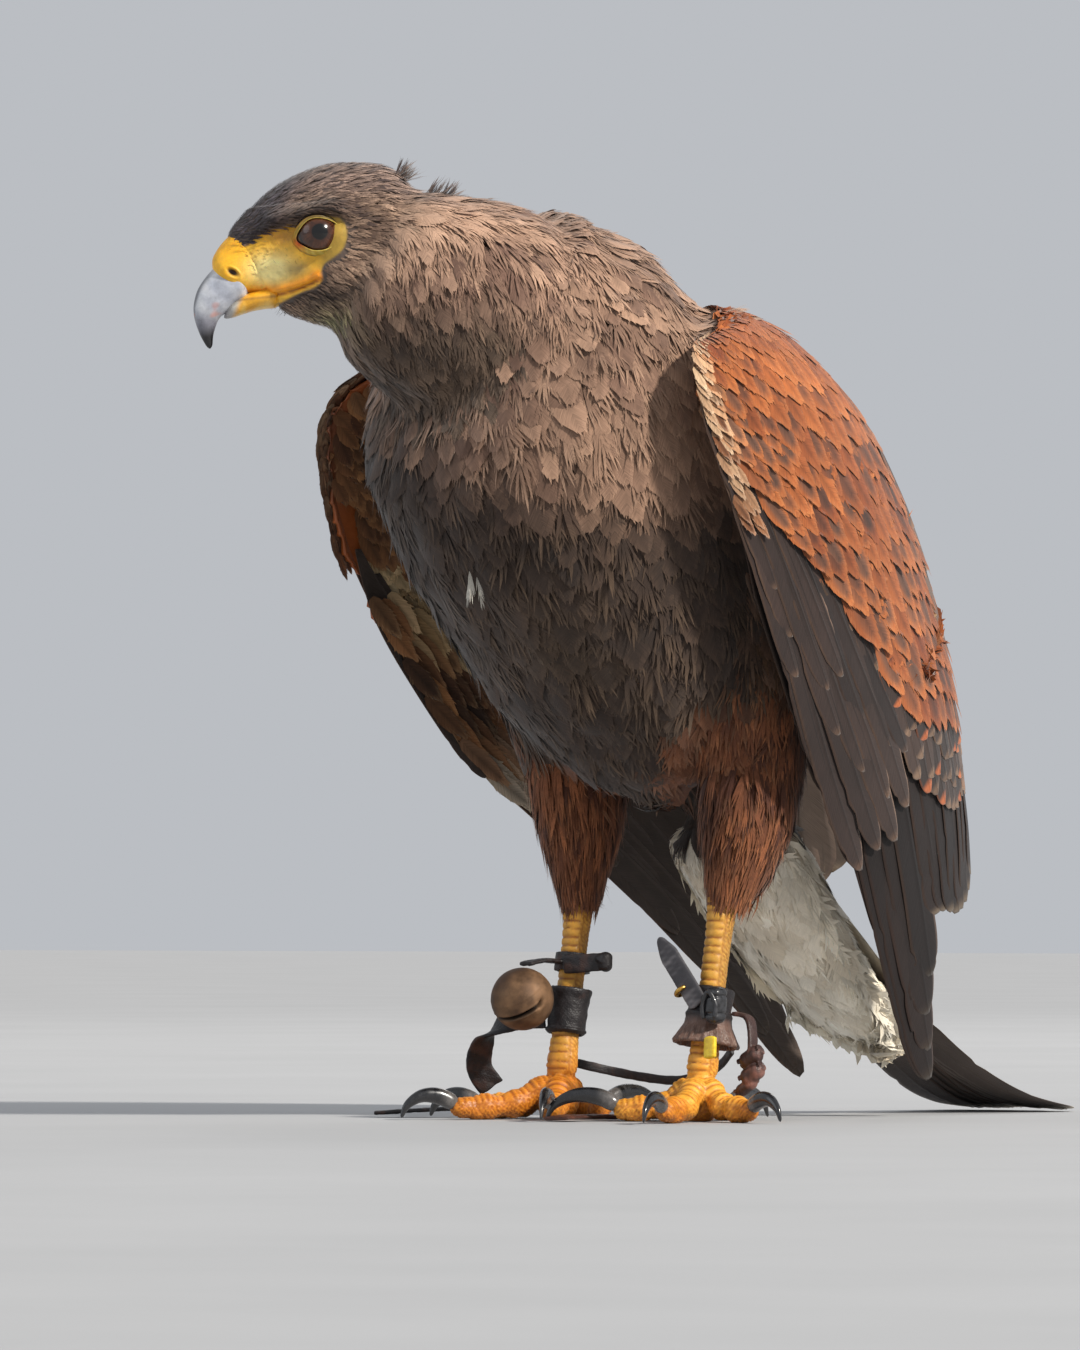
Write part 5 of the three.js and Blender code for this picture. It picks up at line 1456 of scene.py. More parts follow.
def covert_colours(t, a, q, orange, core, edge, dark, base=0.62):
    """A covert's own marking: a dark centre inside an orange rim, with a thin pale edge. The orange darkens towards the
    root by the factor base, as painted shade under the overlapping coverts.
    """
    m = np.abs(a) / np.maximum(outline(np.clip(t, 0, 0.97), 0.5), 0.15)
    heart = (1 - sstep(m + 1.6 * np.maximum(t - 0.80, 0), 0.36, 0.70)) * (1 - sstep(t, 0.90, 0.985)) * sstep(t, 0.05, 0.3)
    c = mix(orange[:, None, :] * mix(base, 1.06, np.clip(t, 0, 1))[..., None], core[:, None, :], (heart * dark[:, None])[..., None])
    c = c * (1 - 0.35 * np.exp(-((a / 0.07) ** 2)) * sstep(t, 0.1, 0.3) * (t < 0.9))[..., None]
    return mix(c, edge[:, None, :], (np.maximum(sstep(q, 0.2, 1.0), sstep(t + 0.25 * m, 0.98, 1.12)) * 0.34)[..., None])


coat_wing = {}
for side in ("left", "right"):
    wg = wings[side]
    coat = coat_wing[side] = Coat("coat_wing_" + side, "plumage_rufous", rufous_m)
    K = ARMS[side]
    # The whole arm gets short feathers from its own skin: orange outside, buff at the front edge, mottled inside.
    pick = (skin_w[:, K] > 0.30).astype(float)
    P, idx, w3 = scatter(pick, np.full(len(skin_v), 2.6), 30000, 121 + K)
    s, t0, h = wing_place(side, P)
    N = unit(sample(skin_n, idx, w3))
    O = wg.out(np.clip(s, 0, 1), np.clip(t0, 0, 1))
    outward = np.sum(N * O, 1)
    inside_from = 0.15 if wg.sign > 0 else 0.06
    keep = np.where(outward > 0.1, (t0 < orange_limit(s) - 0.07) & (t0 > 0.035) & (s < 0.93) & ((s < 0.86) | (t0 < 0.40)), (s < 0.82) & (t0 < 0.44) & (t0 > 0.035) & ((s > inside_from) | (t0 < 0.20)))
    P, idx, w3, s, t0, N, O = (x[keep] for x in (P, idx, w3, s, t0, N, O))
    n = len(P)
    r = np.random.default_rng(122 + K)
    outer = sstep(np.sum(N * O, 1), -0.25, 0.35)
    front = np.exp(-((np.maximum(s, 0) / 0.075) ** 2))
    inner = 1 - outer
    L = mix(14.5, 9.5, front) * r.uniform(0.85, 1.2, n)
    W = L * mix(0.34, 0.30, front)
    C, M = trace(P, idx, L, 3, 1.0, r.normal(0, 0.14, n))
    ran = np.clip(0.5 + r.normal(0, 0.26, n), 0, 1)
    orange, core, edge = wing_colour(s, t0, ran)
    flecked = (r.random(n) < 0.30)[:, None]
    buff = mix(mix(srgb(196, 150, 104), srgb(232, 206, 168), ran[:, None]), srgb(86, 56, 40), flecked * 0.75)
    buff = mix(buff, orange, (0.45 * (wob(P, 0.15, 18) > 0))[:, None])
    under = underwing_colour(P, s, t0, ran)
    edge_in = mix(under, srgb(214, 176, 124), 0.35)
    orange = mix(mix(orange, buff, front[:, None]), under, inner[:, None])
    core = mix(mix(core, buff * 0.5, front[:, None]), under * 0.5, inner[:, None])
    edge = mix(mix(edge, srgb(236, 214, 180), front[:, None]), edge_in, inner[:, None])
    print(side, "arm feathers", n)
    high = mix(2.0, 1.7, front) * r.uniform(0.7, 1.2, n)
    which = pieces_of(n, 3, 123 + K)
    for k, T in enumerate(COVERT_T):
        g = which == k
        Pv, F, t, a, q, vu = dress(C[g], M[g], W[g], T, 0.35, high[g], 0.14, 0.6, 0.12, 130 + k + 10 * K, curl=r.normal(0.02, 0.08, g.sum()))
        col = covert_colours(t, a, q, orange[g], core[g], edge[g], (0.35 + 0.5 * (r.random(g.sum()) < 0.4)) * np.where(front[g] > 0.4, 0.3, 1.0))
        coat.add(Pv, F, col, vu, root_uv[idx[g]], t, a)


def surface_path(side, s0, t0, s1, t1, l0, l1, k=6, over=0.7, power=1.0):
    """Paths on the folded wing's outer side from (s0, t0) to (s1, t1), kept above the arm."""
    wg = wings[side]
    n = len(s0)
    u = np.linspace(0, 1, k + 1)
    S = s0[:, None] + (s1 - s0)[:, None] * u
    T = t0[:, None] + (t1 - t0)[:, None] * u
    l0, l1 = (np.broadcast_to(x, n)[:, None] for x in (l0, l1))
    lift = l0 + (l1 - l0) * u[None, :] ** power
    fade = 1 - sstep(T, 0.50, 0.56)
    lift = np.where(T < 0.56, np.maximum(lift, (arm_lift(S, T) - 1.5 + np.broadcast_to(over, n)[:, None] * (0.5 + u[None, :])) * fade + lift * (1 - fade)), lift)
    P = wg.at(S.ravel(), T.ravel(), lift.ravel()).reshape(n, k + 1, 3)
    N = wg.out(S.ravel(), np.minimum(T.ravel(), 1)).reshape(n, k + 1, 3)
    eps = 0.01
    a = wg.at((S - eps).ravel(), T.ravel()).reshape(n, k + 1, 3)
    b = wg.at((S + eps).ravel(), T.ravel()).reshape(n, k + 1, 3)
    c = wg.at(S.ravel(), (T - eps).ravel()).reshape(n, k + 1, 3)
    d = wg.at(S.ravel(), (T + eps).ravel()).reshape(n, k + 1, 3)
    N2 = unit(np.cross(b - a, d - c))
    N2 = N2 * np.where(dot(N2, N) < 0, -1, 1)
    return P, N2


def root_bake(P):
    """The unwrap's place nearest to each root."""
    return root_uv[nearest(P)[1]]


LENGTH = 290.0  # mm along the wing per unit of t
for side in ("left", "right"):
    wg = wings[side]
    coat = coat_wing[side]
    r = np.random.default_rng(140 + wg.sign)
    R = []  # s tip, t tip, length, half-width, lift, lean, kind
    rows = 15
    for j in range(rows):
        d = ((j + 1) / rows) ** 1.12
        s = 0.035 + 0.02 * r.random()
        while s < 1.0:
            lim = float(orange_limit(np.array(s))) + 0.012 * math.sin(17 * s)
            tip = 0.05 + d * (lim - 0.05)
            sp = (lim - 0.03) * LENGTH / rows * 1.12 * d**0.12
            size = np.clip(3.2 * sp, 9, 30) * r.uniform(0.9, 1.1)
            half = size * 0.26
            if s < 0.80 + 1.2 * tip:
                R.append((s + r.normal(0, 0.004), tip + r.normal(0, 0.004), size, half, 1.0 + 1.0 * d, 0.10 + 0.16 * (1 - s), d))
            s += 1.10 * half / 128
    R = np.array(R)
    n = len(R)
    st, tt, L, W, up, lean, d = R.T
    t0 = np.maximum(tt - L / LENGTH, 0.004)
    L = (tt - t0) * LENGTH
    W = np.minimum(W, L * 0.5)
    s0 = st - lean * (tt - t0) * LENGTH / 128
    C, M = surface_path(side, s0, t0, st, tt, arm_lift(s0, t0) - 1.4, np.where(tt < 0.5, arm_lift(st, tt) - 1.5 + mix(1.2, 2.2, d), 2.4 + 0.6 * (1 - d)), 5, 1.0)
    ran = np.clip(0.5 + r.normal(0, 0.28, n), 0, 1)
    orange, core, edge = wing_colour(st, tt, ran)
    dark = np.clip(sstep(d, 0.10, 0.45) * (0.45 + 0.5 * r.random(n)) * (r.random(n) < np.interp(d, [0, 0.3, 0.6, 1], [0.12, 0.35, 0.62, 0.85])), 0, 1)
    strip = (1 - sstep(st, 0.035, 0.085)) * (1 - sstep(tt, 0.30, 0.38)) * (0.55 + 0.45 * r.random(n))
    dark = dark * (1 - strip)
    orange = mix(orange, mix(srgb(200, 146, 100), srgb(236, 206, 168), ran[:, None]), strip[:, None])
    back_s = sstep(st, 0.72, 0.98)
    brown = mix(srgb(104, 80, 66), srgb(150, 118, 96), ran[:, None])
    orange = mix(orange, brown, (back_s * 0.75 * (1 - sstep(tt, 0.2, 0.4) * 0.6))[:, None])
    bake = root_bake(C[:, 0])
    which = pieces_of(n, 3, 141)
    for k, T in enumerate(COVERT_T):
        g = which == k
        Pv, F, t, a, q, vu = dress(C[g], M[g], W[g], T, 0.2, 0.8 * r.uniform(0.7, 1.3, g.sum()), 0.10, 0.22, 0.04, 150 + k + wg.sign, curl=r.normal(0.0, 0.05, g.sum()))
        # base here is the painted shade at each covert's root, deeper in the later rows.
        col = covert_colours(t, a, q, orange[g], core[g], edge[g], dark[g], mix(0.86, 0.62, sstep(d[g], 0.25, 0.6))[:, None])
        coat.add(Pv, F, col, vu, bake[g], t, a)
    # Under coverts on the inner side, over the roots of the flight feathers.
    R = []
    for j, tip in enumerate(np.linspace(0.61, 0.38, 9)):
        for s in np.arange(0.03 + 0.016 * (j % 2), 0.60, 0.034):
            R.append((s + r.normal(0, 0.006), tip + r.normal(0, 0.008), 20 - 0.8 * j, 3.8, 3.2 + 0.35 * j))
    st, tt, L, W, deep = np.array(R).T
    n = len(R)
    u = np.linspace(0, 1, 6)
    T2 = (tt - L / LENGTH)[:, None] + (L / LENGTH)[:, None] * u
    S2 = (st - 0.02)[:, None] + 0.02 * u
    fade = 1 - sstep(T2, 0.50, 0.56)
    lift = -np.maximum(deep[:, None], (arm_lift(S2, T2) + 0.9) * fade) - 0.5 * u
    C = wg.at(S2.ravel(), T2.ravel(), lift.ravel()).reshape(n, 6, 3)
    M = -wg.out(S2.ravel(), T2.ravel()).reshape(n, 6, 3)
    ran = np.clip(0.5 + r.normal(0, 0.28, n), 0, 1)
    ground = underwing_colour(C[:, -1], st, tt, ran)
    bake = root_bake(C[:, 0])
    which = pieces_of(n, 3, 145)
    for k, T in enumerate(COVERT_T):
        g = which == k
        Pv, F, t, a, q, vu = dress(C[g], M[g], W[g], T, 0.1, 0.6, 0.12, 0.5, 0.1, 160 + k + wg.sign)
        col = covert_colours(t, a, q, ground[g], ground[g] * 0.5, mix(ground[g], srgb(226, 196, 150), 0.4), 0.7 * (ran[g] < 0.45))
        coat.add(Pv, F, col, vu, bake[g], t, a)

# ------------------------------------------------------------------------------ wings: long coverts and flight feathers
GRID_A = np.array([-1, -0.8, -0.5, -0.22, -0.06, 0.0, 0.06, 0.22, 0.5, 0.8, 1])


def blade_template(rows):
    u = np.linspace(0, 1, rows) ** 0.9
    u = np.concatenate([u[:-1], [0.93, 0.965, 0.985, 0.997]])
    u = np.unique(np.round(np.sort(u), 4))
    return u


def blades(C, M, W, lift, pointed, narrow, seed, rows=34, thick=0.30, camber=0.10, notch=0.5, droop=0.0):
    """Closed thin feathers with a raised shaft on the paths C, narrower on the side where a is negative."""
    r = np.random.default_rng(seed)
    n, K = C.shape[:2]
    u = blade_template(rows)
    m, c = len(u), len(GRID_A)
    x = np.clip(u, 0, 1) * (K - 1)
    i = np.minimum(x.astype(int), K - 2)
    w = (x - i)[None, :, None]
    Ce = np.concatenate([2 * C[:, :1] - C[:, 1:2], C, 2 * C[:, -1:] - C[:, -2:-1]], 1)
    p0, p1, p2, p3 = (Ce[:, i + j] for j in range(4))
    P = 0.5 * (2 * p1 + (p2 - p0) * w + (2 * p0 - 5 * p1 + 4 * p2 - p3) * w**2 + (3 * p1 - p0 - 3 * p2 + p3) * w**3)
    way = unit(np.gradient(P, axis=1))
    N = mix(M[:, i], M[:, i + 1], w)
    N = unit(N - dot(N, way) * way)
    S = np.cross(way, N)
    L = np.linalg.norm(np.diff(P, axis=1), axis=2).sum(1)[:, None]
    tipw = np.broadcast_to(pointed, n)[:, None]
    wide = np.minimum(1, 0.28 + u[None] * 3.2) * np.sqrt(np.clip(1 - (np.clip(u[None] - (1 - tipw), 0, 1) / tipw) ** 2.3, 0, 1))
    wide = np.maximum(wide, 0.03)
    a = np.broadcast_to(GRID_A[None, None], (n, m, c)).copy()
    side_w = np.where(a < 0, np.broadcast_to(narrow, n)[:, None, None], 1.0)
    edge = np.ones((n, m, 2))
    for e in range(2):
        k = r.integers(int(m * 0.35), m - 3, (n, 3))
        deep = r.uniform(0.0, 0.34, (n, 3)) * notch
        for z in range(3):
            edge[np.arange(n), k[:, z], e] -= deep[:, z]
    ef = np.where(a < 0, edge[..., :1], edge[..., 1:])
    ax = a * (1 - (1 - ef) * np.abs(a) ** 6)
    Wn = np.broadcast_to(W, n)[:, None, None]
    across = ax * side_w * wide[..., None] * Wn
    sweep = -0.0 + 0.35 * np.abs(across)  # margins fall back a little, as barbs point to the tip
    lf = np.broadcast_to(lift, n)[:, None, None]
    h = lf - camber * Wn * ax**2 + 0.42 * np.exp(-((a / 0.05) ** 2)) * (1 - u[None, :, None] * 0.8) + 0.05 * Wn * np.sin(u[None, :, None] * 9 + r.uniform(0, 6, (n, 1, 1))) * ax * 0.5
    th = thick * (0.35 + 0.65 * (1 - np.abs(a))) * np.ones_like(h)
    base = P[:, :, None] + S[:, :, None] * across[..., None] + way[:, :, None] * (sweep * (u[None, :, None] < 0.99) * (1 - sstep(u, 0.85, 1.0))[None, :, None])[..., None]
    top = base + N[:, :, None] * h[..., None]
    bot = base + N[:, :, None] * (h - th - 0.3 * np.exp(-((a / 0.05) ** 2)))[..., None]
    V = np.stack([top, bot], 1).reshape(n, 2 * m * c, 3)
    tris = []
    at = lambda l, i, j: l * m * c + i * c + j
    for i2 in range(m - 1):
        for j in range(c - 1):
            A, B, D, E2 = at(0, i2, j), at(0, i2, j + 1), at(0, i2 + 1, j + 1), at(0, i2 + 1, j)
            tris += [(A, B, D), (A, D, E2)]
            A, B, D, E2 = at(1, i2, j), at(1, i2, j + 1), at(1, i2 + 1, j + 1), at(1, i2 + 1, j)
            tris += [(A, D, B), (A, E2, D)]
        for j, flip in ((0, False), (c - 1, True)):
            A, B, D, E2 = at(0, i2, j), at(0, i2 + 1, j), at(1, i2 + 1, j), at(1, i2, j)
            tris += [(A, B, D), (A, D, E2)] if not flip else [(A, D, B), (A, E2, D)]
    for i2, flip in ((0, True), (m - 1, False)):
        for j in range(c - 1):
            A, B, D, E2 = at(0, i2, j), at(0, i2, j + 1), at(1, i2, j + 1), at(1, i2, j)
            tris += [(A, B, D), (A, D, E2)] if not flip else [(A, D, B), (A, E2, D)]
    F = (np.array(tris)[None] + (np.arange(n) * 2 * m * c)[:, None, None]).reshape(-1, 3)
    t = np.broadcast_to(u[None, None, :, None], (n, 2, m, c)).reshape(n, -1)
    aa = np.broadcast_to(a[:, None], (n, 2, m, c)).reshape(n, -1)
    ac = np.broadcast_to(across[:, None], (n, 2, m, c)).reshape(n, -1)
    under = np.broadcast_to(np.array([0.0, 1.0])[None, :, None, None], (n, 2, m, c)).reshape(n, -1)
    vu = (t * L - 1.0 * np.abs(ac)) * 1.5 + r.uniform(0, 50, (n, 1))
    vv = ac * 1.5 + r.uniform(0, 50, (n, 1))
    return V, F, t, aa, under, np.stack([vu, vv], -1)


def blade_colours(t, a, under, body, rim, tip=None, tip_at=0.9, shaft=0.6, bars=0.0, seed=0):
    r = np.random.default_rng(seed)
    n = len(t)
    c = body[:, None, :] * mix(0.80, 1.06, t)[..., None]
    if bars:
        c = c * (1 - bars * (np.sin(t * 60 + r.uniform(0, 6, (n, 1))) > 0.3) * (np.abs(a) < 0.9))[..., None]
    c = mix(c, rim[:, None, :], (sstep(np.abs(a), 0.82, 1.0) * np.where(a < 0, 0.9, 0.35))[..., None])
    if tip is not None:
        c = mix(c, tip[:, None, :], sstep(t, tip_at, tip_at + 0.05)[..., None])
    c = c * (1 - (1 - shaft) * np.exp(-((a / 0.05) ** 2)))[..., None]
    return mix(c, np.broadcast_to(srgb(128, 112, 100), c.shape), (under * 0.25)[..., None])


PRIMARY_TIPS = dict(
    left=[(0.03, 0.60), (0.04, 0.69), (0.13, 0.70), (0.06, 0.80), (0.06, 0.87), (0.04, 0.925), (0.0, 0.97), (0.05, 0.975), (0.13, 0.945), (0.19, 0.905), (0.27, 0.865)],
    right=[(-0.01, 0.55), (0.06, 0.62), (0.10, 0.70), (0.06, 0.80), (0.06, 0.87), (0.07, 0.93), (0.08, 0.975), (0.13, 0.985), (0.2, 0.955), (0.27, 0.92), (0.34, 0.88)],
)
SECONDARY_TIPS = [(0.42, 0.80), (0.50, 0.805), (0.58, 0.815), (0.66, 0.825), (0.74, 0.828), (0.82, 0.828), (0.90, 0.822), (0.98, 0.812)]


def cell_bake(n, t, a, base, count):
    """Each long feather gets its own cell of the unwrap."""
    i = base + np.arange(n)
    cols = int(math.ceil(math.sqrt(count)))
    x, y = i % cols, i // cols
    u = (x[:, None] + 0.08 + 0.84 * (a * 0.5 + 0.5)) / cols
    v = (y[:, None] + 0.04 + 0.92 * np.clip(t, 0, 1)) / cols
    return np.stack([u, v], -1)


class Blades(Coat):
    def put(self, V, F, t, a, under, uv, col):
        self.parts.append((V, F, col, uv, t, a, under))

    def build(self):
        count = sum(len(p[0]) for p in self.parts)
        n, base = 0, 0
        Vs, Fs, cs, us, bs2 = [], [], [], [], []
        for V, F, col, uv, t, a, under in self.parts:
            k = len(V)
            b = cell_bake(k, t, a * 0.48 + (under - 0.5) * 1.0, base, count)
            base += k
            Vs.append(V.reshape(-1, 3))
            Fs.append(F + n)
            n += V.shape[0] * V.shape[1]
            cs.append(np.clip(col, 0, 4).reshape(-1, 3))
            us.append(uv.reshape(-1, 2))
            bs2.append(b.reshape(-1, 2))
        V = np.vstack(Vs)
        V[:, 2] = np.maximum(V[:, 2], 0.12)
        o = mesh_object(self.name, V, np.vstack(Fs), None, np.vstack(cs), dict(vane=np.vstack(us), OFBake=np.vstack(bs2)), mats=[self.mat])
        print(o.name, len(o.data.polygons))
        piece(o, self.slot, self.nodes)
        return [o]


for side in ("left", "right"):
    wg = wings[side]
    r = np.random.default_rng(170 + wg.sign)
    fl = Blades("flight_feathers_" + side, "plumage_flight", flight_m, (f"wing_{side}_quills", f"wing_{side}_short"))
    tips = np.array(PRIMARY_TIPS[side] + SECONDARY_TIPS)
    n = len(tips)
    k = np.arange(n) / (n - 1)
    s0 = np.interp(k, [0, 0.5, 1], [0.04, 0.26, 0.93])
    t0 = np.interp(k, [0, 0.12, 0.5, 1], [0.27, 0.34, 0.40, 0.30])
    lift = np.interp(k, [0, 1], [-2.6, 1.3])
    W = np.interp(k, [0, 0.1, 0.35, 0.55, 1], [7.0, 7.5, 8.2, 10.0, 11.5])
    C, M = surface_path(side, s0, t0, tips[:, 0], tips[:, 1], lift - 0.5, lift, 9, -9.0)
    V, F, t, a, under, uv = blades(C, M, W, 0.0, np.interp(k, [0, 0.5, 1], [0.16, 0.14, 0.10]), np.interp(k, [0, 0.6, 1], [0.62, 0.8, 0.95]), 171 + wg.sign, rows=38, camber=0.05)
    body = mix(srgb(19, 13, 13), srgb(34, 24, 21), r.random((n, 1)))
    rim = mix(body, mix(srgb(112, 82, 68), srgb(148, 116, 94), r.random((n, 1))), 0.42)
    tip = mix(body, srgb(196, 170, 140), np.where(k > 0.6, 0.5, 0.1)[:, None])
    fl.put(V, F, t, a, under, uv, blade_colours(t, a, under, body, rim, tip, 0.965, 0.55, 0.07, 172))

    cv = Blades("great_coverts_" + side, "plumage_rufous", rufous_m)
    # Greater coverts in two rows, grey-brown with orange tips.
    rows = []
    for extra, size, up in ((0.095, 48, 1.7), (0.06, 40, 2.0), (0.025, 34, 2.4)):
        s = 0.16 + 0.55 * extra
        while s < 1.02:
            tip_t = float(orange_limit(np.array(min(s, 1.0)))) + extra + r.normal(0, 0.005)
            rows.append((s, tip_t, size * r.uniform(0.9, 1.1), 6.4, up, extra))
            s += 0.056
    st, tt, L, W, up, extra = np.array(rows).T
    n = len(st)
    t0 = tt - L / LENGTH
    s0 = st - 0.10 * (tt - t0) * LENGTH / 128
    C, M = surface_path(side, s0, t0, st, tt, arm_lift(s0, t0) - 0.8, up, 7, 0.5)
    V, F, t, a, under, uv = blades(C, M, W, 0.0, 0.36, 0.85, 180 + wg.sign, rows=18, camber=0.07)
    ran = r.random((n, 1))
    body = mix(srgb(36, 26, 23), srgb(64, 47, 40), ran)
    some = (r.random((n, 1)) < np.where(extra[:, None] < 0.05, 0.55, 0.16)) * 1.0
    rim = mix(mix(srgb(140, 108, 84), srgb(176, 142, 114), ran), srgb(186, 104, 58), some)
    tip = mix(mix(body, rim, 0.45), mix(srgb(176, 90, 46), srgb(204, 120, 66), ran), some * 0.8)
    fl2 = blade_colours(t, a, under, body, rim, tip, 0.90, 0.55, 0.0, 181)
    cv.put(V, F, t, a, under, uv, fl2)
    # The alula and the primary coverts along the front edge.
    # Pale marginal coverts line the front edge.
    n = 46
    te = np.linspace(0.05, 0.30, n) + r.normal(0, 0.004, n)
    se = 0.006 + 0.020 * (np.arange(n) % 2) + r.normal(0, 0.006, n)
    C, M = surface_path(side, se, np.maximum(te - 0.030, 0.004), se + 0.006, te, arm_lift(se, te) - 1.2, arm_lift(se, te) - 0.3, 5, 1.5)
    ran = np.clip(0.5 + r.normal(0, 0.28, n), 0, 1)
    pale = mix(srgb(140, 88, 54), srgb(222, 190, 152), ran[:, None] * sstep(-te, -0.33, -0.16)[:, None])
    Pv, F, t, a, q, vu = dress(C, M, np.full(n, 2.0), COVERT_T[0], 0.2, 0.7 * r.uniform(0.7, 1.3, n), 0.2, 0.4, 0.08, 166 + wg.sign)
    coat_wing[side].add(Pv, F, covert_colours(t, a, q, pale, pale * 0.45, mix(pale, WHITE, 0.5), 0.8 * (ran < 0.35)), vu, root_bake(C[:, 0]), t, a)
    al = [(0.04, 0.36, 0.0, 0.69), (0.08, 0.36, 0.09, 0.675), (0.12, 0.37, 0.18, 0.675), (0.18, 0.34, 0.28, 0.645), (0.03, 0.30, 0.0, 0.585), (0.13, 0.33, 0.19, 0.625), (0.20, 0.33, 0.33, 0.585), (0.09, 0.29, 0.12, 0.585), (0.18, 0.32, 0.25, 0.57), (0.06, 0.25, 0.07, 0.535), (0.13, 0.28, 0.17, 0.53), (0.03, 0.20, 0.0, 0.455), (0.06, 0.22, 0.08, 0.48), (0.10, 0.24, 0.14, 0.47), (0.03, 0.15, 0.02, 0.41), (0.03, 0.12, 0.02, 0.355)]
    s0, t0, st, tt = np.array(al).T
    if wg.sign < 0:
        s0, st = s0 + 0.03, st + 0.05
    n = len(st)
    C, M = surface_path(side, s0, t0, st, tt, arm_lift(s0, t0) - 0.7, np.where(st < 0.05, 0.4, 1.6) + 0.05 * np.arange(n), 8, 0.55 + 0.04 * np.arange(n))
    V, F, t, a, under, uv = blades(C, M, np.interp(np.arange(n), [0, n - 1], [7.0, 5.4]), 0.0, 0.32, 0.75, 190 + wg.sign, rows=20, camber=0.06)
    ran = r.random((n, 1))
    body = mix(srgb(34, 24, 22), srgb(60, 44, 38), ran)
    rim = mix(srgb(104, 76, 60), srgb(158, 124, 98), ran)
    cv.put(V, F, t, a, under, uv, blade_colours(t, a, under, body, rim, mix(body, rim, 0.5), 0.95, 0.5, 0.0, 191))
    # Tertials and long shoulder feathers over the wing's back edge.
    te = [(0.93, 0.10, 0.90, 0.36), (0.98, 0.12, 0.97, 0.42), (0.90, 0.20, 0.88, 0.50), (0.97, 0.22, 0.955, 0.56), (0.99, 0.30, 0.975, 0.66), (0.93, 0.32, 0.91, 0.70)]
    s0, t0, st, tt = np.array(te).T
    n = len(st)
    C, M = surface_path(side, s0, t0, st, tt, arm_lift(s0, t0) - 0.4, np.interp(tt, [0.3, 0.7], [3.2, 2.0]), 8, 0.9)
    V, F, t, a, under, uv = blades(C, M, 11.0, 0.0, 0.22, 0.9, 195 + wg.sign, rows=26, camber=0.08)
    ran = r.random((n, 1))
    body = mix(srgb(74, 56, 48), srgb(110, 86, 72), ran)
    rim = mix(srgb(150, 106, 74), srgb(186, 140, 104), ran)
    cv.put(V, F, t, a, under, uv, blade_colours(t, a, under, body, rim, mix(body, rim, 0.6), 0.93, 0.55, 0.0, 196))

# ------------------------------------------------------------------------------ tail
tail_out = lambda T: unit(np.cross(np.array([1.0, 0, 0]), crom_way(TAIL, np.minimum(T, 0.999))))


def tail_at(S, T, lift=0.0):
    k = 2 * S - 1
    half = mix(13.0, 27.0, np.minimum(1, T * 1.15))
    O = tail_out(T)
    O = O * np.where(O[:, 2:] < 0, -1, 1)
    over = np.maximum(T - 1, 0)[:, None] * np.array([0, 190.0, 0])
    return crom(TAIL, np.minimum(T, 1)) + over + np.stack([k * half, 0 * k, 0 * k], 1) + O * ((1 - T) * 5 * (1 - k * k) + lift)[:, None], O


tail_coat = Blades("tail_feathers", "plumage_flight", flight_m, ("tail",))
r = np.random.default_rng(201)
order = np.array([0.5 + (0.5 - (i + 0.5) / 12) for i in range(12)])
sides = np.abs(order - 0.5)
for s_tip in [order]:
    n = len(s_tip)
    u = np.linspace(0, 1, 11)
    tips_t = 1.0 - 0.035 * (2 * s_tip - 1) ** 2 + r.normal(0, 0.004, n)
    S = 0.5 + (s_tip - 0.5)[:, None] * mix(0.45, 0.86, u)[None]
    T = 0.05 + (tips_t - 0.05)[:, None] * u[None]
    lift = (0.2 + 1.5 * (1 - 2 * np.abs(s_tip - 0.5)))[:, None] * mix(0.6, 1.0, u)[None] * np.interp(T, [0.75, 0.92, 1.0], [1.0, 0.8, 0.7])
    Pp, Oo = tail_at(S.ravel(), T.ravel(), lift.ravel())
    C, M = Pp.reshape(n, 11, 3), Oo.reshape(n, 11, 3)
    V, F, t, a, under, uv = blades(C, M, 9.0, 0.0, 0.10, 0.92, 202, rows=40, camber=0.03)
    ran = r.random((n, 1))
    body = mix(srgb(36, 27, 25), srgb(58, 45, 40), ran)
    rim = mix(body, srgb(128, 106, 88), 0.5)
    col = blade_colours(t, a, under, body, rim, np.broadcast_to(srgb(232, 224, 208), (n, 3)), 0.925, 0.7, 0.05, 203)
    col = mix(col, WHITE * 0.95, ((1 - sstep(t, 0.22, 0.33)) * 0.95)[..., None])
    tail_coat.put(V, F, t, a, under, uv, col)

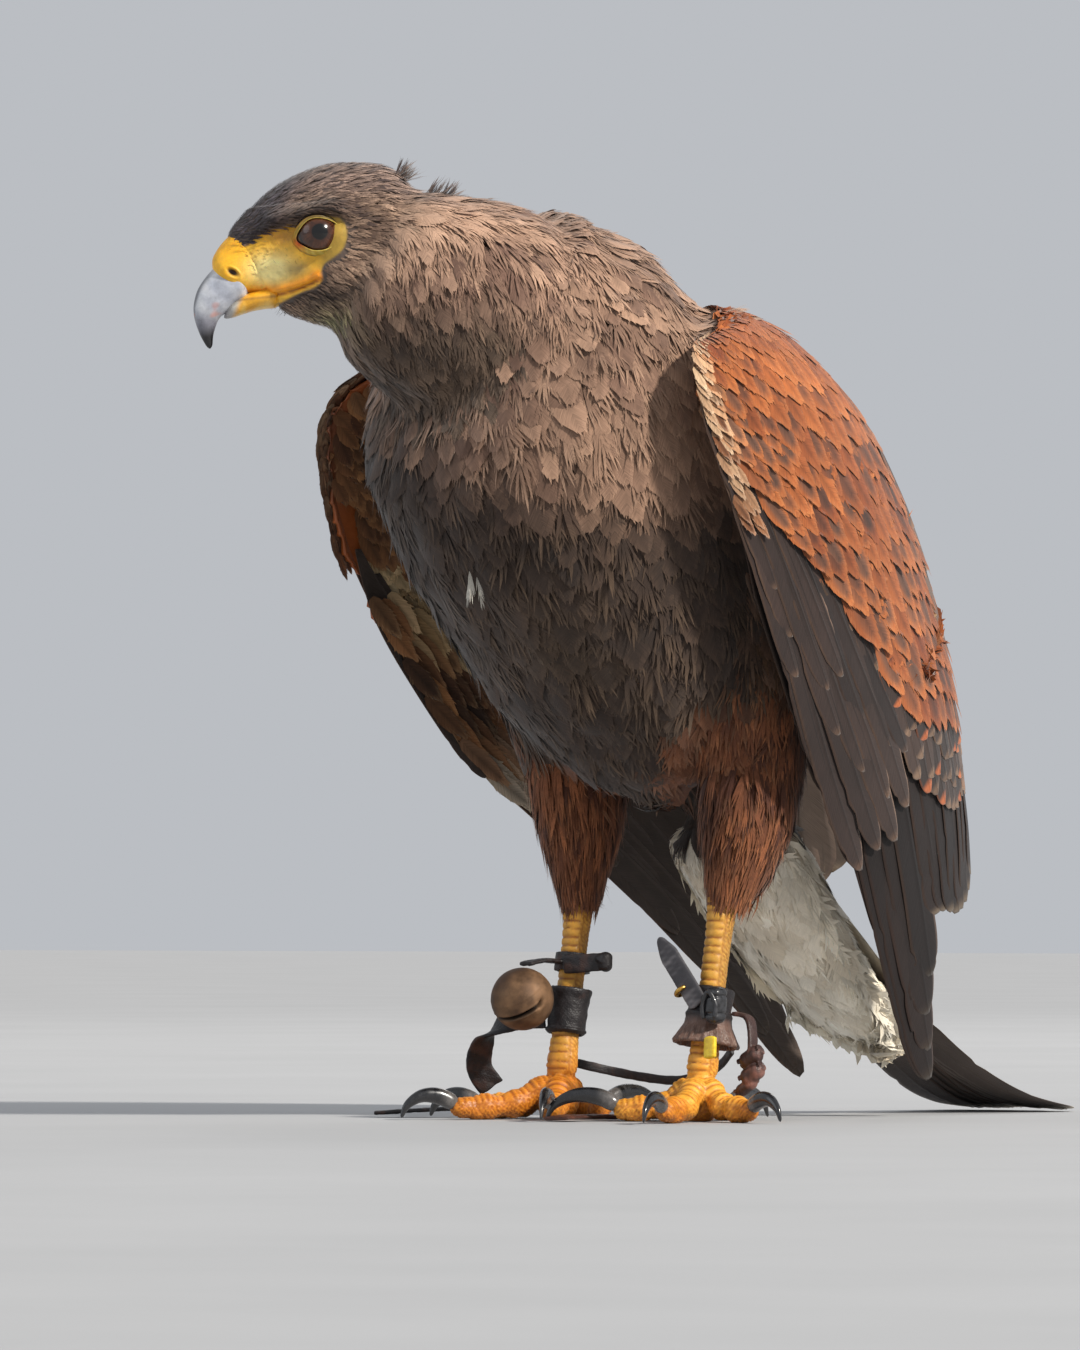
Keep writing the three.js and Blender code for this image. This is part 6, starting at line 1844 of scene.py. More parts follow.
# ------------------------------------------------------------------------------ eyes
eye_m, nt, bs = material("eye", 0.16, 0.5, Coat_Weight=0.3, Coat_Roughness=0.05, Coat_IOR=1.4)
fib = noise(nt, 900.0, 3.0)
nt.links.new(times(nt, attribute(nt), grey(nt, fib, 0.75, 1.2, 0.3, 0.7)), bs.inputs["Base Color"])
for name, sign in (("left", 1), ("right", -1)):
    look = unit(FORWARD * -0.02 + UP * 0.03 + LEFT * sign)
    s0 = unit(np.cross(UP, look))
    u0 = np.cross(look, s0)
    m, rows = 72, 72
    a = np.linspace(0, math.pi, rows)[:, None]
    b = np.linspace(0, 2 * math.pi, m, endpoint=False)[None]
    deg = np.degrees(a)
    R = EYE_R - 0.05 + 0.45 * np.clip(1 - (deg / 50) ** 2, 0, 1)
    ctr = in_head(EYE_IN_HEAD[0], EYE_IN_HEAD[1], sign * EYE_IN_HEAD[2])
    G = ctr + (R * np.cos(a) * np.ones_like(b))[..., None] * look + (R * np.sin(a) * np.cos(b))[..., None] * s0 + (R * np.sin(a) * np.sin(b))[..., None] * u0
    G[0], G[-1] = G[0, 0], G[-1, 0]
    V, T, Q = rings(G)
    d = np.degrees(np.arccos(np.clip(unit(V - ctr) @ look, -1, 1)))
    ang = np.arctan2((V - ctr) @ u0, (V - ctr) @ s0)
    rays = 0.5 + 0.5 * np.sin(ang * 37 + 2 * np.sin(ang * 11)) * np.sin(ang * 17 + d * 0.1)
    iris = mix(srgb(40, 20, 13), srgb(88, 50, 30), (0.2 + 0.8 * rays * sstep(d, 18, 32))[:, None])
    iris = mix(iris, srgb(60, 34, 24), sstep(d, 38, 50)[:, None] * 0.8)
    c = mix(srgb(6, 5, 5) * np.ones((len(V), 1)), iris, sstep(d, 18.5, 20.5)[:, None])
    c = mix(c, srgb(26, 17, 13), sstep(d, 50, 54)[:, None])
    c = mix(c, srgb(60, 46, 40), sstep(d, 58, 64)[:, None])
    piece(mesh_object("eyeball_" + name, V, T, Q, c, mats=[eye_m]), "eye_brown", ["eye_" + name])

# ------------------------------------------------------------------------------ cere and bill
def head_stations(rows):
    return [(list(in_head(f, (top + bottom) / 2)), w, (top - bottom) / 2, (top - bottom) / 2) for f, top, bottom, w in rows]


def bill_stations(rows):
    return [(list(in_head(f, v)), w, a, b) for f, v, a, b, w in rows]


bare_m, nt, bs = material("cere", 0.46, 0.5, Subsurface_Weight=0.15, Subsurface_Scale=0.002)
tc = nt.nodes.new("ShaderNodeTexCoord").outputs["Object"]
vor = node(nt, "ShaderNodeTexVoronoi", Scale=1400.0, feature="DISTANCE_TO_EDGE")
nt.links.new(tc, vor.inputs["Vector"])
blot = noise(nt, 420.0, 4.0, 0.6, tc)
nt.links.new(times(nt, attribute(nt), grey(nt, blot, 0.84, 1.12, 0.3, 0.7)), bs.inputs["Base Color"])
bump(nt, bs, grey(nt, vor.outputs["Distance"], 0.0, 1.0, 0.0, 0.2), 0.25, 0.0001)

V, T, Q = loft(head_stations([[29, 6, -22, 8.5], [35, 2.8, -21.5, 9.2], [40.5, -2.8, -21.5, 8.6], [45.9, -11.2, -21.5, 7.5]]), nu=110, nv=90, side=LEFT, cap=0.15, end=0.2)
E = edges_of(Q)
N = normals(V, Q)
f, v, w = head_of(V)
nose = ((f - 41.3) * 0.86 + (v + 13.3) * 0.5) ** 2 / 1.8**2 + (-(f - 41.3) * 0.5 + (v + 13.3) * 0.86) ** 2 / 0.95**2
hole = np.exp(-(nose**1.4)) * (np.abs(w) > 3)
rimn = np.exp(-(((np.sqrt(nose) - 1.55) / 0.4) ** 2)) * (np.abs(w) > 3)
V = V - N * (1.2 * hole - 0.30 * rimn)[:, None]
V = V + N * (0.16 * wob(V, 0.55, 42))[:, None]
f, v, w = head_of(V)
c = face_skin(V)
c = mix(c, srgb(244, 172, 22), (sstep(v, -10, -4) * 0.6)[:, None])
# Painted shade: the nostril's hollow is coloured dark brown.
c = mix(c, srgb(52, 26, 14), np.clip(hole * 1.5, 0, 1)[:, None])
piece(mesh_object("cere_skin", V, T, Q, c, mats=[bare_m]), "skin_yellow", ["cere"])

horn_m, nt, bs = material("bill horn", 0.34, 0.5, Coat_Weight=0.25, Coat_Roughness=0.2)
tc = nt.nodes.new("ShaderNodeTexCoord").outputs["Object"]
streak = noise(nt, 380.0, 4.0, 0.65, tc, 0.4)
nt.links.new(times(nt, attribute(nt), grey(nt, streak, 0.78, 1.15, 0.3, 0.7)), bs.inputs["Base Color"])
nt.links.new(grey(nt, streak, 0.26, 0.48, 0.3, 0.7), bs.inputs["Roughness"])
bump(nt, bs, streak, 0.22, 0.00012)


def bill_colour(V, N):
    f, v, w = head_of(V)
    d = np.hypot(f - 48.6, v + 38.6)
    pale = mix(srgb(206, 208, 212), srgb(168, 172, 184), sstep(wob(V, 0.5, 43), -0.6, 0.8)[:, None])
    c = mix(pale, srgb(116, 116, 126), (1 - sstep(d, 8, 15))[:, None])
    c = mix(c, srgb(16, 15, 18), (1 - sstep(d, 3.5, 9.5))[:, None])
    # Painted shade: the bill's forward-facing ridge near the hook is darkened.
    ridge = sstep(N @ FORWARD + 0.35 * (N @ UP), 0.75, 0.98) * (1 - sstep(d, 22, 31))
    c = mix(c, srgb(44, 44, 52), (ridge * 0.75)[:, None])
    pink = np.exp(-((d - 12) / 5) ** 2) * sstep(wob(V, 0.9, 44), 0.45, 0.9)
    return mix(c, srgb(196, 132, 116), (pink * 0.6)[:, None])


V, T, Q = loft(bill_stations([[36.5, -14.5, 8.5, 7.2, 8], [43.2, -17.6, 7.4, 7.2, 6.8], [48, -22.4, 6, 6.6, 5.1], [50, -27, 4.2, 5, 3.6], [50, -32.8, 2.4, 3, 2.2], [48.6, -38.6, 0.7, 0.8, 0.7]]), nu=72, nv=110, side=LEFT, cap=0.1, end=0.05)
N = normals(V, Q)
f, v, w = head_of(V)
V = V + N * (0.10 * wob(V, 0.4, 45))[:, None]
piece(mesh_object("bill_upper_horn", V, T, Q, bill_colour(V, N), mats=[horn_m]), "bill_horn", ["bill_upper"])
V, T, Q = loft(bill_stations([[24, -20, 3, 4.6, 8.2], [33, -21.8, 3, 3.8, 7.4], [39.5, -24.8, 2.6, 2.8, 5.6], [43.8, -28.2, 1.2, 1.4, 2.9]]), nu=64, nv=80, side=LEFT, cap=0.15, end=0.25)
N = normals(V, Q)
f, v, w = head_of(V)
c = mix(srgb(196, 190, 176), srgb(150, 148, 150), sstep(f, 39, 44)[:, None])
c = mix(mix(srgb(238, 172, 40), srgb(246, 206, 110), sstep(wob(V, 0.7, 46), -0.3, 0.8)[:, None]), c, sstep(f + 0.4 * (v + 22), 37.0, 39.5)[:, None])
c = mix(c, srgb(96, 62, 44), (np.exp(-(((v + 21.6 + 0.1 * (f - 30)) / 0.5) ** 2)) * 0.5)[:, None])
piece(mesh_object("bill_lower_horn", V, T, Q, c, mats=[horn_m]), "bill_horn", ["bill_lower"])

# ------------------------------------------------------------------------------ bristles and crest
def loose(coat, roots, ways, L, W, T, col, seed, bend=None, tips=None):
    """Feathers or bristles that leave the skin on their own paths."""
    n = len(roots)
    u = np.linspace(0, 1, 5)
    bend = np.zeros((n, 3)) if bend is None else bend
    C = roots[:, None] + ways[:, None] * (L[:, None] * u[None])[..., None] + bend[:, None] * (L[:, None] * u[None] ** 2)[..., None]
    side = unit(np.cross(ways, np.array([0.12, -0.2, 1.0])))
    M = np.broadcast_to(np.cross(side, ways)[:, None], C.shape)
    Pv, F, t, a, q, vu = dress(C, M, W, T, 0.1, 0.2, 0.1, 0.7, 0.2, seed)
    shade = mix(0.7, 1.1, np.clip(t, 0, 1))[..., None]
    coat.add(Pv, F, col[:, None, :] * shade, vu, root_bake(roots), t, a)


r = np.random.default_rng(301)
f, v, w = head_of(skin_v)
lore = ((bare > 0.2) & (f > 17) & (f < 36) & (v > -15) & (v < 3)) | ((np.abs(bare) < 1.4) & (f > 28) & (v > -7))
P, idx, w3 = scatter(lore.astype(float), np.full(len(skin_v), 1.25), 5000, 302)
N = unit(sample(skin_n, idx, w3))
n = len(P)
ways = unit(N * 0.35 + FORWARD * 0.75 + UP * (0.25 + 0.5 * r.random(n))[:, None] + r.normal(0, 0.2, (n, 3)))
f, v, w = head_of(P)
L = r.uniform(2.0, 4.6, n) * np.where(v > -6, 1.15, 0.8)
loose(coat_head, P, ways, L, np.full(n, 0.2), fluff(1, 0.0, 0.9, 0.0, 2), np.broadcast_to(srgb(40, 32, 34), (n, 3)), 303, N * -0.2)
# Chin bristles under the lower jaw.
chin = (skin_w[:, HEAD] > 0.5) & (bare_of(skin_v) > -3) & (head_of(skin_v)[1] < -22)
if chin.any():
    P, idx, w3 = scatter(chin.astype(float), np.full(len(skin_v), 1.6), 3000, 304)
    N = unit(sample(skin_n, idx, w3))
    n = len(P)
    loose(coat_head, P, unit(N * 0.5 + FORWARD * 0.5 - UP * 0.5 + r.normal(0, 0.2, (n, 3))), r.uniform(2.0, 3.6, n), np.full(n, 0.16), fluff(1, 0.0, 0.9, 0.0, 2), np.broadcast_to(srgb(44, 36, 34), (n, 3)), 305)
# Small feathers of the forehead that reach forward over the top of the cere.
n = 170
f0 = r.uniform(31.5, 42.0, n)
w0 = r.uniform(-1, 1, n) * np.interp(f0, [31, 36, 42], [8.6, 7.6, 3.2])
top = np.interp(f0, [29, 35, 40.5, 45.9], [6, 2.8, -2.8, -11.2])
half = np.interp(f0, [29, 35, 40.5, 45.9], [14, 12.1, 9.3, 5.1])
wide = np.interp(f0, [29, 35, 40.5, 45.9], [8.5, 9.2, 8.6, 7.5])
v0 = top - half + half * np.sqrt(np.maximum(0.05, 1 - (w0 / (wide + 0.6)) ** 2))
roots = in_head(f0, v0 - 0.1, w0)
up0 = unit(FORWARD * 0.62 + UP * 0.78 + LEFT * (w0 / 9.0)[:, None])
way0 = unit(-FORWARD * 0.80 + UP * 0.60 + LEFT * (0.05 * w0)[:, None] + r.normal(0, 0.10, (n, 3)))
way0 = unit(way0 - dot(way0, up0) * up0)
L = np.interp(f0, [32, 42], [4.4, 2.4]) * r.uniform(0.85, 1.2, n)
C = roots[:, None] + way0[:, None] * (L[:, None] * np.linspace(0, 1, 4)[None])[..., None]
M = np.broadcast_to(up0[:, None], C.shape)
Pv, F, t, a, q, vu = dress(C, M, L * 0.26, HEAD_T[1], 0.12, 0.5 * r.uniform(0.7, 1.3, n), 0.12, 0.8, 0.1, 310)
coat_head.add(Pv, F, mix(srgb(36, 33, 42), srgb(92, 84, 94), r.random((n, 1)) ** 2)[:, None, :] * mix(0.7, 1.1, np.clip(t, 0, 1))[..., None], vu, root_bake(roots), t, a)
# The ruffled crest at the back of the crown.
n = 120
f0 = r.uniform(-33, -17, n)
w0 = r.uniform(-9, 13, n)
P, idx = nearest(in_head(f0, np.full(n, 24.0), w0))
ways = unit(UP * (r.uniform(0.15, 0.9, n) + 0.6 * (r.random(n) < 0.45))[:, None] - FORWARD * r.uniform(0.45, 1.1, n)[:, None] + LEFT * r.normal(0, 0.25, n)[:, None])
loose(coat_head, P, ways, r.uniform(5.0, 9.5, n), r.uniform(0.7, 1.3, n), fluff(5, 1.0, 0.2, 0.0, 3), mix(srgb(52, 44, 48), srgb(140, 114, 100), r.random((n, 1))), 306, -FORWARD * r.uniform(-0.1, 0.25, n)[:, None])
# Loose pale plumes on the chest.
P, idx = nearest(np.array([[2.0, -82, 190], [4.0, -82, 187], [0.5, -82, 186], [2.5, -80, 182]]))
loose(coat_back, P + unit(sample(skin_n, idx, bary(P, idx))) * 2.6, unit(np.array([[0.12, 0.05, -1.0], [0.3, 0.05, -1], [-0.12, 0.05, -1], [0.15, 0.1, -1]])), np.array([11.0, 8, 9, 7]), np.array([1.6, 1.3, 1.5, 1.2]), fluff(11, 1.0, 0.13, 0.0, 3), np.broadcast_to(srgb(218, 212, 200), (4, 3)), 307)

# ------------------------------------------------------------------------------ claws
claw_m, nt, bs = material("claw horn", 0.22, 0.55, Coat_Weight=0.5, Coat_Roughness=0.12)
streak = noise(nt, 500.0, 4.0, 0.6)
nt.links.new(times(nt, attribute(nt), grey(nt, streak, 0.7, 1.3, 0.3, 0.7)), bs.inputs["Base Color"])
nt.links.new(grey(nt, streak, 0.16, 0.36, 0.3, 0.7), bs.inputs["Roughness"])
bump(nt, bs, streak, 0.15, 0.0001)
for side in ("left", "right"):
    leg = FEET[side]
    for key, reach in leg["toes"].items():
        w = unit(np.array([reach[0], reach[1], 0.0]))
        fx, fy, _ = leg["foot"]
        at = lambda t, z: [fx + w[0] * (reach[2] + t), fy + w[1] * (reach[2] + t), z]
        big = CLAW_SIZE[key]
        out = CLAW_LENGTH * big
        V, T, Q = loft([(at(-2.5, 5), 2.6, 2.9), (at(out * 0.22, 6.4 + 1.6 * big), 2.3, 2.9), (at(out * 0.58, 6.2 + 2 * big), 1.8, 2.3), (at(out * 0.88, 3.4 + 1.6 * big), 1.1, 1.4), (at(out, 0.8), 0.4, 0.5)], nu=32, nv=48, side=np.cross(w, UP), cap=0.12, end=0.05)
        N = normals(V, Q)
        V[:, 2] = np.maximum(V[:, 2], 0.1)
        along_c = ((V - np.array([fx, fy, 0])) @ w - reach[2]) / out
        c = mix(srgb(92, 88, 86), srgb(22, 22, 25), sstep(along_c, 0.0, 0.30)[:, None])
        c = mix(c, srgb(78, 74, 74), (sstep(-N[:, 2], 0.3, 0.9) * 0.5)[:, None])
        piece(mesh_object("talon_%s_%s" % (side, key), V, T, Q, c, mats=[claw_m]), "claw_horn", ["claw_%s_%s" % (side, key)])

# ------------------------------------------------------------------------------ what it wears
def on_leg(side, z):
    A, B = np.array(FEET[side]["ankle"], float), np.array(FEET[side]["foot"], float)
    return mix(A, B, (A[2] - z) / (A[2] - B[2]))


def leg_axis(side):
    return unit(np.array(FEET[side]["ankle"], float) - np.array(FEET[side]["foot"], float))


def revolve(profile, at, axis, seg=96, wave=None):
    """A closed ring about an axis; the profile is radius and height."""
    p = np.array(profile, float)
    s = unit(np.cross(axis, np.array([0.0, 1.0, 0.0])))
    t = np.cross(axis, s)
    th = np.linspace(0, 2 * math.pi, seg, endpoint=False)
    rad = p[None, :, 0] + (wave(th, p) if wave else 0)
    V = at + (np.cos(th)[:, None] * rad)[..., None] * s + (np.sin(th)[:, None] * rad)[..., None] * t + np.broadcast_to(p[None, :, 1], rad.shape)[..., None] * axis
    m = len(p)
    i, j = np.meshgrid(np.arange(seg), np.arange(m), indexing="ij")
    i2, j2 = (i + 1) % seg, (j + 1) % m
    Q = np.stack([i * m + j, i2 * m + j, i2 * m + j2, i * m + j2], -1).reshape(-1, 4)
    V = V.reshape(-1, 3)
    a = V[Q]
    vol = np.sum(np.cross(a[:, 0], a[:, 1]) * a[:, 2])
    return V, np.zeros((0, 3), int), (Q if vol > 0 else Q[:, ::-1])


def strap(places, half, side, ends=1.0, thick=0.75, nu=28, nv=70):
    st = [(p, half * (ends if i == len(places) - 1 else 1.0), thick) for i, p in enumerate(places)]
    return loft(st, nu=nu, nv=nv, side=side, square=4, snug=ends == 1.0, cap=0.06, spin=math.pi / 4)


def leather(name, parts, node_name, slot, dark, light, grain=0.32, turns=6, wrinkle=0.16, mat=None, seed=1, tint=None):
    V, Q = voxel([(b[0], to_tris(b[1], b[2])) for b in parts], grain)
    V = smooth(V, edges_of(Q), turns)
    N = normals(V, Q)
    V = V + N * (wrinkle * wob(V, 0.9, seed) + 0.5 * wrinkle * wob(V, 2.2, seed + 1))[:, None]
    V[:, 2] = np.maximum(V[:, 2], 0.1)
    wear = sstep(wob(V, 0.35, seed + 2) + 0.6 * wob(V, 1.6, seed + 3), 0.1, 1.3)
    c = mix(dark * np.ones((len(V), 1)), light, wear[:, None])
    if tint is not None:
        c = tint(V, N, c)
    return piece(mesh_object(name, V, None, Q, c, mats=[mat or leather_m]), slot, [node_name])


def leather_material(name, lo, hi, scale):
    m, nt, bs = material(name, 0.5, 0.45)
    tc = nt.nodes.new("ShaderNodeTexCoord").outputs["Object"]
    g = node(nt, "ShaderNodeTexVoronoi", Scale=scale, feature="DISTANCE_TO_EDGE")
    nt.links.new(tc, g.inputs["Vector"])
    n = noise(nt, 300.0, 5.0, 0.65, tc)
    nt.links.new(times(nt, attribute(nt), grey(nt, n, 0.7, 1.3, 0.3, 0.7)), bs.inputs["Base Color"])
    nt.links.new(grey(nt, n, lo, hi, 0.3, 0.7), bs.inputs["Roughness"])
    bump(nt, bs, grey(nt, g.outputs["Distance"], 0.0, 1.0, 0.0, 0.22), 0.35, 0.00015)
    return m


leather_m = leather_material("leather dark", 0.34, 0.62, 1100.0)
grey_leather_m = leather_material("leather grey", 0.45, 0.75, 2400.0)
BLACK, BROWN, RED = srgb(30, 26, 28), srgb(62, 42, 36), srgb(92, 52, 38)
cuff = TARSUS_R + 0.75

# Right leg: the cuff, the bell on its strap and the wide band.
ax = leg_axis("right")
at37 = on_leg("right", 37)
CUFF = [(cuff, -7.5), (cuff + 0.6, -7.9), (cuff + 1.2, -7.5), (cuff + 1.6, 2), (cuff + 2.6, 7.5), (cuff + 2.2, 8.2), (cuff + 1.6, 8), (cuff + 0.5, 2)]
seam = revolve([(cuff + 1.2, -7.2), (cuff + 1.9, -6.9), (cuff + 1.9, -6.2), (cuff + 1.2, -5.9)], at37, ax)
leather("cuff_right", [revolve(CUFF, at37, ax, 120), seam], "anklet_right", "leather_dark", BLACK, BROWN, 0.34, 5, 0.16, seed=401)

BELL = np.array([-33.5, -18.6, 41.7])
right_dir = np.array([math.cos(math.radians(41)), math.sin(math.radians(41)), 0])
cam_dir = np.array([math.sin(math.radians(41)), -math.cos(math.radians(41)), 0])
bell_up = unit(UP * 0.79 - right_dir * 0.435 + cam_dir * 0.43)
m, rows = 150, 120
a = np.linspace(0, math.pi, rows)[:, None]
b = np.linspace(0, 2 * math.pi, m, endpoint=False)[None]
s0 = unit(np.cross(bell_up, np.array([0.0, 1.0, 0.0])))
t0 = np.cross(bell_up, s0)
D = (np.cos(a) * np.ones_like(b))[..., None] * bell_up + (np.sin(a) * np.cos(b))[..., None] * s0 + (np.sin(a) * np.sin(b))[..., None] * t0
hgt = np.cos(a) * 11 * np.ones_like(b)
az = np.degrees(np.arctan2(D @ right_dir, D @ cam_dir))
reach = 1 - sstep(np.abs(az + 27), 60, 66)
slit = np.exp(-(((hgt + 0.4) / 0.62) ** 4)) * reach
ends = np.exp(-(((hgt + 0.4) / 1.1) ** 2 + ((np.abs(az + 27) - 63) / 5.0) ** 2))
seam = np.exp(-(((hgt - 4.2) / 0.35) ** 2))
R = 10.9 - 2.2 * np.clip(slit + ends, 0, 1) + 0.08 * seam + 0.18 * np.exp(-(((np.abs(hgt + 0.4) - 1.1) / 0.4) ** 2)) * reach
G = BELL + D * R[..., None]
G[0], G[-1] = G[0, 0], G[-1, 0]
V, T, Q = rings(G)
V = V + unit(V - BELL) * (0.08 * wob(V, 0.5, 410))[:, None]
hv = (V - BELL) @ bell_up
azv = np.degrees(np.arctan2((V - BELL) @ right_dir, (V - BELL) @ cam_dir))
# Painted shade: the bell's slit is coloured near black.
slit_shade = np.exp(-(((hv + 0.4) / 0.8) ** 4)) * (1 - sstep(np.abs(azv + 27), 60, 68))
c = mix(srgb(76, 55, 41), srgb(124, 94, 68), sstep(wob(V, 0.25, 411) + 0.5 * wob(V, 0.9, 412), -0.8, 1.0)[:, None])
c = mix(c, srgb(18, 14, 12), slit_shade[:, None])
bell_m, nt, bs = material("bell bronze", 0.55, 0.4, Metallic=0.45)
n1 = noise(nt, 240.0, 6.0, 0.7)
n2 = noise(nt, 1600.0, 3.0, 0.6)
nt.links.new(times(nt, attribute(nt), grey(nt, n1, 0.55, 1.25, 0.3, 0.7)), bs.inputs["Base Color"])
nt.links.new(grey(nt, n1, 0.48, 0.74, 0.3, 0.7), bs.inputs["Roughness"])
bump(nt, bs, n2, 0.2, 0.0001)
piece(mesh_object("bell_body", V, T, Q, c, mats=[bell_m]), "bell_bronze", ["bell"])

sa = on_leg("right", 54)
loop = revolve([(cuff - 0.5, -3.2), (cuff + 0.9, -3.2), (cuff + 0.9, 3.2), (cuff - 0.5, 3.2)], sa, ax, 90)
to_bell = strap([[sa[0] - 2, sa[1] - 5.6, 54.5], [sa[0] - 2.4, sa[1] - 13, 55], [sa[0] - 3, sa[1] - 22, 53.7]], 3, (1, 0, 0))
to_button = strap([[sa[0] + 1, sa[1] - 6.2, 53.5], [sa[0] + 9, sa[1] - 4.6, 54], [sa[0] + 16, sa[1] - 1.5, 54.6]], 3.2, UP)
knot = loft([([sa[0] + 16, sa[1] - 1.4, 51], 2.4), ([sa[0] + 16, sa[1] - 1.4, 58], 2.6)], nu=24, nv=20, cap=0.3)
fold = loft([([sa[0] + 13.2, sa[1] - 3.0, 56.2], 1.2), ([sa[0] + 17.4, sa[1] - 3.1, 54.0], 1.3)], nu=20, nv=16, cap=0.35)
leather("bewit", [loop, to_bell, to_button, knot, fold], "bell_strap", "leather_dark", BLACK, BROWN, 0.34, 4, 0.14, seed=421)
band = strap([[-37.5, -0.6, 36], [-48, -7.5, 34.5], [-57, -11, 27.5], [-60.5, -10.5, 18], [-58, -6, 10]], 4.6, (0.53, 0.46, 0.7))
leather("jess_right_band", [band], "jess_right", "leather_dark", BLACK, BROWN, 0.34, 4, 0.14, seed=431)
end = strap([[-38.3, 7, 5.5], [-54, 3.5, 3], [-78, -7, 3], [-101, -22, 1.4]], 3.2, (0.5, -0.85, 0))
leather("jess_right_tail", [end], "jess_right_end", "leather_dark", BLACK, BROWN, 0.34, 4, 0.12, seed=441)

# Left leg: the cuff with its crinkled skirt and beads, the tab, clip, tag, button and thin straps.
ax = leg_axis("left")
at37 = on_leg("left", 37.5)
SKIRT = [(cuff, -3), (cuff + 1.6, -6.5), (cuff + 4.8, -11.8), (cuff + 5.5, -11.9), (cuff + 6, -11), (cuff + 3, -5), (cuff + 2, 1), (cuff + 2.6, 7.4), (cuff + 2.0, 8.2), (cuff + 1, 8)]
crimp = lambda th, p: (0.42 * np.sin(th * 15) + 0.25 * np.sin(th * 29 + 1))[:, None] * sstep(-p[None, :, 1], 2, 11)
waist = revolve([(cuff + 1.9, -2.6), (cuff + 2.7, -2.2), (cuff + 2.9, -1.2), (cuff + 2.4, -0.4), (cuff + 1.6, -0.4)], at37, ax)


def cuff_tint(V, N, c):
    h = (V - at37) @ ax
    return mix(mix(c, srgb(112, 84, 72), (sstep(-h, 1.5, 5.0) * 0.75)[:, None]), srgb(196, 176, 160), (np.exp(-(((np.mod(np.arctan2(N[:, 1], N[:, 0]) * 15, 2 * math.pi) - math.pi) / 0.6) ** 2)) * sstep(-h, 3, 9) * 0.25)[:, None])


beads = []
s0 = unit(np.cross(ax, np.array([0.0, 1.0, 0.0])))
t0 = np.cross(ax, s0)
for k in range(34):
    th = 2 * math.pi * k / 34
    rr = cuff + 5.3 + 0.25 * math.sin(th * 15)
    cb = at37 + (s0 * math.cos(th) + t0 * math.sin(th)) * rr - ax * 11.0
    beads.append(loft([(list(cb - ax * 0.8), 0.62), (list(cb + ax * 0.8), 0.62)], nu=14, nv=10, cap=0.5))
leather("cuff_left", [revolve(SKIRT, at37, ax, 180, crimp), waist] + beads, "anklet_left", "leather_dark", BLACK, BROWN, 0.33, 3, 0.10, seed=451, tint=cuff_tint)

rim = on_leg("left", 46)
tab = strap([[rim[0] + 2, rim[1] - 9.6, 40], [rim[0] - 4, rim[1] - 10, 48], [rim[0] - 10, rim[1] - 10.4, 56], [rim[0] - 15, rim[1] - 10.8, 63]], 4, (0.76, 0, 0.6), 0.3)
leather("tab_grey", [tab], "tab_left", "leather_grey", srgb(66, 64, 68), srgb(122, 118, 120), 0.32, 3, 0.06, mat=grey_leather_m, seed=461)

black_m, nt, bs = material("clip black", 0.35, 0.5, Coat_Weight=0.3)
n1 = noise(nt, 600.0, 4.0)
nt.links.new(ramp(nt, n1, [(0.3, srgb(18, 18, 20)), (0.7, srgb(52, 52, 56))]), bs.inputs["Base Color"])
nt.links.new(grey(nt, n1, 0.22, 0.5, 0.3, 0.7), bs.inputs["Roughness"])
bump(nt, bs, n1, 0.2, 0.0001)
clip = loft([([rim[0] + 9.1, rim[1] - 9.7, 33.4], 3, 3.4), ([rim[0] + 9.9, rim[1] - 9.4, 46.5], 3, 3.4)], nu=40, nv=40, square=3.5, cap=0.2, spin=math.pi / 4)
Vc, Tc, Qc = clip
lc = Vc[:, 2]
Nc = normals(Vc, Qc)
groove = np.exp(-(((lc - 37.0) / 0.5) ** 2)) + np.exp(-(((lc - 43.0) / 0.5) ** 2))
Vc = Vc - Nc * (0.55 * groove)[:, None]
bar = loft([([rim[0] + 6.6, rim[1] - 12.6, 35.0], 0.8), ([rim[0] + 6.4, rim[1] - 13.0, 40.0], 0.8), ([rim[0] + 9.0, rim[1] - 13.1, 44.5], 0.8), ([rim[0] + 11.6, rim[1] - 12.4, 40.5], 0.8), ([rim[0] + 11.4, rim[1] - 12.6, 35.4], 0.8)], nu=14, nv=50, cap=0.05)
V = np.vstack([Vc, bar[0]])
T = np.vstack([Tc, bar[1] + len(Vc)])
Q = np.vstack([Qc, bar[2] + len(Vc)])
piece(mesh_object("clip_body", V, T, Q, mats=[black_m]), "clip_black", ["clip_left"])

tag_m, nt, bs = material("tag plastic", 0.38, 0.5)
n1 = noise(nt, 420.0, 5.0, 0.65)
nt.links.new(ramp(nt, n1, [(0.3, srgb(196, 156, 28)), (0.55, srgb(232, 200, 44)), (0.75, srgb(240, 214, 84))]), bs.inputs["Base Color"])
nt.links.new(grey(nt, n1, 0.28, 0.5, 0.3, 0.7), bs.inputs["Roughness"])
bump(nt, bs, n1, 0.15, 0.0001)
V, T, Q = loft([([rim[0] + 10.2, rim[1] - 13.6, 21.6], 2.4, 1), ([rim[0] + 9.4, rim[1] - 12.4, 29.4], 2.4, 1)], nu=36, nv=36, square=4, cap=0.12, spin=math.pi / 4)
piece(mesh_object("tag_body", V, T, Q, mats=[tag_m]), "tag_plastic", ["tag_left"])


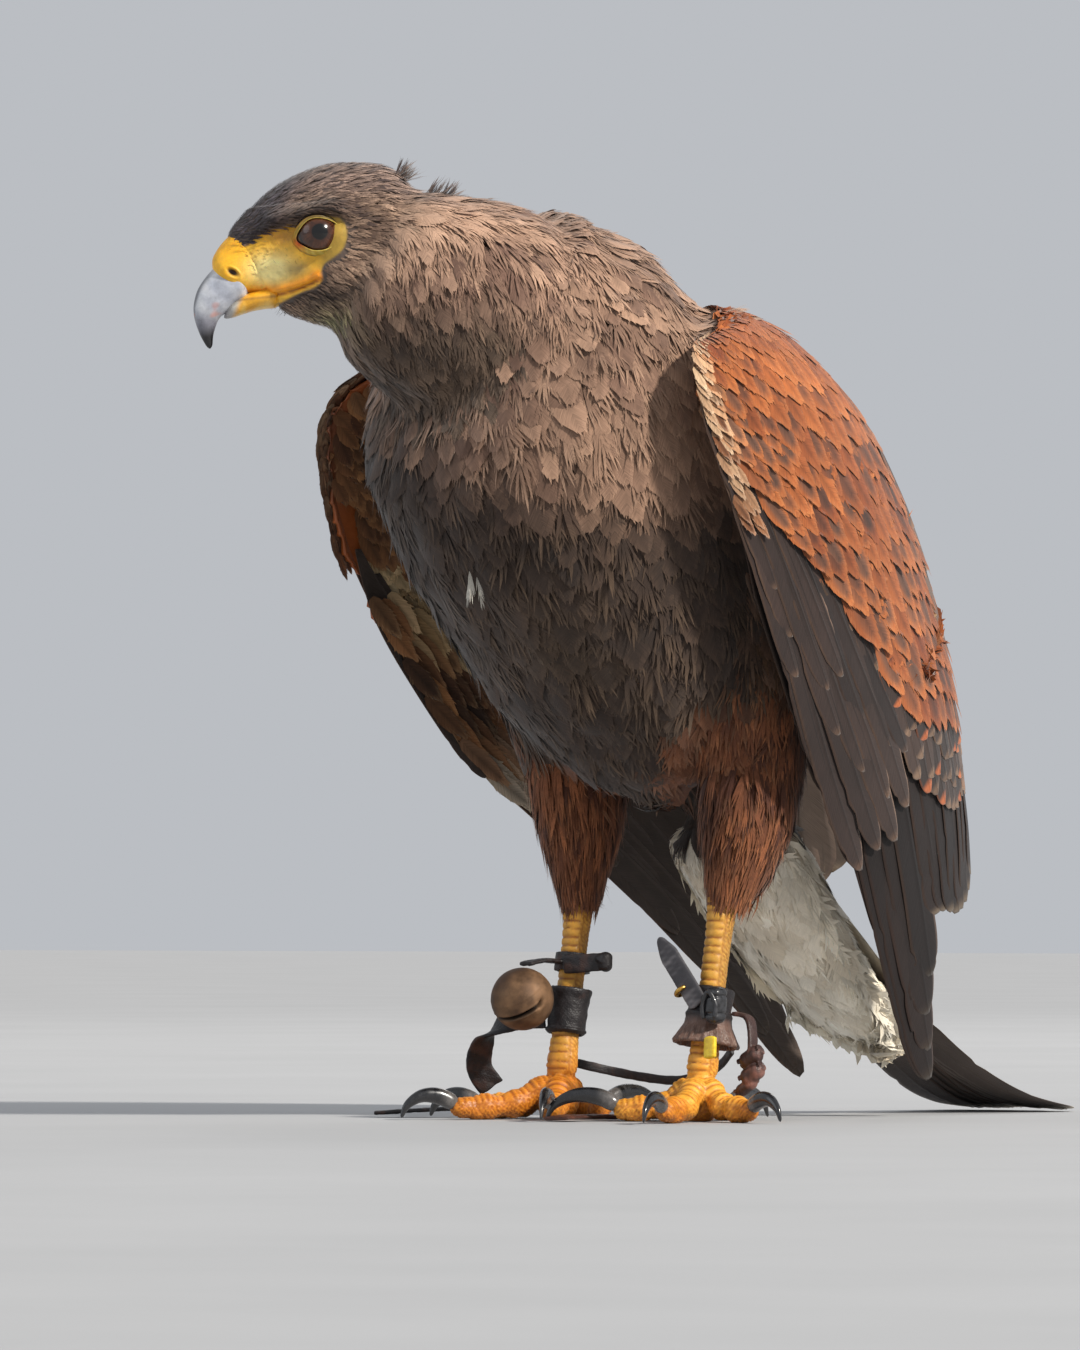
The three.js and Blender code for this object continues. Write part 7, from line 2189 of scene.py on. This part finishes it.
def roll(dx, z, r):
    p, q = np.array([rim[0] + 12.5 + dx, rim[1] + 0.5, z - 2.5]), np.array([rim[0] + 20 + dx, rim[1] + 2, z + 2.5])
    k = unit(q - p)
    out = [loft([(list(p), r), (list(q), r)], nu=40, nv=30, side=UP, cap=0.3)]
    for e in (p, q):
        side = unit(np.cross(k, UP))
        up = np.cross(k, side)
        turnsv = [list(e + (side * math.cos(x * 0.7) + up * math.sin(x * 0.7)) * (r * (0.28 + 0.055 * x)) + k * (0.0)) for x in range(10)]
        out.append(loft([(x, 0.34) for x in turnsv], nu=8, nv=40, cap=0.05))
    return out


hanger = strap([[rim[0] + 7, rim[1] + 2.6, 37], [rim[0] + 12.6, rim[1] + 4, 35.5], [rim[0] + 16, rim[1] + 2.2, 29], [rim[0] + 16.4, rim[1] + 1.2, 22]], 2.2, (0, 1, 0))
leather("button_roll", roll(0, 22, 3) + roll(0.5, 16.5, 3) + roll(-2, 12, 2.2) + [hanger], "button_left", "leather_dark", srgb(58, 38, 34), srgb(132, 92, 82), 0.34, 3, 0.12, seed=471)

brass_m, nt, bs = material("eyelet brass", 0.3, 0.5, Metallic=0.9)
n1 = noise(nt, 700.0, 4.0)
nt.links.new(ramp(nt, n1, [(0.3, srgb(150, 112, 50)), (0.7, srgb(206, 164, 84))]), bs.inputs["Base Color"])
nt.links.new(grey(nt, n1, 0.2, 0.42, 0.3, 0.7), bs.inputs["Roughness"])
bump(nt, bs, n1, 0.15, 0.0001)
th = np.linspace(0, 2 * math.pi, 20, endpoint=False)
prof = [(2.2 + 0.8 * math.cos(x), 0.8 * math.sin(x)) for x in th]
V, T, Q = revolve(prof, np.array([rim[0] - 5.5, rim[1] - 9.8, 44.6]), unit(np.array([-math.sin(math.radians(41)), 0, math.cos(math.radians(41))])), 60)
piece(mesh_object("eyelet_ring", V, T, Q, mats=[brass_m]), "eyelet_brass", ["eyelet_left"])

thin = strap([[33, 15.5, 25], [20, 22, 18], [0, 26, 13.5], [-17, 25, 14.5], [-27, 20.5, 16.5], [-33, 7.8, 19.5]], 1.6, UP)
leather("jess_left_band", [thin], "jess_left", "leather_dark", BLACK, BROWN * 0.8, 0.32, 3, 0.08, seed=481)
under = strap([[10, 6, 1.6], [2, -8, 1.4], [-4, -24, 1.6], [-2, -38, 1.2]], 5, (1, 0, 0))
leather("jess_left_tail", [under], "jess_left_end", "leather_dark", srgb(70, 38, 28), srgb(128, 74, 52), 0.34, 3, 0.16, seed=491)

# ------------------------------------------------------------------------------ build the coats
for coat in coats:
    coat.build()

# ------------------------------------------------------------------------------ floor, camera, light
bpy.ops.mesh.primitive_plane_add(size=24.0, location=(0, 0, 0))
floor = bpy.context.object
floor.name = "floor"
floor_m, nt, bs = material("floor", 0.75, 0.25)
n1 = noise(nt, 6.0, 5.0)
nt.links.new(ramp(nt, n1, [(0.3, (0.405, 0.41, 0.42)), (0.7, (0.435, 0.44, 0.45))]), bs.inputs["Base Color"])
floor.data.materials.append(floor_m)
floor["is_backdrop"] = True

A, EL = math.radians(41.0), math.radians(-1.5)
target = np.array([math.cos(A), math.sin(A), 0]) * -31.38 + np.array([0, 0, 153.4])
eye_at = target + 3200.0 * np.array([math.sin(A) * math.cos(EL), -math.cos(A) * math.cos(EL), math.sin(EL)])
cam = bpy.data.cameras.new("camera")
cam_o = bpy.data.objects.new("camera", cam)
bpy.context.scene.collection.objects.link(cam_o)
cam_o.location = Vector((eye_at + OFF) * 0.001)
cam_o.rotation_euler = (Vector((target + OFF) * 0.001) - cam_o.location).to_track_quat("-Z", "Y").to_euler()
cam.sensor_fit = "VERTICAL"
cam.sensor_height = 36.0
cam.sensor_width = 28.8
cam.lens = 36.0 * 3200.0 / 465.5
cam.clip_start, cam.clip_end = 0.05, 60.0
bpy.context.scene.camera = cam_o


def lamp(name, at, size, power, colour, aim=(0, 0, 0.17)):
    d = bpy.data.lights.new(name, "AREA")
    d.shape = "DISK"
    d.size, d.energy, d.color = size, power, colour
    o = bpy.data.objects.new(name, d)
    bpy.context.scene.collection.objects.link(o)
    o.location = Vector(at)
    o.rotation_euler = (Vector(aim) - o.location).to_track_quat("-Z", "Y").to_euler()
    return o


sun = bpy.data.lights.new("key", "SUN")
sun.energy, sun.angle, sun.color = 4.3, math.radians(5), (1.0, 0.95, 0.87)
sun_o = bpy.data.objects.new("key", sun)
bpy.context.scene.collection.objects.link(sun_o)
sun_o.rotation_euler = Vector((-0.829, 0.008, -0.56)).to_track_quat("-Z", "Y").to_euler()
lamp("fill", (-1.4, -2.6, 1.3), 2.0, 11.0, (0.90, 0.95, 1.0))
lamp("back", (-0.9, 2.4, 1.9), 1.2, 12.0, (1.0, 0.98, 0.94))
world = bpy.data.worlds.new("world")
bpy.context.scene.world = world
world.use_nodes = True
world.node_tree.nodes["Background"].inputs["Color"].default_value = (0.80, 0.83, 0.88, 1)
world.node_tree.nodes["Background"].inputs["Strength"].default_value = 0.62
bpy.context.scene.view_settings.view_transform = "Standard"
bpy.context.scene.view_settings.look = "None"

total = sum(len(o.data.polygons) * (1 if o.name.startswith(("coat", "flight", "great", "tail")) else 2) for o in bpy.data.objects if o.type == "MESH")
print("faces about", total)
plain = lambda b: json.loads(json.dumps(b, default=lambda x: [float(v) for v in x]))
{"cad": plain(cad_box), "visual": plain(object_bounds())}
